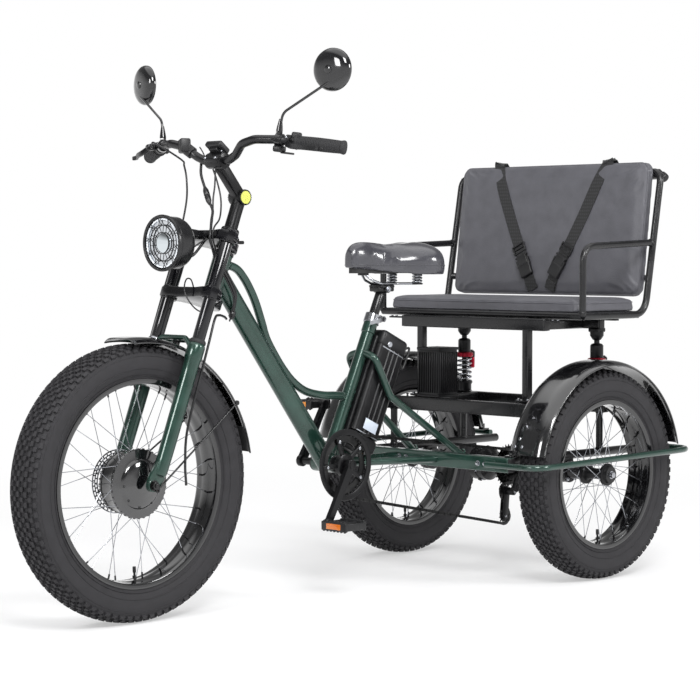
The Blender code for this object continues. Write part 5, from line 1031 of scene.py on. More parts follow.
def crown_outline():
    """A crown seen along the steering axis: two round clamps, a waisted bridge and a rounded tail."""
    half = [(FORK_AHEAD + 0.016, 0.03), (FORK_AHEAD + 0.0225, 0.062), (FORK_AHEAD + 0.0235, 0.08),
        (FORK_AHEAD + 0.017, 0.097), (FORK_AHEAD, 0.1038), (FORK_AHEAD - 0.016, 0.098),
        (FORK_AHEAD - 0.0235, 0.083), (FORK_AHEAD - 0.03, 0.062), (0.018, 0.038), (-0.008, 0.03),
        (-0.022, 0.024), (-0.03, 0.012)]
    return half + [(ahead, -across) for ahead, across in reversed(half)]


crowns, stanchions, pinch = [], [], []
for rise in (LOWER_CROWN, UPPER_CROWN):
    outline = [steered(ahead, across, rise) for ahead, across in crown_outline()]
    crowns.append(plate(outline, STEER_UP * CROWN_THICKNESS, soft=0.0032))
    for side in BOTH:
        middle = on_leg(side, rise)
        crowns.append(band(middle, STEER_UP * 0.0165, 0.0215, 0.0165, 36, soft=0.0015))
        for up in (-0.006, 0.006):
            head = steered(FORK_AHEAD - 0.0225, (FORK_HALF_SPREAD + 0.008) * side, rise + up)
            pinch += bolt(head, -STEER_AHEAD, 0.0038, 0.0034)
    pinch += bolt(steered(-0.029, 0.0, rise), -STEER_AHEAD, 0.0042, 0.0036)
for side in BOTH:
    foot = on_leg(side, LEG_TOP + 0.001)
    top = on_leg(side, UPPER_CROWN + CROWN_THICKNESS / 2 + 0.0025)
    stanchions.append(rod(foot, top, 0.016, 40, soft=0.001))
    crowns.append(turned(top, STEER_UP,
        [(0.0, 0.0168), (0.0028, 0.0168), (0.004, 0.0155), (0.0042, 0.008), (0.003, 0.0072), (0.003, 0.002)],
        36))
stanchions.append(rod(steered(0.0, 0.0, LOWER_CROWN), steered(0.0, 0.0, UPPER_CROWN), 0.0143, 32))
piece("fork_uppers", crowns + stanchions, black_chrome, "steering", ["fork_uppers"])
piece("crown_bolts", pinch, plated_steel, "steering")

# %% [markdown]
# ## Brake caliper
# A cable caliper sits outboard of the disc on a bracket behind the right leg: a cast half with two pad
# recesses, an actuating arm and the cable's clamp screw.

# %% Caliper
CALIPER_TURN = 165.0
# Outboard of the disc: half its thickness, the gap, and half the caliper.
CALIPER_SIDE = -(0.055 + 0.001 + 0.005 + 0.008)
caliper_out = way_at(CALIPER_TURN)
caliper_up = caliper_out.cross(-Y_AXIS)
caliper_mid = round_wheel(FRONT_AXLE, DISC_RADIUS, CALIPER_TURN, CALIPER_SIDE)
caliper_rise = (caliper_mid - STEER_FOOT).dot(STEER_UP)
caliper = [block(caliper_mid, (0.04, 0.0155, 0.046), caliper_out, caliper_up, soft=0.004),
    rod(caliper_mid - Y_AXIS * 0.0075, caliper_mid - Y_AXIS * 0.0125, 0.012, 32, soft=0.0012),
    block(caliper_mid - Y_AXIS * 0.0125 + caliper_up * 0.006, (0.01, 0.004, 0.03), caliper_out, caliper_up,
    soft=0.0012), rod(caliper_mid, steered(FORK_AHEAD - 0.018, -FORK_HALF_SPREAD, caliper_rise), 0.0052, 20),
    block(steered(FORK_AHEAD - 0.0205, -FORK_HALF_SPREAD, caliper_rise), (0.006, 0.018, 0.036), STEER_AHEAD,
    STEER_UP, soft=0.0015)]
caliper_screws = bolt(caliper_mid - Y_AXIS * 0.0145, -Y_AXIS, 0.004, 0.003)
for along in (-0.014, 0.014):
    caliper_screws += bolt(caliper_mid - Y_AXIS * 0.0077 + caliper_out * along - caliper_up * 0.015, -Y_AXIS,
        0.0032)
piece("front_caliper", caliper, black_anodised, "steering", ["front_caliper"])
piece("front_caliper_screws", caliper_screws, plated_steel, "steering")

# %% [markdown]
# ## Folding stem
# The stem is an adjustable one: a collar with a quick-release lever on the upper crown, a thick riser, a
# toothed pivot with a plain yellow cap on each side, and a forged arm whose four-bolt faceplate holds the
# handlebar.

# %% Stem
stem_pivot = steered(0.0, 0.0, STEM_PIVOT)
stem_clamp = steered(STEM_ARM[0], 0.0, STEM_PIVOT + STEM_ARM[1])
stem_base = UPPER_CROWN + CROWN_THICKNESS / 2 + TOUCH_GAP
arm = stem_clamp - stem_pivot
arm_along = arm.normalized()
arm_up = arm_along.cross(Y_AXIS).normalized()
if arm_up.z < 0:
    arm_up = -arm_up
foot = steered(0.0, 0.0, stem_base)
RISER_OUTLINE = ((0.0, 0.0225), (0.001, 0.024), (0.03, 0.024), (0.034, 0.0225), (0.036, 0.0175),
    (0.075, 0.017), (0.105, 0.0175), (0.117, 0.019))
stem = [turned(foot, STEER_UP, RISER_OUTLINE, 40), pin(stem_pivot, Y_AXIS * 0.0225, 0.0205, 40, soft=0.002),
    block(stem_pivot + arm * 0.44, (arm.length * 0.86, 0.032, 0.029), arm_along, arm_up, soft=0.008, steps=4),
    pin(stem_clamp, Y_AXIS * 0.03, 0.0205, 40, soft=0.002)]
faceplate = stem_clamp + arm_along * 0.0125
stem.append(block(faceplate, (0.016, 0.052, 0.038), arm_along, arm_up, soft=0.004))
stem_bolts = []
for across in (-0.019, 0.019):
    for up in (-0.0145, 0.0145):
        head = faceplate + arm_along * 0.008 + Y_AXIS * across + arm_up * up
        stem_bolts += bolt(head, arm_along, 0.004, 0.0032)
stem_bolts += bolt(steered(-0.0235, 0.0, stem_base + 0.022), -STEER_AHEAD, 0.0042)
for side in BOTH:
    for place, outward in ring_of(stem_pivot + Y_AXIS * side * 0.0222, Y_AXIS, 0.0188, 28):
        stem.append(block(place, (0.0022, 0.0036, 0.0022), outward, Y_AXIS.cross(outward), soft=0.0))
lever_root = steered(-0.024, 0.0, stem_base + 0.014)
stem.append(rod(lever_root + Y_AXIS * 0.01, lever_root - Y_AXIS * 0.01, 0.0062, 24, soft=0.001))
stem.append(pipe(flowing([lever_root, lever_root - STEER_AHEAD * 0.012 - Z_AXIS * 0.002,
    lever_root - STEER_AHEAD * 0.03 + Z_AXIS * 0.004]), 0.0045, 16))
piece("stem", stem, black_anodised, "steering", ["stem"])
piece("stem_bolts", stem_bolts, plated_steel, "steering")
caps = [turned(stem_pivot + Y_AXIS * side * 0.0225, Y_AXIS * side,
    [(0.0, 0.0165), (0.0012, 0.0165), (0.0018, 0.0158), (0.0018, 0.007), (0.001, 0.0062), (0.001, 0.001)], 40)
    for side in BOTH]
piece("stem_caps", caps, pivot_yellow, "steering")

# %% [markdown]
# ## Handlebar and what it carries
# The bar is one swept steel tube, bent up from the stem and back to the rider. Each end has a ribbed rubber
# grip, a brake lever on a pinched clamp, and a switch pod. A closed display sits on the stem, its screen
# towards the rider.

# %% Handlebar and grips
BAR_RADIUS, BAR_HALF, BAR_RISE, BAR_AHEAD, BAR_BACK = 0.0111, 0.369, 0.048, 0.018, 0.086
BAR_SHARES = ((0.0, 0.0, 0.0), (0.12, 0.0, 0.0), (0.2, 0.25, 0.2), (0.3, 0.8, 0.9), (0.43, 1.0, 0.95))
BAR_SWEEP_SHARES = ((0.58, 0.96, 0.2), (1.0, 0.5, 1.0))


def bar_point(out, ahead, rise):
    """A corner of the bar; out and rise are shares, ahead is in metres."""
    return stem_clamp + Vector((ahead, out * BAR_HALF, BAR_RISE * rise))


def bar_path(side):
    """The corners of one half of the bar, from the middle outward."""
    path = [bar_point(out * side, BAR_AHEAD * ahead, rise) for out, rise, ahead in BAR_SHARES]
    return path + [bar_point(out * side, BAR_AHEAD - (BAR_AHEAD + BAR_BACK) * back, rise)
        for out, rise, back in BAR_SWEEP_SHARES]


def bar_axes(side):
    """Outward, ahead and upward at the straight outer part of the bar."""
    path = bar_path(side)
    outward = (path[-1] - path[-2]).normalized()
    ahead = (outward.cross(Z_AXIS) * side).normalized()
    return outward, ahead, outward.cross(ahead) * -side


def bar_place(side, share):
    """A place on the straight outer part, counted from the bar's end."""
    path = bar_path(side)
    return path[-1] + (path[-2] - path[-1]) * share


bar = pipe(bent(list(reversed(bar_path(RIGHT))) + bar_path(LEFT)[1:], 0.045, 8), BAR_RADIUS, 24)
piece("handlebar", [bar], black_powder, "steering", ["handlebar"])
GRIP_LENGTH, GRIP_END, GRIP_RIBS = 0.125, 0.005, 26
for word, side in SIDES:
    outward, ahead, upward = bar_axes(side)
    start = bar_path(side)[-1] - outward * GRIP_LENGTH
    length = GRIP_LENGTH + GRIP_END
    outline = [(0.0, 0.012), (0.0, 0.0185), (0.004, 0.0195), (0.006, 0.0185), (0.007, 0.0162)]
    for rib in range(GRIP_RIBS):
        low = 0.009 + (length - 0.02) * rib / GRIP_RIBS
        step = (length - 0.02) / GRIP_RIBS
        swell = 0.016 + 0.0012 * math.sin(math.pi * rib / GRIP_RIBS)
        outline += [(low, swell - 0.0008), (low + step * 0.2, swell), (low + step * 0.75, swell),
            (low + step * 0.95, swell - 0.0008)]
    outline += [(length - 0.01, 0.0168), (length - 0.004, 0.0178), (length - 0.001, 0.0165), (length, 0.012)]
    piece("grip_" + word, [turned(start, outward, outline, 32)], grip_rubber, "steering", ["grip_" + word])

# %% [markdown]
# A brake lever is a forged blade with a ball end on a pivot block. Its flat, tapering strip follows a curve.
# The switches are small moulded boxes on clamps, and the display tilts to the rider.

# %% Levers, switches and display


def ribbon(path, width, thickness, face, soft=0.0):
    """A flat strip along a path; face is where its flat side looks, and width may taper point by point."""
    form = bmesh.new()
    rings = []
    for index, point in enumerate(path):
        tangent = (path[min(index + 1, len(path) - 1)] - path[max(index - 1, 0)]).normalized()
        normal = (face - tangent * face.dot(tangent)).normalized()
        across = tangent.cross(normal)
        wide = width[index] if isinstance(width, (list, tuple)) else width
        rings.append([form.verts.new(point + across * wide / 2 * a + normal * thickness / 2 * b)
            for a, b in ((1, 1), (-1, 1), (-1, -1), (1, -1))])
    for one, two in zip(rings, rings[1:]):
        for corner in range(4):
            form.faces.new((one[corner], one[(corner + 1) % 4], two[(corner + 1) % 4], two[corner]))
    form.faces.new(rings[0])
    form.faces.new(list(reversed(rings[-1])))
    if soft:
        long_edges = [edge for edge in form.edges if len(edge.link_faces) == 2
            and edge.calc_face_angle(0.0) > 1.2]
        bmesh.ops.bevel(form, geom=long_edges, offset=soft, segments=2, profile=0.5, affect="EDGES")
    return form


LEVER_SHARE, SHIFTER_SHARE, BELL_SHARE, THROTTLE_SHARE, MIRROR_SHARE = 0.8, 0.93, 0.7, 0.68, 0.96
for word, side in SIDES:
    outward, ahead, upward = bar_axes(side)
    place = bar_place(side, LEVER_SHARE)
    perch = place + ahead * 0.027
    tip = place + ahead * 0.048 - upward * 0.012
    lever = [band(place, outward * 0.0075, 0.0158, BAR_RADIUS, 36, soft=0.0012),
        block(perch, (0.026, 0.022, 0.015), ahead, upward, soft=0.0035),
        rod(perch - outward * 0.011, perch - outward * 0.03 + ahead * 0.004, 0.0058, 20, soft=0.0008),
        rod(perch - outward * 0.03 + ahead * 0.004, perch - outward * 0.036 + ahead * 0.005, 0.0042, 20)]
    blade_path = flowing([perch + ahead * 0.004, tip + outward * 0.02, tip + outward * 0.055 + ahead * 0.003,
        tip + outward * 0.088, tip + outward * 0.101 + ahead * 0.004], 6)
    count = len(blade_path)
    widths = [0.0135 - 0.0035 * index / count for index in range(count)]
    blade = [ribbon(blade_path, widths, 0.0062, ahead, soft=0.002),
        rod(blade_path[-1] - upward * 0.005, blade_path[-1] + upward * 0.005, 0.0055, 24, soft=0.0015)]
    piece("brake_lever_" + word, lever + blade, black_anodised, "steering", ["brake_lever_" + word])
    screws = bolt(perch + upward * 0.0078, upward, 0.0036, 0.003) + bolt(place - ahead * 0.015, -ahead,
        0.0034, 0.003)
    piece("brake_lever_screws_" + word, screws, plated_steel, "steering")

pods = []
outward, ahead, upward = bar_axes(LEFT)
shifter_clamp, bell_clamp = bar_place(LEFT, SHIFTER_SHARE), bar_place(LEFT, BELL_SHARE)
shifter = shifter_clamp - upward * 0.012
pods += [band(shifter_clamp, outward * 0.008, 0.0155, BAR_RADIUS, 32),
    block(shifter - upward * 0.01, (0.034, 0.026, 0.016), ahead, upward, soft=0.005),
    block(shifter - upward * 0.018 + outward * 0.022, (0.012, 0.034, 0.005), ahead, upward, soft=0.002),
    block(bell_clamp + upward * 0.014, (0.026, 0.022, 0.02), ahead, upward, soft=0.005),
    band(bell_clamp, outward * 0.009, 0.015, BAR_RADIUS, 32)]
outward, ahead, upward = bar_axes(RIGHT)
throttle = bar_place(RIGHT, THROTTLE_SHARE)
inner, outer = bar_path(RIGHT)[2:4]
box_place, box_along = inner.lerp(outer, 0.55), (outer - inner).normalized()
pods += [band(throttle, outward * 0.012, 0.0165, BAR_RADIUS, 32),
    block(throttle - ahead * 0.016 - upward * 0.006, (0.018, 0.018, 0.012), ahead, upward, soft=0.004),
    block(box_place + ahead * 0.014 + upward * 0.014, (0.028, 0.034, 0.036), ahead, upward, soft=0.005),
    band(box_place, box_along * 0.01, 0.0158, BAR_RADIUS, 32)]
piece("switch_pods", pods, black_abs, "steering")

screen_mid = stem_clamp + Z_AXIS * 0.0335
screen_tilt = math.radians(38.0)
screen_up = Z_AXIS * math.cos(screen_tilt) - X_AXIS * math.sin(screen_tilt)
screen_along = Z_AXIS.cross(Y_AXIS) * -math.cos(screen_tilt) + Z_AXIS * math.sin(screen_tilt)
piece("display", [block(screen_mid, (0.04, 0.058, 0.0155), screen_along, screen_up, soft=0.005, steps=4),
    block(screen_mid - screen_up * 0.01, (0.022, 0.03, 0.012), screen_along, screen_up, soft=0.002)],
    black_abs, "steering", ["display"])
piece("display_screen", [block(screen_mid + screen_up * 0.0075, (0.029, 0.044, 0.0018), screen_along,
    screen_up, soft=0.0008)], screen_glass, "steering")

# %% [markdown]
# ## Mirrors
# Each mirror is a moulded shell on a bent steel stem that screws into a clamp on the bar. The shell is turned
# from its rim to the domed back; the glass faces the rider.

# %% Mirrors
MIRROR_X, MIRROR_SIDE, MIRROR_Z, MIRROR_TURN = 1.025, 0.358, 1.355, math.radians(13.0)
SHELL_OUTLINE = ((-0.011, 0.049), (-0.0125, 0.05), (-0.0122, 0.052), (-0.01, 0.053), (-0.004, 0.0528),
    (0.002, 0.05), (0.007, 0.044), (0.0105, 0.034), (0.0125, 0.021), (0.0132, 0.008))
for word, side in SIDES:
    head = at(MIRROR_X, MIRROR_SIDE * side, MIRROR_Z)
    facing = Vector((math.cos(MIRROR_TURN), math.sin(MIRROR_TURN) * side, 0.0))
    outward, ahead, upward = bar_axes(side)
    place = bar_place(side, MIRROR_SHARE)
    base = place + upward * 0.0138
    path = [base, base + upward * 0.048 + (head - base) * 0.03, head + facing * 0.008 - Z_AXIS * 0.03]
    stalk = [pipe(bent(path, 0.03, 8), 0.0033, 16),
        rod(base - upward * 0.002, base + upward * 0.008, 0.0085, 6, soft=0.0008),
        turned(base + upward * 0.008, upward, [(0.0, 0.0088), (0.012, 0.0072), (0.03, 0.004)], 24),
        band(place, outward * 0.0072, 0.0162, BAR_RADIUS, 32, soft=0.001)]
    shell = [turned(head, facing, SHELL_OUTLINE, 56),
        turned(head + facing * 0.012, facing, [(0.0, 0.011), (0.003, 0.01), (0.005, 0.006)], 28)]
    piece("mirror_" + word, stalk + shell, gloss_abs, "steering", ["mirror_" + word])
    glass = [turned(head - facing * 0.0112, -facing,
        [(-0.001, 0.0485), (0.0, 0.048), (0.0006, 0.03), (0.0008, 0.0)], 56)]
    piece("mirror_glass_" + word, glass, mirror_glass, "steering")

# %% [markdown]
# ## Headlight
# The lamp is a drum of cast aluminium with a ribbed back, a front ring, a silvered bowl with a projector in
# its middle, a black guard of rings and bars before it, and a light guide round the rim.

# %% Lamp
LAMP_FOOT = at(1.19, 0.0, 0.933)
DRUM = ((0.0, 0.03), (0.002, 0.036), (0.01, 0.052), (0.014, 0.0575), (0.016, 0.0562), (0.018, 0.0605),
    (0.03, 0.0655), (0.06, 0.0672), (0.062, 0.0655), (0.064, 0.066), (0.065, 0.07), (0.073, 0.071),
    (0.076, 0.07), (0.0765, 0.0665), (0.0745, 0.064), (0.066, 0.0635), (0.066, 0.02))
piece("headlight", [turned(LAMP_FOOT, X_AXIS, DRUM, 72)], black_powder, "steering", ["headlight"])
BOWL = ((0.0665, 0.063), (0.0685, 0.06), (0.068, 0.05), (0.0675, 0.03), (0.068, 0.0255))
piece("lamp_bowl", [turned(LAMP_FOOT, X_AXIS, BOWL, 64)], lamp_silver, "steering")
guide = [turned(LAMP_FOOT, X_AXIS, [(0.069, 0.0575), (0.0715, 0.058), (0.0715, 0.0615), (0.069, 0.062)], 72,
    closed=True)]
piece("lamp_light_guide", guide, lamp_white, "steering")
guard = []
for radius in (0.0265, 0.045):
    guard.append(turned(LAMP_FOOT, X_AXIS,
        [(0.0715, radius - 0.001), (0.074, radius - 0.001), (0.074, radius + 0.001),
        (0.0715, radius + 0.001)], 56, closed=True))
for place, outward in ring_of(LAMP_FOOT + X_AXIS * 0.0726, X_AXIS, 0.0357, 10, 0.16):
    guard.append(block(place, (0.0185, 0.0014, 0.002), outward, X_AXIS, soft=0.0004, steps=1))
for place, outward in ring_of(LAMP_FOOT + X_AXIS * 0.0726, X_AXIS, 0.0535, 10, 0.16 + math.tau / 20):
    sweep = outward.cross(X_AXIS) * 0.62
    guard.append(block(place, (0.0205, 0.0014, 0.002), outward + sweep, X_AXIS, soft=0.0004, steps=1))
    guard.append(block(place, (0.0205, 0.0014, 0.002), outward - sweep, X_AXIS, soft=0.0004, steps=1))
piece("lamp_guard", guard, black_abs, "steering")
projector = [turned(LAMP_FOOT, X_AXIS, [(0.068, 0.0252), (0.0715, 0.024), (0.0742, 0.016), (0.0752, 0.0)],
    48)]
piece("headlight_lens", projector, mirror_glass, "steering", ["headlight_lens"])

bracket_face = steered(FORK_AHEAD + CROWN_REACH, 0.0, UPPER_CROWN - CROWN_THICKNESS / 4)
bracket = [rod(bracket_face - X_AXIS * 0.003, LAMP_FOOT + Vector((0.002, 0.0, bracket_face.z - LAMP_FOOT.z)),
    0.009, 28), block(bracket_face + STEER_AHEAD * 0.0028, (0.005, 0.044, 0.022), STEER_AHEAD, STEER_UP,
    soft=0.0012)]
for side in BOTH:
    crown_spot = steered(FORK_AHEAD + CROWN_REACH - 0.002, 0.024 * side, UPPER_CROWN - 0.004)
    lamp_spot = LAMP_FOOT + Vector((0.012, 0.03 * side, 0.03))
    bracket.append(ribbon(flowing([crown_spot, crown_spot + X_AXIS * 0.02 + Z_AXIS * 0.004, lamp_spot], 5),
        0.014, 0.004, Y_AXIS, soft=0.0008))
    low_spot = steered(FORK_AHEAD + CROWN_REACH - 0.004, 0.024 * side, UPPER_CROWN - 0.012)
    bracket.append(pipe(flowing([low_spot, LAMP_FOOT + Vector((-0.012, 0.024 * side, -0.028)),
        LAMP_FOOT + Vector((0.012, 0.026 * side, -0.034))], 6), 0.0035, 12))
piece("headlight_bracket", bracket, black_powder, "steering", ["headlight_bracket"])
bracket_bolts = []
for side in BOTH:
    bracket_bolts += bolt(bracket_face + STEER_AHEAD * 0.0053 + Y_AXIS * side * 0.017, STEER_AHEAD, 0.0036)
piece("headlight_bolts", bracket_bolts, plated_steel, "steering")

# %% [markdown]
# ## Front fender
# A strip of steel rolled to an arch, its edges turned down and its rim beaded. It hangs under the fork's arch
# and on two thin stays from the dropouts; the last part behind the wheel is a rubber flap.

# %% Front fender


def fender_skin(centre, radius, half, start, end, steps, thickness=0.0022, drop=0.012):
    """A rolled sheet with turned-down edges and a bead along each."""
    spoke = way_at(start)
    inside = []
    for step in range(19):
        wide = -1.0 + 2.0 * step / 18
        inside.append(centre + spoke * (radius + 0.0006 - drop * abs(wide) ** 4.5) + Y_AXIS * wide * half)
    section = inside + [point + spoke * thickness for point in reversed(inside)]
    forms = [spun_sheet(section, centre, -Y_AXIS, end - start, steps)]
    for side in BOTH:
        edge = [round_wheel(centre, radius - drop + 0.001, start + (end - start) * step / steps, half * side)
            for step in range(steps + 1)]
        forms.append(pipe(edge, 0.0021, 10))
    return forms


FENDER_RADIUS, FENDER_HALF = 0.358, 0.057
piece("front_fender", fender_skin(FRONT_AXLE, FENDER_RADIUS, FENDER_HALF, 84.0, 160.0, 56), gloss_enamel,
    "steering", ["front_fender"])
piece("front_flap", fender_skin(FRONT_AXLE, FENDER_RADIUS + 0.0012, FENDER_HALF - 0.0008, 157.5, 171.0, 12),
    black_abs, "steering")
stays = []
for side in BOTH:
    foot = FRONT_AXLE + Y_AXIS * side * (FORK_HALF_SPREAD + 0.0092) - STEER_UP * 0.0077 - STEER_AHEAD * 0.013
    edge = round_wheel(FRONT_AXLE, FENDER_RADIUS - 0.008, 148.0, (FENDER_HALF + 0.0018) * side)
    stays.append(pipe([foot, foot + (edge - foot) * 0.96, edge], 0.0024, 14))
    stays.append(pin(edge, Y_AXIS * side * 0.003, 0.0062, 20, soft=0.0008))
    stays.append(band(foot, Y_AXIS * 0.0022, 0.0062, 0.003, 20))
tab_low, tab_high = FENDER_RADIUS + 0.002, LEG_TOP + 0.006
stays.append(block(steered(FORK_AHEAD, 0.0, (tab_low + tab_high) / 2), (0.009, 0.02, tab_high - tab_low),
    STEER_AHEAD, STEER_UP, soft=0.001))
piece("front_fender_stays", stays, black_powder, "steering")
rivets = []
for degrees in (152.0, 157.0, 160.5):
    spoke = way_at(degrees)
    for across in (-0.03, 0.03):
        rivets += bolt(round_wheel(FRONT_AXLE, FENDER_RADIUS + 0.0024, degrees, across), spoke, 0.004, 0.0024)
piece("front_fender_rivets", rivets, plated_steel, "steering")

# %% [markdown]
# ## Step-through frame
# The frame is welded from steel tube: a thick oval down tube, a thin top tube that swoops low for easy
# mounting, a seat tube, and stays that run back to the cross beam. Each joint carries a bead of weld under
# the green enamel.

# %% Tubes and welds
HEAD_RADIUS, SEAT_TUBE_RADIUS, TOP_TUBE_RADIUS, STAY_RADIUS = 0.024, 0.017, 0.011, 0.01
CROSS_X, CROSS_Z, CROSS_HALF, REAR_TIE_X = 0.33, 0.336, 0.342, 0.25
STAY_TOP, STAY_BEND, TOP_TUBE_END = 0.322, 0.322 * 0.74, 0.192
TOP_TUBE_SHARES = ((0.0, 0.0), (0.109, 0.045), (0.171, 0.042), (0.223, 0.018), (0.265, -0.016),
    (0.309, -0.073), (0.344, -0.122), (0.406, -0.157), (0.478, -0.183), (0.559, -0.193), (0.658, -0.176),
    (0.787, -0.118), (0.906, -0.05), (1.0, 0.0))


def weld(place, direction, radius):
    """A bead of weld round a tube where it meets another."""
    outline = [(-0.0026, radius - 0.002), (-0.0018, radius + 0.0009), (0.0, radius + 0.0017),
        (0.0018, radius + 0.0009), (0.0026, radius - 0.002)]
    return [turned(place, direction, outline, 40, closed=True)]


head_low = steered(0.0, 0.0, LOWER_CROWN + CROWN_THICKNESS / 2 + 0.002)
head_high = steered(0.0, 0.0, UPPER_CROWN - CROWN_THICKNESS / 2 - 0.002)
head_length = (head_high - head_low).length
head_middle = (head_low + head_high) / 2
tubes = [turned(head_low + STEER_UP * 0.008, STEER_UP,
    [(0.0, 0.0235), (0.001, 0.0248), (0.012, 0.0248), (0.014, HEAD_RADIUS), (head_length - 0.03, HEAD_RADIUS),
    (head_length - 0.028, 0.0248), (head_length - 0.017, 0.0248), (head_length - 0.016, 0.0235)], 40)]
tubes.append(rod(head_middle, CRANK_CENTRE, 0.023, 40, near=Y_AXIS, depth=0.028))
top_start = steered(0.0, 0.0, 0.61)
top_span = seat_line(TOP_TUBE_END) - top_start
top_path = [top_start + top_span * along + Z_AXIS * top_span.length * rise for along, rise in TOP_TUBE_SHARES]
tubes.append(pipe(flowing(top_path, 5), TOP_TUBE_RADIUS, 20))
tubes.append(turned(CRANK_CENTRE, SEAT_TUBE_UP,
    [(0.0, SEAT_TUBE_RADIUS), (0.378, SEAT_TUBE_RADIUS), (0.38, 0.0195),
    ((SEAT_TUBE_TOP - CRANK_CENTRE).length, 0.0195)], 32))
tubes.append(turned(CRANK_CENTRE - Y_AXIS * 0.036, Y_AXIS,
    [(0.0, 0.0225), (0.001, 0.024), (0.071, 0.024), (0.072, 0.0225)], 40))
tubes.append(rod(at(REAR_TIE_X, -0.106, CROSS_Z), at(REAR_TIE_X, 0.106, CROSS_Z), 0.012, 28, soft=0.001))
tubes.append(block(at(CROSS_X, 0.0, CROSS_Z), (0.03, CROSS_HALF * 2, 0.04), soft=0.004))
for side in BOTH:
    rear = at(REAR_TIE_X, 0.078 * side, CROSS_Z)
    lower = [CRANK_CENTRE + Y_AXIS * side * 0.026, at(CROSS_X, rear.y, CROSS_Z), rear]
    upper = [seat_line(STAY_TOP, 0.0, SEAT_TUBE_RADIUS / 2 * side), seat_line(0.312, 0.005, 0.051 * side),
        seat_line(STAY_BEND, 0.104, 0.051 * side), at(REAR_TIE_X, 0.092 * side, CROSS_Z + 0.005)]
    tubes.append(pipe(bent(lower, 0.045, 8), STAY_RADIUS, 20))
    tubes.append(pipe(bent(upper, 0.045, 8), STAY_RADIUS, 20))
gusset = [seat_line(0.024), seat_line(0.016, 0.01), seat_line(0.018) - X_AXIS * 0.088 - Z_AXIS * 0.002,
    seat_line(0.022) - X_AXIS * 0.08 + Z_AXIS * 0.004, seat_line(0.07)]
tubes.append(plate(gusset, Y_AXIS * 0.0075, soft=0.001))
down = (CRANK_CENTRE - head_middle).normalized()
beads = weld(CRANK_CENTRE - down * 0.034, down, 0.0265) + weld(seat_line(0.026), SEAT_TUBE_UP, 0.0175)
beads += weld(seat_line(TOP_TUBE_END) - (top_path[-1] - top_path[-2]).normalized() * 0.021,
    top_path[-1] - top_path[-2], TOP_TUBE_RADIUS)
beads += weld(top_start + (top_path[1] - top_path[0]).normalized() * 0.027, top_path[1] - top_path[0],
    TOP_TUBE_RADIUS)
for side in BOTH:
    beads += weld(at(REAR_TIE_X + 0.004, 0.078 * side, CROSS_Z), Y_AXIS, 0.0125)
    beads += weld(at(REAR_TIE_X, 0.092 * side, CROSS_Z + 0.014),
        seat_line(0.238, 0.104) - at(REAR_TIE_X, 0, CROSS_Z), STAY_RADIUS)
piece("main_frame", tubes + beads, green_enamel, "chassis", ["main_frame"])

# %% [markdown]
# Bearing cups close the head tube and the crank's shell, hexagon bolts hold the cross beam, and pressed
# plastic plugs close its open ends.

# %% Head cups, beam bolts and end plugs
cups = []
for place, up in ((head_low, 1.0), (head_high, -1.0)):
    cups.append(turned(place, STEER_UP * up,
        [(0.0, 0.0245), (0.001, 0.0262), (0.005, 0.0268), (0.0075, 0.0262), (0.008, 0.0245)], 40))
for side in BOTH:
    cups.append(turned(CRANK_CENTRE + Y_AXIS * side * 0.036, Y_AXIS * side,
        [(0.0, 0.0232), (0.005, 0.0232), (0.006, 0.021), (0.006, 0.012)], 32))
    cups.append(block(at(CROSS_X, (CROSS_HALF + 0.0012) * side, CROSS_Z), (0.028, 0.003, 0.038), soft=0.0012))
piece("frame_cups", cups, black_abs, "chassis")
beam_bolts = []
for across in (-0.262, -0.236, -0.06, -0.034, 0.034, 0.06, 0.236, 0.262):
    beam_bolts += hexagon(at(CROSS_X + 0.015, across, CROSS_Z), X_AXIS, 0.0058, 0.006)
piece("beam_bolts", beam_bolts, plated_steel, "chassis")

# %% [markdown]
# ## Side guards
# A loop of thin tube keeps each rear wheel off walls and legs. One bend in front, one behind, flattened ends
# bolted to the cross beam.

# %% Side guards
GUARD_RADIUS, GUARD_SIDE, GUARD_REAR_X, GUARD_RISE = 0.0085, 0.455, 0.332, 0.01
for word, side in SIDES:
    start_x = CROSS_X + 0.015 + TOUCH_GAP + GUARD_RADIUS
    rear_z = CROSS_Z + GUARD_RISE
    path = [at(start_x, (CROSS_HALF - 0.07) * side, CROSS_Z), at(start_x, GUARD_SIDE * side, CROSS_Z),
        at(-GUARD_REAR_X, GUARD_SIDE * side, rear_z), at(-GUARD_REAR_X, 0.311 * side, rear_z)]
    forms = [pipe(bent(path, 0.055, 10), GUARD_RADIUS, 20),
        block(at(start_x - GUARD_RADIUS + 0.002, (CROSS_HALF - 0.062) * side, CROSS_Z), (0.004, 0.04, 0.026),
        soft=0.001)]
    piece("side_guard_" + word, forms, green_enamel, "chassis", ["side_guard_" + word])

# %% [markdown]
# ## Rear carriage
# Two rails run back from the cross beam over the axle. Flanged bearings carry the axle tube, a finned gear
# case sits in the middle, and a welded platform of square tube carries the bench and the controller.

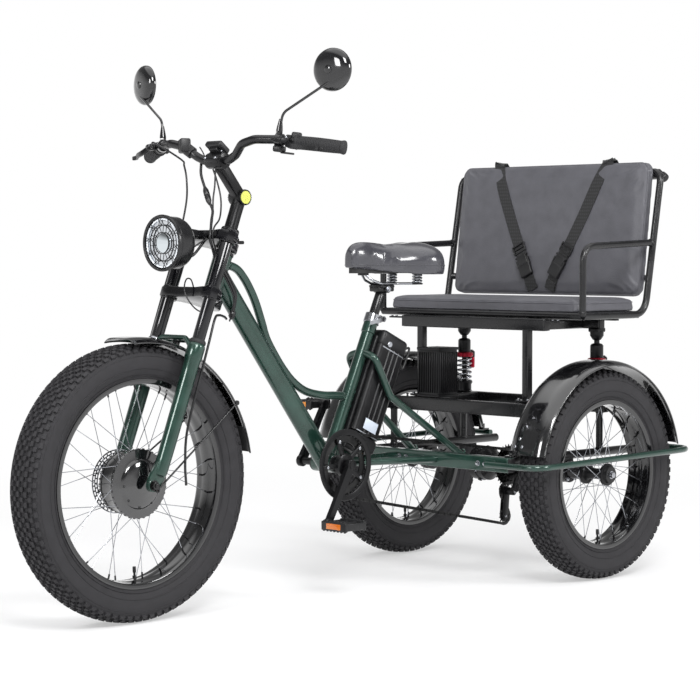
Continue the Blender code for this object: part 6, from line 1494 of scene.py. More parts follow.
# %% Carriage
PLATFORM_TOP, PLATFORM_HEIGHT, PLATFORM_DEPTH = 0.488, 0.038, 0.024
RAIL_SPREAD, RAIL_HALF, PLATFORM_ENDS = 0.262, 0.202, (0.156, -0.15)
edge_z = PLATFORM_TOP - PLATFORM_HEIGHT / 2
carriage, carriage_bolts = [], []
for side in BOTH:
    hub = at(0.0, RAIL_SPREAD * side, REAR_RADIUS)
    carriage.append(rod(at(CROSS_X - 0.0153, hub.y, CROSS_Z), at(-0.3, hub.y, CROSS_Z), 0.012, 32,
        soft=0.001))
    carriage.append(turned(hub - Y_AXIS * 0.017, Y_AXIS,
        [(0.0, 0.024), (0.0, 0.03), (0.002, 0.032), (0.012, 0.032), (0.014, 0.03), (0.02, 0.03),
        (0.022, 0.032), (0.032, 0.032), (0.034, 0.03), (0.034, 0.024)], 48))
    carriage.append(block(hub + Z_AXIS * (CROSS_Z - REAR_RADIUS) / 2,
        (0.0448, 0.0204, CROSS_Z - REAR_RADIUS + 0.01), soft=0.004))
    inner = at(0.0, (HALF_TRACK - 0.052) * side, REAR_RADIUS)
    outer = at(0.0, (HALF_TRACK + 0.058) * side, REAR_RADIUS)
    carriage.append(rod(at(0.0, 0.0, REAR_RADIUS), inner, 0.02, 36, soft=0.001))
    carriage.append(rod(at(0.0, 0.0, REAR_RADIUS), outer, 0.008, 24))
    carriage.append(block(at(sum(PLATFORM_ENDS) / 2, RAIL_HALF * side, edge_z),
        (0.306, PLATFORM_DEPTH, PLATFORM_HEIGHT), soft=0.004))
    for x in PLATFORM_ENDS:
        carriage.append(rod(at(x, hub.y, CROSS_Z), at(x, hub.y, edge_z), STAY_RADIUS, 24))
        for z in (edge_z - 0.02, CROSS_Z + 0.012):
            carriage += weld(at(x, hub.y, z), Z_AXIS, STAY_RADIUS)
        carriage.append(block(at(x, 0.2875 * side, edge_z), (0.02, 0.003, 0.034), soft=0.001))
    for x in (-0.014, 0.014):
        carriage_bolts += hexagon(hub + Vector((x, 0.017 * side, 0.022)), Y_AXIS * side, 0.0042, 0.0055)
        carriage_bolts += hexagon(hub + Vector((x, 0.017 * side, -0.022)), Y_AXIS * side, 0.0042, 0.0055)
    carriage_bolts += hexagon(outer - Y_AXIS * side * 0.006, Y_AXIS * side, 0.0088, 0.009)
for x in PLATFORM_ENDS:
    carriage.append(block(at(x, 0.0, edge_z), (PLATFORM_DEPTH, 0.574, PLATFORM_HEIGHT), soft=0.004))
carriage.append(block(at(0.04, 0.0, edge_z - 0.004), (0.018, 0.4, 0.024), soft=0.003))
case = at(0.0, -0.045, REAR_RADIUS)
CASE = [(-0.04, 0.022), (-0.04, 0.028), (-0.036, 0.034), (-0.026, 0.045), (-0.024, 0.048), (-0.004, 0.048),
    (-0.003, 0.05), (0.003, 0.05), (0.004, 0.048), (0.024, 0.048), (0.026, 0.045), (0.036, 0.034),
    (0.04, 0.028), (0.04, 0.022)]
carriage.append(turned(case, Y_AXIS, CASE, 56))
for place, outward in ring_of(case, Y_AXIS, 0.0485, 8, 0.4):
    carriage.append(block(place, (0.01, 0.012, 0.009), outward, Y_AXIS, soft=0.002))
    carriage_bolts += hexagon(place + Y_AXIS * 0.006, Y_AXIS, 0.003, 0.004)
piece("rear_carriage", carriage, black_powder, "chassis", ["rear_carriage"])
piece("carriage_bolts", carriage_bolts, plated_steel, "chassis")

# %% [markdown]
# The rear fenders are rolled like the front one. They stand on folded feet that are bolted in front to the
# cross beam and behind to the guard's tube, with three button bolts through the sheet at each end.

# %% Rear fenders
REAR_FENDER, REAR_FENDER_HALF = 0.316, 0.06
fender_bolts = []
for word, side in SIDES:
    centre = at(0.0, HALF_TRACK * side, REAR_RADIUS)
    forms = fender_skin(centre, REAR_FENDER, REAR_FENDER_HALF, 13.0, 167.0, 96)
    inner = (HALF_TRACK - REAR_FENDER_HALF * 0.72) * side
    for turn, low, ahead in ((14.0, CROSS_Z + 0.02, 1.0), (166.0, CROSS_Z + GUARD_RISE + GUARD_RADIUS, -1.0)):
        spot = round_wheel(centre, REAR_FENDER, turn)
        forms.append(block(Vector((spot.x + ahead * 0.011, inner, low + 0.0028)), (0.026, 0.022, 0.005),
            soft=0.001))
        forms.append(block(Vector((spot.x + ahead * 0.0015, inner, (low + spot.z) / 2 + 0.003)),
            (0.0045, 0.022, spot.z - low + 0.006), soft=0.0008))
        for degrees, across in ((turn + 3.0 * ahead, -0.012), (turn + 3.0 * ahead, 0.012),
                (turn + 7.0 * ahead, 0.0)):
            spoke = way_at(degrees)
            fender_bolts += bolt(round_wheel(centre, REAR_FENDER + 0.0024, degrees,
                across + (inner - centre.y) * 0.6), spoke, 0.0046, 0.0028)
    piece("rear_fender_" + word, forms, gloss_enamel, "chassis", ["rear_fender_" + word])
piece("rear_fender_bolts", fender_bolts, plated_steel, "chassis")

# %% [markdown]
# ## Bench frame
# Square posts with foot plates stand on the platform and carry two cross beams. Round tube hoops make the
# sides, the back and the armrests; a stub with a rubber grip behind the upper corner helps to push the
# tricycle.

# %% Bench
POST_X, POST_WIDTH, BEAM_TOP, BEAM_HEIGHT, BEAM_DEPTH, BEAM_HALF = 0.1, 0.022, 0.724, 0.034, 0.024, 0.272
SHOCK_X, SHOCK_Y, BENCH_RADIUS, BENCH_SIDE, BENCH_Z = 0.145, 0.255, 0.01, 0.382, 0.7325
BENCH_FRONT_X, BENCH_REAR_X, BACK_TOP_X, BACK_TOP_Z, ARM_Z = 0.078, 0.19, 0.276, 1.14, 0.925
SEAT_FRONT, SEAT_REAR, SEAT_THICKNESS, SEAT_HALF = 0.078, 0.196, 0.036, 0.362
BACK_HEIGHT, BACK_THICKNESS, BACK_HALF, BACK_LEAN = 0.39, 0.034, 0.352, math.radians(7.0)
BACK_FOOT = at(-SEAT_REAR - 0.002, 0.0, BENCH_Z + BENCH_RADIUS + SEAT_THICKNESS + 0.006)
BACK_UP = Vector((-math.sin(BACK_LEAN), 0.0, math.cos(BACK_LEAN)))
BACK_AHEAD = Vector((math.cos(BACK_LEAN), 0.0, math.sin(BACK_LEAN)))


def behind_back(z):
    """How far forward the backrest's rear face is at a height."""
    return BACK_FOOT.x - (z - BACK_FOOT.z) * math.tan(BACK_LEAN) - BACK_THICKNESS / math.cos(BACK_LEAN)


bench, bench_bolts, plugs = [], [], []
beam_z = BEAM_TOP - BEAM_HEIGHT / 2
back_top = behind_back(BACK_TOP_Z) - BENCH_RADIUS * 2
for side in BOTH:
    y = BENCH_SIDE * side
    foot = at(POST_X, RAIL_HALF * side, PLATFORM_TOP + TOUCH_GAP)
    bench.append(block(foot + Z_AXIS * (beam_z - foot.z) / 2, (POST_WIDTH, POST_WIDTH, beam_z - foot.z),
        soft=0.003))
    bench.append(block(foot + Z_AXIS * 0.003, (0.05, 0.05, 0.006), soft=0.0015))
    bench.append(block(at((POST_X - SHOCK_X) / 2, foot.y, beam_z),
        (POST_X + SHOCK_X, BEAM_DEPTH, BEAM_HEIGHT), soft=0.004))
    for x in (-0.017, 0.017):
        for across in (-0.017, 0.017):
            bench_bolts += hexagon(foot + Vector((x, across, 0.006)), Z_AXIS, 0.0042, 0.005)
    hoop = [at(BENCH_FRONT_X, y, BENCH_Z), at(-BENCH_REAR_X - 0.012, y, BENCH_Z),
        at(-BACK_TOP_X, y, BACK_TOP_Z), Vector((back_top, y * 0.8, BACK_TOP_Z))]
    arm = [at(BENCH_FRONT_X, y, BENCH_Z), at(BENCH_FRONT_X, y, ARM_Z),
        at(-BACK_TOP_X * 0.86, y, ARM_Z + 0.012)]
    bench.append(pipe(bent(hoop, 0.06, 10), BENCH_RADIUS, 24))
    bench.append(pipe(bent(arm, 0.05, 10), 0.0095, 24))
    bench += weld(at(-BACK_TOP_X * 0.86 + 0.012, y, ARM_Z + 0.0115), X_AXIS, 0.0095)
    bench += weld(at(BENCH_FRONT_X, y, BENCH_Z + 0.01), Z_AXIS, 0.0095)
    for x in (POST_X, -SHOCK_X):
        plugs.append(block(at(x, (BEAM_HALF + 0.001) * side, beam_z), (0.022, 0.003, 0.032), soft=0.001))
        bench.append(block(at(x, 0.3 * side, beam_z + 0.01), (0.018, 0.056, 0.005), soft=0.001))
    for across in (0.3, 0.318):
        bench_bolts += bolt(at(POST_X + 0.006, across * side, BENCH_Z - BENCH_RADIUS), -Z_AXIS, 0.0042, 0.003)
for x in (POST_X, -SHOCK_X):
    bench.append(block(at(x, 0.0, beam_z), (BEAM_DEPTH, BEAM_HALF * 2, BEAM_HEIGHT), soft=0.004))
for x in (BENCH_FRONT_X, 0.02 - BENCH_REAR_X):
    bench.append(rod(at(x, -BENCH_SIDE, BENCH_Z), at(x, BENCH_SIDE, BENCH_Z), BENCH_RADIUS, 28))
for share in (0.25, 0.97):
    z = BENCH_Z + (BACK_TOP_Z - BENCH_Z) * share
    lean = BACK_TOP_X - BENCH_REAR_X - 0.012
    side_x = REAR_AXLE_X - BENCH_REAR_X - 0.012 - lean * share
    x = behind_back(z) - BENCH_RADIUS - 0.0006
    path = [Vector((side_x, BENCH_SIDE, z)), Vector((x, BENCH_SIDE - 0.03, z)),
        Vector((x, 0.03 - BENCH_SIDE, z)), Vector((side_x, -BENCH_SIDE, z))]
    bench.append(pipe(bent(path, 0.03, 6), BENCH_RADIUS, 24))
handle_start = Vector((back_top, BENCH_SIDE * 0.93, BACK_TOP_Z))
handle_end = handle_start - X_AXIS * 0.034 - Z_AXIS * 0.018
handle_in = (handle_start - handle_end).normalized()
bench.append(rod(handle_start, handle_end, BENCH_RADIUS, 24))
plugs.append(turned(handle_end, handle_in,
    [(0.0, 0.01), (0.001, 0.013), (0.008, 0.0136), (0.018, 0.013), (0.02, 0.0108)], 28))
piece("bench_frame", bench, black_powder, "chassis", ["bench_frame"])
piece("bench_plugs", plugs, black_abs, "chassis")
piece("bench_bolts", bench_bolts, plated_steel, "chassis")

# %% [markdown]
# ## Shock absorbers
# A bicycle shock stands between the platform and the rear bench beam on each side: a black damper body, a
# chromed coil spring, a knurled red collar between them, a small side reservoir, and a black cup at the foot.

# %% Shocks
SHOCK_BODY = ((0.14, 0.0), (0.14, 0.007), (0.52, 0.0075), (0.545, 0.015), (0.575, 0.019), (0.76, 0.019),
    (0.785, 0.015), (0.795, 0.008), (0.835, 0.0078), (0.845, 0.012), (0.9, 0.0195), (0.965, 0.02),
    (0.975, 0.016), (0.975, 0.0))
SHOCK_CUP = ((0.005, 0.0), (0.005, 0.02), (0.02, 0.0215), (0.1, 0.0215), (0.12, 0.0245), (0.145, 0.0245),
    (0.155, 0.0225), (0.155, 0.0))
SHOCK_COLLAR = ((0.515, 0.012), (0.515, 0.0245), (0.525, 0.0262), (0.57, 0.0262), (0.58, 0.024),
    (0.59, 0.017))
for word, side in SIDES:
    low = at(-SHOCK_X, SHOCK_Y * side, PLATFORM_TOP + TOUCH_GAP)
    length = BEAM_TOP - BEAM_HEIGHT - TOUCH_GAP - low.z
    eyes = []
    for end in (0.045, 0.955):
        eyes.append(pin(low + Z_AXIS * length * end, Y_AXIS * 0.012, 0.0095, 28, soft=0.001))
    body = [turned(low, Z_AXIS, [(length * share, radius) for share, radius in SHOCK_BODY], 40),
        turned(low, Z_AXIS, [(length * share, radius) for share, radius in SHOCK_CUP], 40),
        block(low + Z_AXIS * length * 0.985, (0.036, 0.036, 0.012), soft=0.003)]
    red = [turned(low, Z_AXIS, [(length * share, radius) for share, radius in SHOCK_COLLAR], 44)]
    for place, outward in ring_of(low + Z_AXIS * length * 0.548, Z_AXIS, 0.0262, 14):
        red.append(block(place, (0.0022, 0.005, length * 0.03), outward, Z_AXIS, soft=0.0006, steps=1))
    tank = low - X_AXIS * 0.034
    red.append(turned(tank, Z_AXIS,
        [(length * 0.34, 0.006), (length * 0.35, 0.0085), (length * 0.46, 0.009), (length * 0.5, 0.0085),
        (length * 0.51, 0.007)], 28))
    body.append(turned(tank, Z_AXIS,
        [(length * 0.5, 0.007), (length * 0.505, 0.0092), (length * 0.58, 0.0092), (length * 0.6, 0.006)],
        28))
    body.append(block(low - X_AXIS * 0.02 + Z_AXIS * length * 0.59, (0.028, 0.012, 0.01), soft=0.002))
    spring = [coil(low + Z_AXIS * length * 0.15, low + Z_AXIS * length * 0.53, 0.02, 0.0032, 6, 22, 12)]
    piece("shock_" + word, red, red_anodised, "chassis", ["shock_" + word])
    piece("shock_body_" + word, body + eyes, black_anodised, "chassis")
    piece("shock_spring_" + word, spring, plated_steel, "chassis")

# %% [markdown]
# ## Seat post and saddle springs
# The post is a plain black tube held by a collar with a chromed quick-release lever. Its head clamps two
# steel rails that end in coil springs under the rear of the saddle.

# %% Seat post
SADDLE_X, SADDLE_Z, SADDLE_BELLY, RAIL_DROP = 0.47, 0.868, 0.014, 0.034
RAILS_Z = SADDLE_Z - SADDLE_BELLY - TOUCH_GAP - RAIL_DROP
post_foot = seat_line((SEAT_TUBE_TOP - CRANK_CENTRE).length)
post_top = post_foot + SEAT_TUBE_UP * (RAILS_Z - 0.011 - post_foot.z) / SEAT_TUBE_UP.z
post = [rod(post_foot, post_top, 0.0136, 32, soft=0.001), block(post_top, (0.06, 0.04, 0.014), soft=0.004),
    block(post_top + Z_AXIS * 0.0075, (0.05, 0.052, 0.008), soft=0.003),
    pin(post_top, Y_AXIS * 0.026, 0.0105, 28, soft=0.0015)]
piece("seat_post", post, black_powder, "chassis", ["seat_post"])
collar_mid = post_foot + SEAT_TUBE_UP * 0.013
lever_hub = collar_mid - X_AXIS * 0.026
collar = [turned(post_foot, SEAT_TUBE_UP,
    [(0.0, 0.0142), (0.0, 0.0205), (0.001, 0.022), (0.025, 0.022), (0.026, 0.0205), (0.026, 0.0142)], 40),
    block(collar_mid - X_AXIS * 0.023, (0.012, 0.02, 0.02), soft=0.002),
    rod(lever_hub - Y_AXIS * 0.022, lever_hub + Y_AXIS * 0.02, 0.0034, 18),
    rod(lever_hub + Y_AXIS * 0.01, lever_hub + Y_AXIS * 0.022, 0.0078, 28, soft=0.0012),
    ribbon(flowing([lever_hub + Y_AXIS * 0.02, lever_hub + Y_AXIS * 0.028 + X_AXIS * 0.012,
    lever_hub + Y_AXIS * 0.031 + X_AXIS * 0.04 - Z_AXIS * 0.004,
    lever_hub + Y_AXIS * 0.03 + X_AXIS * 0.062 - Z_AXIS * 0.008], 6), 0.011, 0.0045, Y_AXIS, soft=0.0012)]
piece("seat_collar", collar, plated_steel, "chassis")
piece("seat_post_bolt", hexagon(post_top + Y_AXIS * 0.026, Y_AXIS, 0.0065, 0.006)
    + hexagon(post_top - Y_AXIS * 0.026, -Y_AXIS, 0.0065, 0.006), plated_steel, "chassis")

# %% [markdown]
# Two rails of spring steel run from the nose's plate to the clamp and on to two coil springs with moulded
# cups, which carry the broad rear of the saddle.

# %% Saddle rails and springs
rails_z = RAILS_Z + 0.0038
under = SADDLE_Z - SADDLE_BELLY - TOUCH_GAP
RAILS_REACH = 0.081
nose_x = SADDLE_X + RAILS_REACH
rails, spring_caps = [], []
for side in BOTH:
    foot = at(SADDLE_X - 0.082, 0.048 * side, rails_z)
    path = [at(nose_x, 0.006 * side, under - 0.0035), at(nose_x - 0.02, 0.014 * side, rails_z + 0.01),
        at(SADDLE_X + 0.03, 0.02 * side, rails_z), at(SADDLE_X - 0.03, 0.02 * side, rails_z), foot]
    rails.append(pipe(bent(path, 0.03, 8), 0.0035, 14))
    for place in (foot - Z_AXIS * 0.003, Vector((foot.x, foot.y, under - 0.004))):
        spring_caps.append(turned(place, Z_AXIS,
            [(0.0, 0.0145), (0.0008, 0.0155), (0.0032, 0.0155), (0.004, 0.0145)], 28))
    rails.append(coil(foot, Vector((foot.x, foot.y, under - 0.002)), 0.012, 0.0026, 4, 22, 10))
spring_caps.append(rod(at(nose_x, 0.0, under), at(nose_x, 0.0, under - 0.007), 0.015, 28, soft=0.001))
piece("saddle_springs", rails, plated_steel, "chassis", ["saddle_springs"])
piece("saddle_spring_caps", spring_caps, black_abs, "chassis")

# %% [markdown]
# ## Battery and controller
# The battery is an aluminium extrusion with three flutes along each side, closed by moulded caps. It slides
# into a dock behind the seat tube; the upper cap has a carrying loop and a lock, and a bare pale plate sits
# low on its side.

# %% Battery
BATTERY_START, BATTERY_LENGTH, BATTERY_BACK, BATTERY_DEPTH, BATTERY_WIDTH = 0.07, 0.335, 0.026, 0.104, 0.074
battery_mid = BATTERY_BACK + BATTERY_DEPTH / 2


def battery_section(rise):
    """The extrusion's outline at a height: rounded corners, three shallow flutes on each side."""
    half_deep, half_wide = BATTERY_DEPTH / 2, BATTERY_WIDTH / 2
    points = []
    for turn_from, back, side in ((0, 1, 1), (90, -1, 1), (180, -1, -1), (270, 1, -1)):
        for step in range(6):
            angle = math.radians(turn_from + 18 * step)
            points.append((back * (half_deep - 0.014) + math.cos(angle) * 0.014,
                side * (half_wide - 0.014) + math.sin(angle) * 0.014))
        if turn_from in (0, 180):
            for flute in (0.018, 0.0, -0.018):
                for offset, deep in ((0.0062, 0.0), (0.004, 0.0022), (-0.004, 0.0022), (-0.0062, 0.0)):
                    points.append((back * (flute + offset), side * (half_wide - deep)))
    return [seat_line(rise, battery_mid + deep, wide) for deep, wide in points]


extrusion = plate(battery_section(BATTERY_START + BATTERY_LENGTH / 2),
    SEAT_TUBE_UP * (BATTERY_LENGTH - 0.085), soft=0.0)
piece("battery_pack", [extrusion], black_anodised, "chassis", ["battery_pack"])
caps = [block(seat_line(BATTERY_START + 0.0205, battery_mid), (BATTERY_DEPTH, BATTERY_WIDTH, 0.041),
    SEAT_TUBE_BEHIND, SEAT_TUBE_UP, soft=0.011, steps=4),
    block(seat_line(BATTERY_START + BATTERY_LENGTH - 0.0235, battery_mid),
    (BATTERY_DEPTH, BATTERY_WIDTH, 0.046), SEAT_TUBE_BEHIND, SEAT_TUBE_UP, soft=0.012, steps=4)]
loop_foot = BATTERY_START + BATTERY_LENGTH - 0.02
loop = [seat_line(loop_foot, battery_mid + 0.046, 0.03),
    seat_line(loop_foot + 0.006, battery_mid + 0.062, 0.031),
    seat_line(loop_foot - 0.052, battery_mid + 0.06, 0.031),
    seat_line(loop_foot - 0.046, battery_mid + 0.048, 0.031)]
caps.append(pipe(flowing(loop, 6), 0.0032, 12))
for across in (-0.02, 0.0, 0.02):
    caps.append(block(seat_line(BATTERY_START + BATTERY_LENGTH - 0.0008, battery_mid, across),
        (0.07, 0.004, 0.003), SEAT_TUBE_BEHIND, SEAT_TUBE_UP, soft=0.001))
caps.append(block(seat_line(BATTERY_START + BATTERY_LENGTH - 0.012, BATTERY_BACK + BATTERY_DEPTH - 0.01),
    (0.022, 0.04, 0.02), SEAT_TUBE_BEHIND, SEAT_TUBE_UP, soft=0.004))
piece("battery_caps", caps, black_abs, "chassis")
lock = [turned(seat_line(BATTERY_START + BATTERY_LENGTH - 0.034, battery_mid - 0.02, 0.0365), Y_AXIS,
    [(0.0, 0.008), (0.002, 0.008), (0.003, 0.007), (0.003, 0.0)], 28)]
# Thin silver strips across both sides, next to the caps, are painted highlight lines.
for rise in (BATTERY_START + 0.044, BATTERY_START + BATTERY_LENGTH - 0.048):
    for side in BOTH:
        lock.append(block(seat_line(rise, battery_mid, side * 0.0368), (0.086, 0.0012, 0.003),
            SEAT_TUBE_BEHIND, SEAT_TUBE_UP, soft=0.0003))
piece("battery_lock_and_highlight_strips", lock, lock_and_highlight_silver, "chassis")
plates = [block(seat_line(BATTERY_START + 0.07, battery_mid + 0.004, side * 0.0371), (0.052, 0.001, 0.03),
    SEAT_TUBE_BEHIND, SEAT_TUBE_UP, soft=0.0003) for side in BOTH]
piece("battery_plate", plates, pale_label, "chassis")
dock = [block(seat_line(BATTERY_START + BATTERY_LENGTH / 2, 0.0216), (0.0084, 0.04, BATTERY_LENGTH * 0.86),
    SEAT_TUBE_BEHIND, SEAT_TUBE_UP, soft=0.002),
    block(seat_line(BATTERY_START - 0.008, 0.058), (0.08, 0.06, 0.014), SEAT_TUBE_BEHIND, SEAT_TUBE_UP,
    soft=0.003)]
piece("battery_dock", dock, black_abs, "chassis", ["battery_dock"])

# %% [markdown]
# The controller is a finned aluminium housing with two moulded end caps. It stands on the platform under the
# bench, and its fins are thin blocks set side by side.

# %% Controller box
box_mid = at(0.112, -0.128, PLATFORM_TOP + TOUCH_GAP + 0.0725)
box = [block(box_mid, (0.082, 0.082, 0.143), soft=0.005),
    block(box_mid + Z_AXIS * 0.0685, (0.088, 0.088, 0.008), soft=0.002),
    block(box_mid - Z_AXIS * 0.0685, (0.088, 0.088, 0.008), soft=0.002)]
for across in range(-4, 5):
    box.append(block(box_mid + Vector((0.042, across * 0.0088, 0.0)), (0.005, 0.0024, 0.118), soft=0.0008,
        steps=1))
    box.append(block(box_mid + Vector((across * 0.0088, 0.042, 0.0)), (0.0024, 0.005, 0.118), soft=0.0008,
        steps=1))
piece("controller_box", box, black_anodised, "chassis", ["controller_box"])

# %% [markdown]
# ## Drive
# A chainring with a guard turns on a square spindle; the chain runs back to a cassette on the carriage's axle
# and is kept tight by a derailleur. Teeth and links repeat by rule, so Geometry Nodes sets them: the knob
# tree serves for teeth, and a second tree walks along the chain's line and puts an inner or an outer link at
# every half pitch.

# %% Chainring, guard and cranks
CHAIN_LINE, RING_RADIUS, GUARD_EDGE, CRANK_LENGTH, CRANK_SIDE = 0.066, 0.083, 0.096, 0.17, 0.094
CRANK_ANGLE = math.radians(-60.0)
CRANK_WAY = Vector((math.cos(CRANK_ANGLE), 0.0, math.sin(CRANK_ANGLE)))


def toothed(centre, radius, count, thickness, inner, tooth=0.0072):
    """A sprocket: a flat ring with a row of tapered teeth from the knob tree."""
    half = thickness / 2
    ring = turned(centre - Y_AXIS * half, Y_AXIS,
        [(0.0, inner), (0.0, radius - 0.0035), (thickness, radius - 0.0035), (thickness, inner)], 64,
        closed=True)
    values = {"Count": count, "Radius": radius - 0.0025, "Side": 0.0, "Length": tooth,
        "Width": thickness * 0.9, "Height": 0.009, "Tilt": 0.0, "Phase": 0.0}
    teeth = grown("teeth", KNOBS, values)
    for vert in teeth.verts:
        reach = math.hypot(vert.co.x, vert.co.z)
        if reach > radius:
            across = Vector((vert.co.x, 0.0, vert.co.z)).normalized()
            middle = round(math.atan2(across.x, across.z) / (math.tau / count)) * math.tau / count
            spine = Vector((math.sin(middle), 0.0, math.cos(middle))) * reach
            vert.co = Vector((spine.x, vert.co.y, spine.z)) * 0.62 + Vector(vert.co) * 0.38
    bmesh.ops.translate(teeth, verts=teeth.verts, vec=centre)
    return [ring, teeth]


ring_mid = CRANK_CENTRE + Y_AXIS * CHAIN_LINE
piece("chainring", toothed(ring_mid, RING_RADIUS - 0.0015, 42, 0.0032, 0.06), oiled_steel, "crank")
guard_mid = ring_mid + Y_AXIS * 0.0085
guard = [turned(guard_mid - Y_AXIS * 0.002, Y_AXIS,
    [(0.0, 0.08), (0.0, 0.0952), (0.001, GUARD_EDGE), (0.003, GUARD_EDGE), (0.004, 0.0952), (0.004, 0.0815),
    (0.003, 0.08)], 80, closed=True),
    turned(ring_mid - Y_AXIS * 0.004, Y_AXIS,
    [(0.0, 0.011), (0.0, 0.03), (0.002, 0.0315), (0.014, 0.03), (0.0155, 0.028), (0.0155, 0.011)], 48,
    closed=True)]
ring_bolts = []
for place, outward in ring_of(ring_mid + Y_AXIS * 0.0055, Y_AXIS, 0.055, 5, 0.35):
    guard.append(block(place, (0.058, 0.0135, 0.0085), outward, Y_AXIS, soft=0.003))
    ring_bolts += bolt(place + outward * 0.0115 + Y_AXIS * 0.0048, Y_AXIS, 0.005, 0.0026)
cranks = []
for side in BOTH:
    along = CRANK_WAY * side
    hub = CRANK_CENTRE + Y_AXIS * side * CRANK_SIDE
    tip = hub + along * CRANK_LENGTH
    path = [hub + along * CRANK_LENGTH * step / 12 for step in range(13)]
    widths = [0.025 - 0.0075 * min(step / 9, 1.0) for step in range(13)]
    cranks.append(ribbon(path, widths, 0.0135, Y_AXIS, soft=0.0038))
    for spot, radius in ((hub, 0.016), (tip, 0.0135)):
        cranks.append(pin(spot, Y_AXIS * 0.007, radius, 40, soft=0.0018))
    cranks.append(turned(hub + Y_AXIS * side * 0.007, Y_AXIS * side,
        [(0.0, 0.011), (0.0018, 0.0105), (0.0025, 0.008), (0.0025, 0.0)], 32))
    cranks.append(rod(tip, tip + Y_AXIS * side * (0.014 + 0.092 * 0.8), 0.0055, 24, soft=0.0008))
cranks.append(pin(CRANK_CENTRE, Y_AXIS * 0.1, 0.01, 28))
piece("crankset", guard + cranks, black_anodised, "crank", ["crankset"])
piece("chainring_bolts", ring_bolts, plated_steel, "crank")

# %% [markdown]
# ## Pedals
# Moulded block pedals: an open frame with a spindle barrel, rows of small studs for grip, and amber
# reflectors front and back.

# %% Pedals
PEDAL_LENGTH, PEDAL_WIDTH, PEDAL_THICKNESS = 0.078, 0.092, 0.024
for word, side in SIDES:
    tip = CRANK_CENTRE + CRANK_WAY * CRANK_LENGTH * side + Y_AXIS * side * CRANK_SIDE
    inner = tip + Y_AXIS * side * 0.013
    middle = inner + Y_AXIS * side * PEDAL_WIDTH / 2
    cage = [rod(inner, inner + Y_AXIS * side * PEDAL_WIDTH, 0.0098, 28, soft=0.001)]
    for ahead in (-1, 1):
        cage.append(block(middle + X_AXIS * ahead * (PEDAL_LENGTH / 2 - 0.005),
            (0.0085, PEDAL_WIDTH, PEDAL_THICKNESS), soft=0.0025))
        cage.append(block(middle + X_AXIS * ahead * 0.021, (0.005, PEDAL_WIDTH * 0.94, 0.016), soft=0.0015))
        for step in range(7):
            across = (step - 3) * 0.0128
            for up in (-1, 1):
                cage.append(block(middle + Vector((ahead * (PEDAL_LENGTH / 2 - 0.005), across, up * 0.0125)),
                    (0.006, 0.005, 0.0035), soft=0.0008, steps=1))
    for across in (-0.0425, -0.015, 0.015, 0.0425):
        cage.append(block(middle + Y_AXIS * across, (PEDAL_LENGTH - 0.006, 0.0065, 0.019), soft=0.0018))
    piece("pedal_" + word, cage, black_abs, "pedal_" + word, ["pedal_" + word])
    glints = [block(middle + X_AXIS * ahead * (PEDAL_LENGTH / 2 - 0.0012), (0.0035, 0.052, 0.015),
        soft=0.0012) for ahead in (-1, 1)]
    piece("pedal_reflectors_" + word, glints, amber_reflector, "pedal_" + word)

# %% [markdown]
# The chain's line is worked out once, from arcs on the wheels and the tangents between them. The tree shares
# it into equal pitches and sets two plates and a roller at each.

# %% Chain by Geometry Nodes
JOCKEY_RADIUS, JOCKEY_HIGH, JOCKEY_LOW, SPROCKET_RADIUS = 0.022, (0.034, 0.222), (0.04, 0.15), 0.046
CHAIN_PITCH = 0.0127


def chain_line():
    """The closed line of the chain: arcs on the four wheels joined by their common tangents."""
    crank_x = CRANK_CENTRE.x - REAR_AXLE_X
    circles = [(crank_x, CRANK_CENTRE.z, RING_RADIUS, 1), (0.0, REAR_RADIUS, SPROCKET_RADIUS, 1),
        (JOCKEY_HIGH[0], JOCKEY_HIGH[1], JOCKEY_RADIUS, -1), (JOCKEY_LOW[0], JOCKEY_LOW[1], JOCKEY_RADIUS, 1)]
    ends = []
    for index, one in enumerate(circles):
        two = circles[(index + 1) % len(circles)]
        gap = Vector((two[0] - one[0], two[1] - one[1]))
        lean = math.asin((one[2] * one[3] - two[2] * two[3]) / gap.length)
        ends.append(math.atan2(gap.y, gap.x) - math.pi / 2 + lean)
    points = []
    for index, (x, z, radius, sense) in enumerate(circles):
        sweep = (ends[index] - ends[index - 1]) * sense % math.tau
        steps = max(6, int(sweep / 0.08))
        for step in range(steps + 1):
            angle = ends[index - 1] + sense * sweep * step / steps
            points.append(at(x + math.cos(angle) * radius * sense, CHAIN_LINE,
                z + math.sin(angle) * radius * sense))
    return points


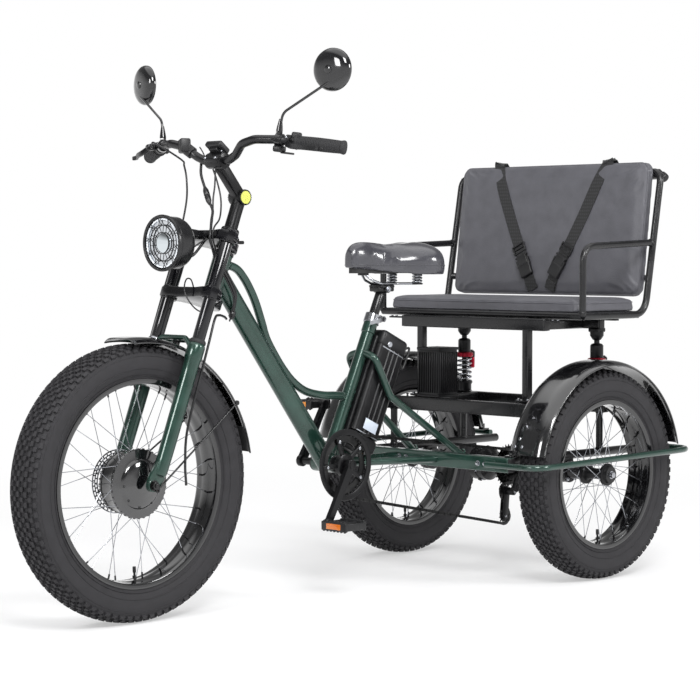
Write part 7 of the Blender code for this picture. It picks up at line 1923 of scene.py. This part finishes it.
def chain_tree():
    """Sets a link at every pitch of a closed line: two plates and a roller, every other one narrower."""
    tree, given = node_tree("chain", ["Line", "Count", "Pitch", "Width"])
    curve = add_node(tree, "GeometryNodeMeshToCurve", {"Mesh": given["Line"]})
    points = add_node(tree, "GeometryNodeResampleCurve",
        {"Curve": curve.outputs["Curve"], "Count": given["Count"]})
    long = maths(tree, "MULTIPLY", given["Pitch"], 1.55)
    tall = maths(tree, "MULTIPLY", given["Pitch"], 0.64)
    thin = maths(tree, "MULTIPLY", given["Width"], 0.17)
    size = add_node(tree, "ShaderNodeCombineXYZ", {"X": long, "Y": thin, "Z": tall})
    side_plate = add_node(tree, "GeometryNodeMeshCube", {"Size": size, "Vertices X": 4})
    place = add_node(tree, "GeometryNodeInputPosition")
    parts = add_node(tree, "ShaderNodeSeparateXYZ", {0: place})
    ends = maths(tree, "ABSOLUTE", parts.outputs["X"])
    outermost = add_node(tree, "FunctionNodeCompare", {0: ends, 1: 0.007}, operation="GREATER_THAN")
    slim = vectors(tree, "MULTIPLY", place, (1.0, 1.0, 0.5))
    rounded = add_node(tree, "GeometryNodeSetPosition",
        {"Geometry": side_plate.outputs["Mesh"], "Selection": outermost, "Position": slim})
    half = maths(tree, "MULTIPLY", given["Width"], 0.41)
    minus = maths(tree, "MULTIPLY", half, -1.0)
    shifts = [add_node(tree, "ShaderNodeCombineXYZ", {"Y": value}) for value in (half, minus)]
    plates = [add_node(tree, "GeometryNodeTransform", {"Geometry": rounded, "Translation": shift})
        for shift in shifts]
    radius = maths(tree, "MULTIPLY", given["Pitch"], 0.3)
    roller = add_node(tree, "GeometryNodeMeshCylinder",
        {"Vertices": 10, "Radius": radius, "Depth": given["Width"]})
    half_pitch = maths(tree, "MULTIPLY", given["Pitch"], 0.5)
    at_end = add_node(tree, "ShaderNodeCombineXYZ", {"X": half_pitch})
    across = add_node(tree, "GeometryNodeTransform",
        {"Geometry": roller.outputs["Mesh"], "Translation": at_end, "Rotation": (math.pi / 2, 0.0, 0.0)})
    link = add_node(tree, "GeometryNodeJoinGeometry")
    for source in (plates[0], plates[1], across):
        tree.links.new(source.outputs[0], link.inputs[0])
    tangent = add_node(tree, "GeometryNodeInputTangent")
    turn = add_node(tree, "FunctionNodeAlignRotationToVector", {"Vector": tangent}, axis="X", pivot_axis="Y")
    index = add_node(tree, "GeometryNodeInputIndex")
    odd = maths(tree, "MODULO", index, 2.0)
    narrow = add_node(tree, "ShaderNodeMapRange", {"Value": odd, "To Min": 1.0, "To Max": 0.7})
    scale = add_node(tree, "ShaderNodeCombineXYZ", {"X": 1.0, "Y": narrow.outputs["Result"], "Z": 1.0})
    copies = add_node(tree, "GeometryNodeInstanceOnPoints",
        {"Points": points.outputs["Curve"], "Instance": link, "Rotation": turn, "Scale": scale})
    closed_tree(tree, copies, oiled_steel)
    return tree


line = chain_line()
line_length = sum((two - one).length for one, two in zip(line, line[1:] + line[:1]))
link_count = round(line_length / CHAIN_PITCH / 2) * 2
piece("drive_chain", [grown("links", chain_tree(),
    {"Count": link_count, "Pitch": line_length / link_count, "Width": 0.0068}, line)], oiled_steel, "chassis",
    ["drive_chain"])
print("chain of", link_count, "links,", round(line_length, 3), "m")

# %% [markdown]
# Seven stamped sprockets share one carrier. The derailleur is a cage of two plates with a pair of toothed
# jockey wheels, hung from the axle on a cast body.

# %% Sprockets and derailleur
SPROCKETS = ((-0.018, 0.06, 30), (-0.013, 0.0555, 28), (-0.008, 0.0505, 26), (0.0, 0.0452, 23),
    (0.0062, 0.039, 20), (0.0112, 0.0335, 17), (0.0162, 0.0285, 14))
gears = []
for offset, radius, count in SPROCKETS:
    gears += toothed(at(0.0, CHAIN_LINE + offset, REAR_RADIUS), radius, count, 0.0019, 0.0205, 0.0062)
gears.append(tube(at(0.0, CHAIN_LINE - 0.022, REAR_RADIUS), at(0.0, CHAIN_LINE + 0.02, REAR_RADIUS), 0.0235,
    0.0205, 40))
piece("cassette", gears, oiled_steel, "chassis", ["cassette"])
high, low = [at(x, CHAIN_LINE, z) for x, z in (JOCKEY_HIGH, JOCKEY_LOW)]
drop = high - low
jockeys = []
for place in (high, low):
    jockeys += toothed(place, JOCKEY_RADIUS - 0.0028, 11, 0.0032, 0.0062, 0.0055)
    jockeys.append(pin(place, Y_AXIS * 0.0055, 0.0068, 24, soft=0.0008))
piece("derailleur_wheels", jockeys, black_abs, "chassis")
body_end = high + Y_AXIS * 0.034
hanger = at(0.0, CHAIN_LINE + 0.034, REAR_RADIUS - 0.0203)
derailleur = []
for offset in (-0.0052, 0.0052):
    outline = []
    for spot, start in ((high, -20), (low, 160)):
        for step in range(9):
            angle = math.radians(start + 25 * step) + math.atan2(drop.z, drop.x) - math.pi / 2
            outline.append(spot + Vector((math.cos(angle) * 0.0125, offset, math.sin(angle) * 0.0125)))
    derailleur.append(plate(outline, Y_AXIS * 0.0018, soft=0.0004))
derailleur.append(rod(high + Y_AXIS * 0.005, body_end, 0.0105, 28, soft=0.0015))
derailleur.append(pipe(flowing([hanger, hanger + Vector((0.018, 0.0, -0.012)), body_end]), 0.008, 16))
derailleur.append(block((hanger + body_end) / 2 + Vector((0.006, 0.0, -0.004)), (0.044, 0.02, 0.02),
    body_end - hanger, Y_AXIS, soft=0.005))
derailleur.append(pin(hanger, Y_AXIS * 0.01, 0.009, 28, soft=0.001))
derailleur.append(block(hanger + Z_AXIS * 0.01, (0.016, 0.006, 0.026), soft=0.002))
piece("rear_derailleur", derailleur, black_anodised, "chassis", ["rear_derailleur"])
piece("derailleur_bolts", bolt(high + Y_AXIS * 0.0062 + Y_AXIS * 0.029, Y_AXIS, 0.0052, 0.003)
    + bolt(low + Y_AXIS * 0.0062, Y_AXIS, 0.004, 0.0025)
    + bolt(hanger + Y_AXIS * 0.01, Y_AXIS, 0.0055, 0.003), plated_steel, "chassis")

# %% [markdown]
# ## Cushions
# Seat, backrest and saddle are foam under leatherette. Each starts as a closed form a little smaller than its
# place, is remeshed to even faces, and is then swollen by a cloth simulation with inner pressure, the resting
# side held still and every point's travel limited. The crown and the pulled-in corners come from the cover's
# own tension.

# %% A filled cover


def puffed(name, form, held, cap, voxel=0.006, pressure=4.0, frames=20):
    """A closed form swollen by cloth pressure; held(point) says which points rest on something."""
    mesh = bpy.data.meshes.new(name)
    bmesh.ops.recalc_face_normals(form, faces=form.faces)
    form.to_mesh(mesh)
    form.free()
    item = bpy.data.objects.new(name, mesh)
    bpy.context.scene.collection.objects.link(item)
    remesh = item.modifiers.new("even", "REMESH")
    remesh.mode = "VOXEL"
    remesh.voxel_size = voxel
    bpy.context.view_layer.update()
    even = bpy.data.meshes.new_from_object(item.evaluated_get(bpy.context.evaluated_depsgraph_get()))
    item.modifiers.clear()
    item.data = even
    start = [vert.co.copy() for vert in even.vertices]
    resting = item.vertex_groups.new(name="resting")
    resting.add([vert.index for vert in even.vertices if held(vert.co)], 1.0, "REPLACE")
    cloth = item.modifiers.new("cover", "CLOTH")
    cloth.settings.vertex_group_mass = "resting"
    cloth.settings.use_pressure = True
    cloth.settings.uniform_pressure_force = pressure
    cloth.settings.effector_weights.gravity = 0.0
    cloth.settings.quality = 4
    cloth.point_cache.frame_end = frames
    for frame_number in range(1, frames + 1):
        bpy.context.scene.frame_set(frame_number)
    swollen = item.evaluated_get(bpy.context.evaluated_depsgraph_get()).to_mesh()
    for vert, before, after in zip(even.vertices, start, swollen.vertices):
        travel = after.co - before
        vert.co = before + travel * min(1.0, cap / max(travel.length, 1e-9))
    item.modifiers.clear()
    bpy.context.scene.frame_set(1)
    finer = item.modifiers.new("finer", "SUBSURF")
    finer.levels = finer.render_levels = 1
    bpy.context.view_layer.update()
    final = bpy.data.meshes.new_from_object(item.evaluated_get(bpy.context.evaluated_depsgraph_get()))
    item.modifiers.clear()
    item.data = final
    item.vertex_groups.clear()
    for face in final.polygons:
        face.use_smooth = True
    return item


def slab(centre, size, along, upward, corner, edge):
    """A pad's block: large rounded corners seen from its face, small rounded edges."""
    form = block(centre, size, along, upward, soft=0.0)
    thin = min(range(3), key=lambda axis: size[axis])
    axis = (along, upward.cross(along), upward)[thin].normalized()
    corners = [item for item in form.edges
        if abs((item.verts[0].co - item.verts[1].co).normalized().dot(axis)) > 0.9]
    bmesh.ops.bevel(form, geom=corners, offset=corner, segments=6, profile=0.5, affect="EDGES")
    rims = [item for item in form.edges if item.calc_face_angle(0.0) > 1.0]
    bmesh.ops.bevel(form, geom=rims, offset=edge, segments=4, profile=0.5, affect="EDGES")
    return form


# %% [markdown]
# The seat cushion lies on a thin board over the bench's tubes. It starts as a flat slab with soft corners,
# and its lower face is held still while the rest swells.

# %% Seat cushion
SEAT_FLOOR = BENCH_Z + BENCH_RADIUS + 0.0004
seat_mid = at((SEAT_FRONT - SEAT_REAR) / 2, 0.0, SEAT_FLOOR + SEAT_THICKNESS / 2 - 0.0015)
seat_form = slab(seat_mid, (SEAT_FRONT + SEAT_REAR - 0.006, SEAT_HALF * 2 - 0.008, SEAT_THICKNESS - 0.003),
    X_AXIS, Z_AXIS, 0.016, 0.007)
seat = puffed("bench_cushion", seat_form, lambda point: point.z < SEAT_FLOOR + 0.004, 0.0055)
dressed(seat, leatherette, "chassis", ["bench_cushion"])
board = [block(at((SEAT_FRONT - SEAT_REAR) / 2, 0.0, SEAT_FLOOR - 0.0045),
    (SEAT_FRONT + SEAT_REAR - 0.004, 0.726, 0.008), soft=0.002)]
piece("seat_board", board, black_powder, "chassis")

# %% [markdown]
# The backrest is the same kind of pad, stood up and leaned back by seven degrees against the rails. Its rear
# face is held still.

# %% Backrest
back_mid = BACK_FOOT + BACK_UP * BACK_HEIGHT / 2 - BACK_AHEAD * (BACK_THICKNESS / 2 + 0.001)
BACK_WIDE, BACK_TALL = BACK_HALF * 2 + 0.016, BACK_HEIGHT + 0.004
back_form = slab(back_mid, (BACK_THICKNESS - 0.004, BACK_WIDE, BACK_TALL), BACK_AHEAD, BACK_UP, 0.034, 0.008)
back = puffed("backrest_cushion", back_form,
    lambda point: (point - BACK_FOOT).dot(BACK_AHEAD) < -BACK_THICKNESS + 0.006, 0.006)
dressed(back, leatherette, "chassis", ["backrest_cushion"])

# %% [markdown]
# The covers are sewn from a face and a boxing strip, and a thin piping runs in the seam between them. It is
# laid after the simulation, on the swollen surface, so that it follows every bulge.

# %% Piping


def surface_of(item):
    """A finished object's faces, to find places on them."""
    form = bmesh.new()
    form.from_mesh(item.data)
    return BVHTree.FromBMesh(form)


def rounded_loop(half_wide, half_high, corner, steps=8):
    """A rounded rectangle as (across, up) pairs."""
    loop = []
    for turn_from, a, b in ((0, 1, 1), (90, -1, 1), (180, -1, -1), (270, 1, -1)):
        for step in range(steps + 1):
            angle = math.radians(turn_from + 90 * step / steps)
            loop.append((a * (half_wide - corner) + math.cos(angle) * corner,
                b * (half_high - corner) + math.sin(angle) * corner))
    dense = []
    for (a, b), (c, d) in zip(loop, loop[1:] + loop[:1]):
        count = max(1, int(math.hypot(c - a, d - b) / 0.012))
        dense += [(a + (c - a) * step / count, b + (d - b) * step / count) for step in range(count)]
    return dense


back_surface, seat_surface = surface_of(back), surface_of(seat)
back_loop = []
for across, up in rounded_loop(BACK_WIDE / 2, BACK_TALL / 2, 0.034):
    spot = back_mid + Y_AXIS * across + BACK_UP * up + BACK_AHEAD * (BACK_THICKNESS / 2 - 0.008)
    back_loop.append(back_surface.find_nearest(spot)[0])
seat_loop = []
for across, up in rounded_loop((SEAT_FRONT + SEAT_REAR) / 2 - 0.003, SEAT_HALF - 0.004, 0.016):
    spot = seat_mid + X_AXIS * across + Y_AXIS * up + Z_AXIS * (SEAT_THICKNESS / 2 - 0.009)
    seat_loop.append(seat_surface.find_nearest(spot)[0])
piece("cushion_piping", [pipe(back_loop, 0.0021, 10, closed=True), pipe(seat_loop, 0.0019, 10, closed=True)],
    leatherette, "chassis")

# %% [markdown]
# ## Saddle
# A wide city saddle: a short nose that swells to a broad, raised rear. The shape is lofted through nine cross
# sections with a shallow channel down the middle, then puffed like the cushions over its moulded shell.

# %% Saddle
SADDLE_LENGTH, SADDLE_HALF, SADDLE_TOP = 0.284, 0.114, 0.068
SADDLE_SHARES = ((0.0, 0.16, 0.72), (0.05, 0.22, 0.96), (0.14, 0.26, 1.09), (0.28, 0.28, 1.1),
    (0.48, 0.48, 0.98), (0.66, 0.84, 0.98), (0.82, 1.02, 1.05), (0.94, 1.0, 1.06), (1.0, 0.9, 0.96))
NOSE_LIFT, SKIRT = 0.011, 1.3


def saddle_form(shrink, nose_lift=0.0, skirt=0.0):
    """The saddle's loft, ring by ring; its edge is lifted at the nose and lowered behind."""
    stations = flowing([Vector(share) for share in SADDLE_SHARES], 6)
    form = bmesh.new()
    rings = []
    for along, wide, high in stations:
        ring = []
        for step in range(48):
            angle = math.tau * step / 48
            lift, across = math.cos(angle), math.sin(angle)
            channel = 0.0045 * max(0.0, 1.0 - (across / 0.32) ** 2) * max(0.0, lift) * min(1.0, along * 2.0)
            floor = nose_lift * max(0.0, 1.0 - along / 0.38)
            drop = (0.014 - shrink) * min(1.0, -min(lift, 0.0) * 3.0)
            drop *= 1.0 + skirt * across ** 4 * min(1.0, max(0.0, along - 0.35) * 3.0)
            rise = floor + ((SADDLE_TOP - shrink) * high - floor) * max(lift, 0.0) ** 0.6 - drop - channel
            ring.append(form.verts.new(at(SADDLE_X + (SADDLE_LENGTH - 2 * shrink) * (0.5 - along),
                across * (SADDLE_HALF * wide - shrink), SADDLE_Z + rise)))
        rings.append(ring)
    for one, two in zip(rings, rings[1:]):
        for step in range(48):
            form.faces.new((one[step], one[(step + 1) % 48], two[(step + 1) % 48], two[step]))
    form.faces.new(list(reversed(rings[0])))
    form.faces.new(rings[-1])
    return form


saddle_floor = SADDLE_Z - 0.006
saddle = puffed("saddle", saddle_form(0.0035, NOSE_LIFT, SKIRT), lambda point: point.z < saddle_floor, 0.0045,
    voxel=0.0045)
# Smooth vinyl, glossier than the bench's leatherette.
saddle_vinyl = grained("smooth_saddle_vinyl", "#34343a", 0.26, 0.0, grain=1.1, relief=0.04, other="#3f3f45",
    uneven=0.06, Coat_Weight=0.8, Coat_Roughness=0.1)
dressed(saddle, saddle_vinyl, "chassis", ["saddle"])
saddle_surface = surface_of(saddle)
seam = []
for step in range(97):
    share = step / 96
    turn = math.tau * share
    along = 0.5 - 0.5 * math.cos(turn)
    station = flowing([Vector(item) for item in SADDLE_SHARES], 6)
    spot = min(station, key=lambda item: abs(item.x - along))
    side = 1.0 if turn < math.pi else -1.0
    aim = at(SADDLE_X + SADDLE_LENGTH * (0.5 - along), SADDLE_HALF * spot.y * side * 1.02, SADDLE_Z + 0.006)
    seam.append(saddle_surface.find_nearest(aim)[0])
piece("saddle_seam", [pipe(seam[:-1], 0.0014, 8, closed=True)], saddle_vinyl, "chassis")
shell = saddle_form(0.012)
for vert in shell.verts:
    vert.co.z = SADDLE_Z + (0.004 if vert.co.z > SADDLE_Z else -0.0155)
piece("saddle_shell", [shell], black_abs, "chassis")

# %% [markdown]
# ## Shoulder belts
# Two webbing belts hang over the backrest from its top rail, run to the middle of the seat and carry a snap
# buckle and a slide adjuster each. A belt is a flat ribbon laid on the swollen cushion point by point.

# %% Belts
BELT_WIDTH, BELT_THICKNESS = 0.038, 0.0022
BELT_SHARES = ((0.585, 0.985), (0.52, 0.84), (0.4, 0.6), (0.29, 0.4), (0.21, 0.26), (0.13, 0.12),
    (0.095, 0.035))


def on_back(out, rise, lift):
    """The place on the backrest's face at shares of its half width and height, lifted off a little."""
    start = BACK_FOOT + Y_AXIS * BACK_HALF * out + BACK_UP * BACK_HEIGHT * rise + BACK_AHEAD * 0.08
    found = back_surface.ray_cast(start, -BACK_AHEAD)[0]
    return (found if found else start - BACK_AHEAD * 0.08) + BACK_AHEAD * lift


for word, side in SIDES:
    face = [on_back(out * side, rise, BELT_THICKNESS * 0.6) for out, rise in reversed(BELT_SHARES)]
    top_out = Y_AXIS * BACK_HALF * 0.59 * side
    rail_z = BENCH_Z + (BACK_TOP_Z - BENCH_Z) * 0.97
    rail = Vector((behind_back(rail_z) - BENCH_RADIUS - 0.0006, BACK_HALF * 0.6 * side, rail_z))
    over = [BACK_FOOT + top_out + BACK_UP * (BACK_HEIGHT + 0.0045) - BACK_AHEAD * 0.006,
        BACK_FOOT + top_out + BACK_UP * (BACK_HEIGHT + 0.0055) - BACK_AHEAD * 0.026,
        rail + Vector((-0.004, 0.0, 0.0118)), rail + Vector((-0.0118, 0.0, 0.002)),
        rail + Vector((-0.01, 0.0, -0.012)), rail + Vector((-0.0105, 0.002 * side, -0.05))]
    path = flowing(face + over, 7)
    strap = [ribbon(path, BELT_WIDTH, BELT_THICKNESS, BACK_AHEAD, soft=0.0005)]
    for start, end in ((0.2, 0.34), (0.035, 0.1)):
        layer = []
        for step in range(9):
            share = start + (end - start) * step / 8
            out = 0.085 + (0.585 - 0.085) * (share - 0.035) / 0.95
            spot = on_back(out * side, share, BELT_THICKNESS * 1.9)
            layer.append(spot)
        strap.append(ribbon(layer, BELT_WIDTH * 0.96, BELT_THICKNESS, BACK_AHEAD, soft=0.0005))
    piece("belt_" + word, strap, webbing, "chassis", ["belt_" + word])
    low_spot, high_spot = on_back(0.13 * side, 0.12, 0.0), on_back(0.29 * side, 0.4, 0.0)
    along = (high_spot - low_spot).normalized()
    buckle_mid = on_back(0.175 * side, 0.205, 0.0075)
    buckle = [block(buckle_mid - along * 0.01, (0.04, 0.044, 0.011), along, BACK_AHEAD, soft=0.0035),
        block(buckle_mid + along * 0.022, (0.03, 0.036, 0.0085), along, BACK_AHEAD, soft=0.003),
        block(buckle_mid + along * 0.036, (0.006, 0.046, 0.0075), along, BACK_AHEAD, soft=0.002)]
    across = along.cross(BACK_AHEAD).normalized()
    for offset in (-1, 1):
        buckle.append(block(buckle_mid + across * offset * 0.0205 + along * 0.014, (0.026, 0.006, 0.009),
            along, BACK_AHEAD, soft=0.002))
    slider_mid = on_back(0.258 * side, 0.345, 0.0052)
    for offset in (-0.012, 0.0, 0.012):
        buckle.append(block(slider_mid + along * offset, (0.0045, 0.046, 0.0062), along, BACK_AHEAD,
            soft=0.0015))
    for offset in (-1, 1):
        buckle.append(block(slider_mid + across * offset * 0.0215, (0.028, 0.004, 0.0055), along, BACK_AHEAD,
            soft=0.0015))
    piece("belt_buckle_" + word, buckle, black_abs, "chassis")

# %% [markdown]
# ## Cables
# Brake and shift cables and the motor lead leave the bars together, pass in front of the upper crown and run
# down beside the head tube into the down tube. They cross the steering axis close to it, so they twist when
# the bars turn instead of being stretched. The front brake's cable stays on the fork.

# %% Front brake cable


def cable(points, radius=0.0022, sides=12):
    """A round cable on one smooth curve."""
    return pipe(flowing(points, 8), radius, sides)


def on_bars(places):
    """Places that turn with the bars, as (ahead, side, rise)."""
    return [steered(*place) for place in places]


outward, ahead, upward = bar_axes(RIGHT)
lever_barrel = bar_place(RIGHT, LEVER_SHARE) + ahead * 0.031 - outward * 0.036
caliper_route = ((0.0, 0.028, 0.655), (0.0, 0.028, 0.502), (0.0, 0.0245, 0.35), (0.0, 0.0245, 0.16),
    (-0.019, 0.0165, 0.12), (-0.026, 0.004, 0.095))
fork_run = [steered(FORK_AHEAD + along, -FORK_HALF_SPREAD - out, rise) for along, out, rise in caliper_route]
caliper_end = fork_run[-1]
bar_run = [lever_barrel, lever_barrel - outward * 0.03
    - ahead * 0.002] + on_bars(((0.1, -0.15, 0.858), (0.103, -0.126, 0.838), (0.096, -0.108, 0.8),
    (0.08, -0.104, 0.745)))
brake_line = bar_run + fork_run[:1]
for one, two in zip(fork_run, fork_run[1:]):
    brake_line += [one + (two - one) * share for share in (0.33, 0.67, 1.0)]
front_line = [cable(brake_line, 0.0025)]
front_line.append(rod(lever_barrel + outward * 0.006, lever_barrel - outward * 0.008, 0.0036, 16,
    soft=0.0006))
front_line.append(rod(caliper_end, caliper_end + (fork_run[-2] - caliper_end).normalized() * 0.016, 0.0034,
    16, soft=0.0006))
for rise in (0.33, 0.215):
    spot = steered(FORK_AHEAD, -FORK_HALF_SPREAD - 0.0245, rise)
    front_line.append(band(spot, STEER_UP * 0.0035, 0.0042, 0.0024, 20))
piece("brake_cable", front_line, cable_pvc, "steering", ["brake_cable"])

# %% [markdown]
# These leads are held by the bars above and by the frame below. They are laid in place and joined to neither
# body.

# %% Leads that cross the steering
frame_end = ((0.052, 0.046, 0.6), (0.006, 0.052, 0.566), (-0.036, 0.046, 0.536), (-0.058, 0.03, 0.506),
    (-0.07, 0.016, 0.484))
leads = (("motor_lead", 0.0036,
    ((0.104, -0.06, 0.842), (0.1, -0.052, 0.812), (0.089, -0.03, 0.773), (0.083, -0.015, 0.748),
    (0.074, 0.0, 0.725), (0.086, 0.022, 0.692), (0.098, 0.044, 0.664), (0.094, 0.05, 0.634)), 0.0),
    ("shift_cable", 0.0022, ((0.102, -0.01, 0.826), (0.088, 0.0, 0.801), (0.073, 0.012, 0.766),
    (0.068, 0.022, 0.735), (0.074, 0.036, 0.7), (0.096, 0.052, 0.668), (0.09, 0.053, 0.64)), 0.006),
    ("rear_brake_cable", 0.0022,
    ((0.108, 0.006, 0.826), (0.096, 0.008, 0.783), (0.091, 0.01, 0.751), (0.088, 0.018, 0.72),
    (0.094, 0.036, 0.684), (0.101, 0.047, 0.656), (0.086, 0.047, 0.628)), -0.006))
for name, radius, upper, shift in leads:
    lower = [(ahead_of, beside + shift * 0.4, rise + shift) for ahead_of, beside, rise in frame_end]
    line = flowing(on_bars(upper + tuple(lower)), 8)
    forms = [pipe(line, radius, 12)]
    if name == "motor_lead":
        middle = steered(0.086, -0.022, 0.76)
        along = (steered(0.083, -0.015, 0.748) - steered(0.089, -0.03, 0.773)).normalized()
        forms.append(turned(middle - along * 0.026, along,
            [(0.0, 0.004), (0.004, 0.0052), (0.01, 0.0074), (0.024, 0.008), (0.026, 0.0068), (0.028, 0.008),
            (0.042, 0.0072), (0.048, 0.005), (0.052, 0.0038)], 24))
        forms.append(turned(steered(-0.06, 0.028, 0.502),
            steered(-0.07, 0.016, 0.484) - steered(-0.058, 0.03, 0.506),
            [(0.0, 0.005), (0.003, 0.0085), (0.015, 0.009), (0.02, 0.006)], 24))
    lead = piece(name, forms, cable_pvc, None)
    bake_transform(lead)

lamp_wire = on_bars(((0.05, 0.052, 0.456), (0.068, 0.036, 0.462), (0.086, 0.022, 0.478),
    (0.0955, 0.01, 0.498), (0.0955, 0.002, 0.518), (0.088, -0.004, 0.534), (0.07, -0.01, 0.538),
    (0.052, -0.014, 0.524), (0.05, -0.014, 0.5165)))
back_wire = [LAMP_FOOT + Vector((0.006, 0.012, -0.01)), LAMP_FOOT + Vector((-0.012, 0.016, -0.012)),
    LAMP_FOOT + Vector((-0.03, 0.024, 0.0)), steered(0.0925, 0.036, 0.64)]
loops = [cable(lamp_wire, 0.0018), cable(back_wire, 0.0022),
    cable(on_bars(((0.089, -0.096, 0.89), (0.112, -0.074, 0.884), (0.118, -0.05, 0.868),
    (0.112, -0.034, 0.848))), 0.0016)]
piece("lamp_wires", loops, cable_pvc, "steering")
hub_lead = flowing(on_bars(((-0.016, 0.0905, 0.03), (0.01, 0.094, 0.08), (0.032, 0.093, 0.16),
    (0.038, 0.092, 0.3), (0.04, 0.09, 0.385), (0.036, 0.082, 0.448), (0.01, 0.062, 0.466),
    (-0.03, 0.036, 0.476), (-0.052, 0.02, 0.478))), 8)
hub_wire = piece("hub_lead", [pipe(hub_lead, 0.0032, 12)], cable_pvc, None)
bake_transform(hub_wire)

# %% [markdown]
# ## Close the lesson
# The visual model's box is printed. The visual model has to stay in the CAD model's box.

# %% Print the visual box
low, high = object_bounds()
print("visual box", [round(value, 4) for value in (*low, *high)])
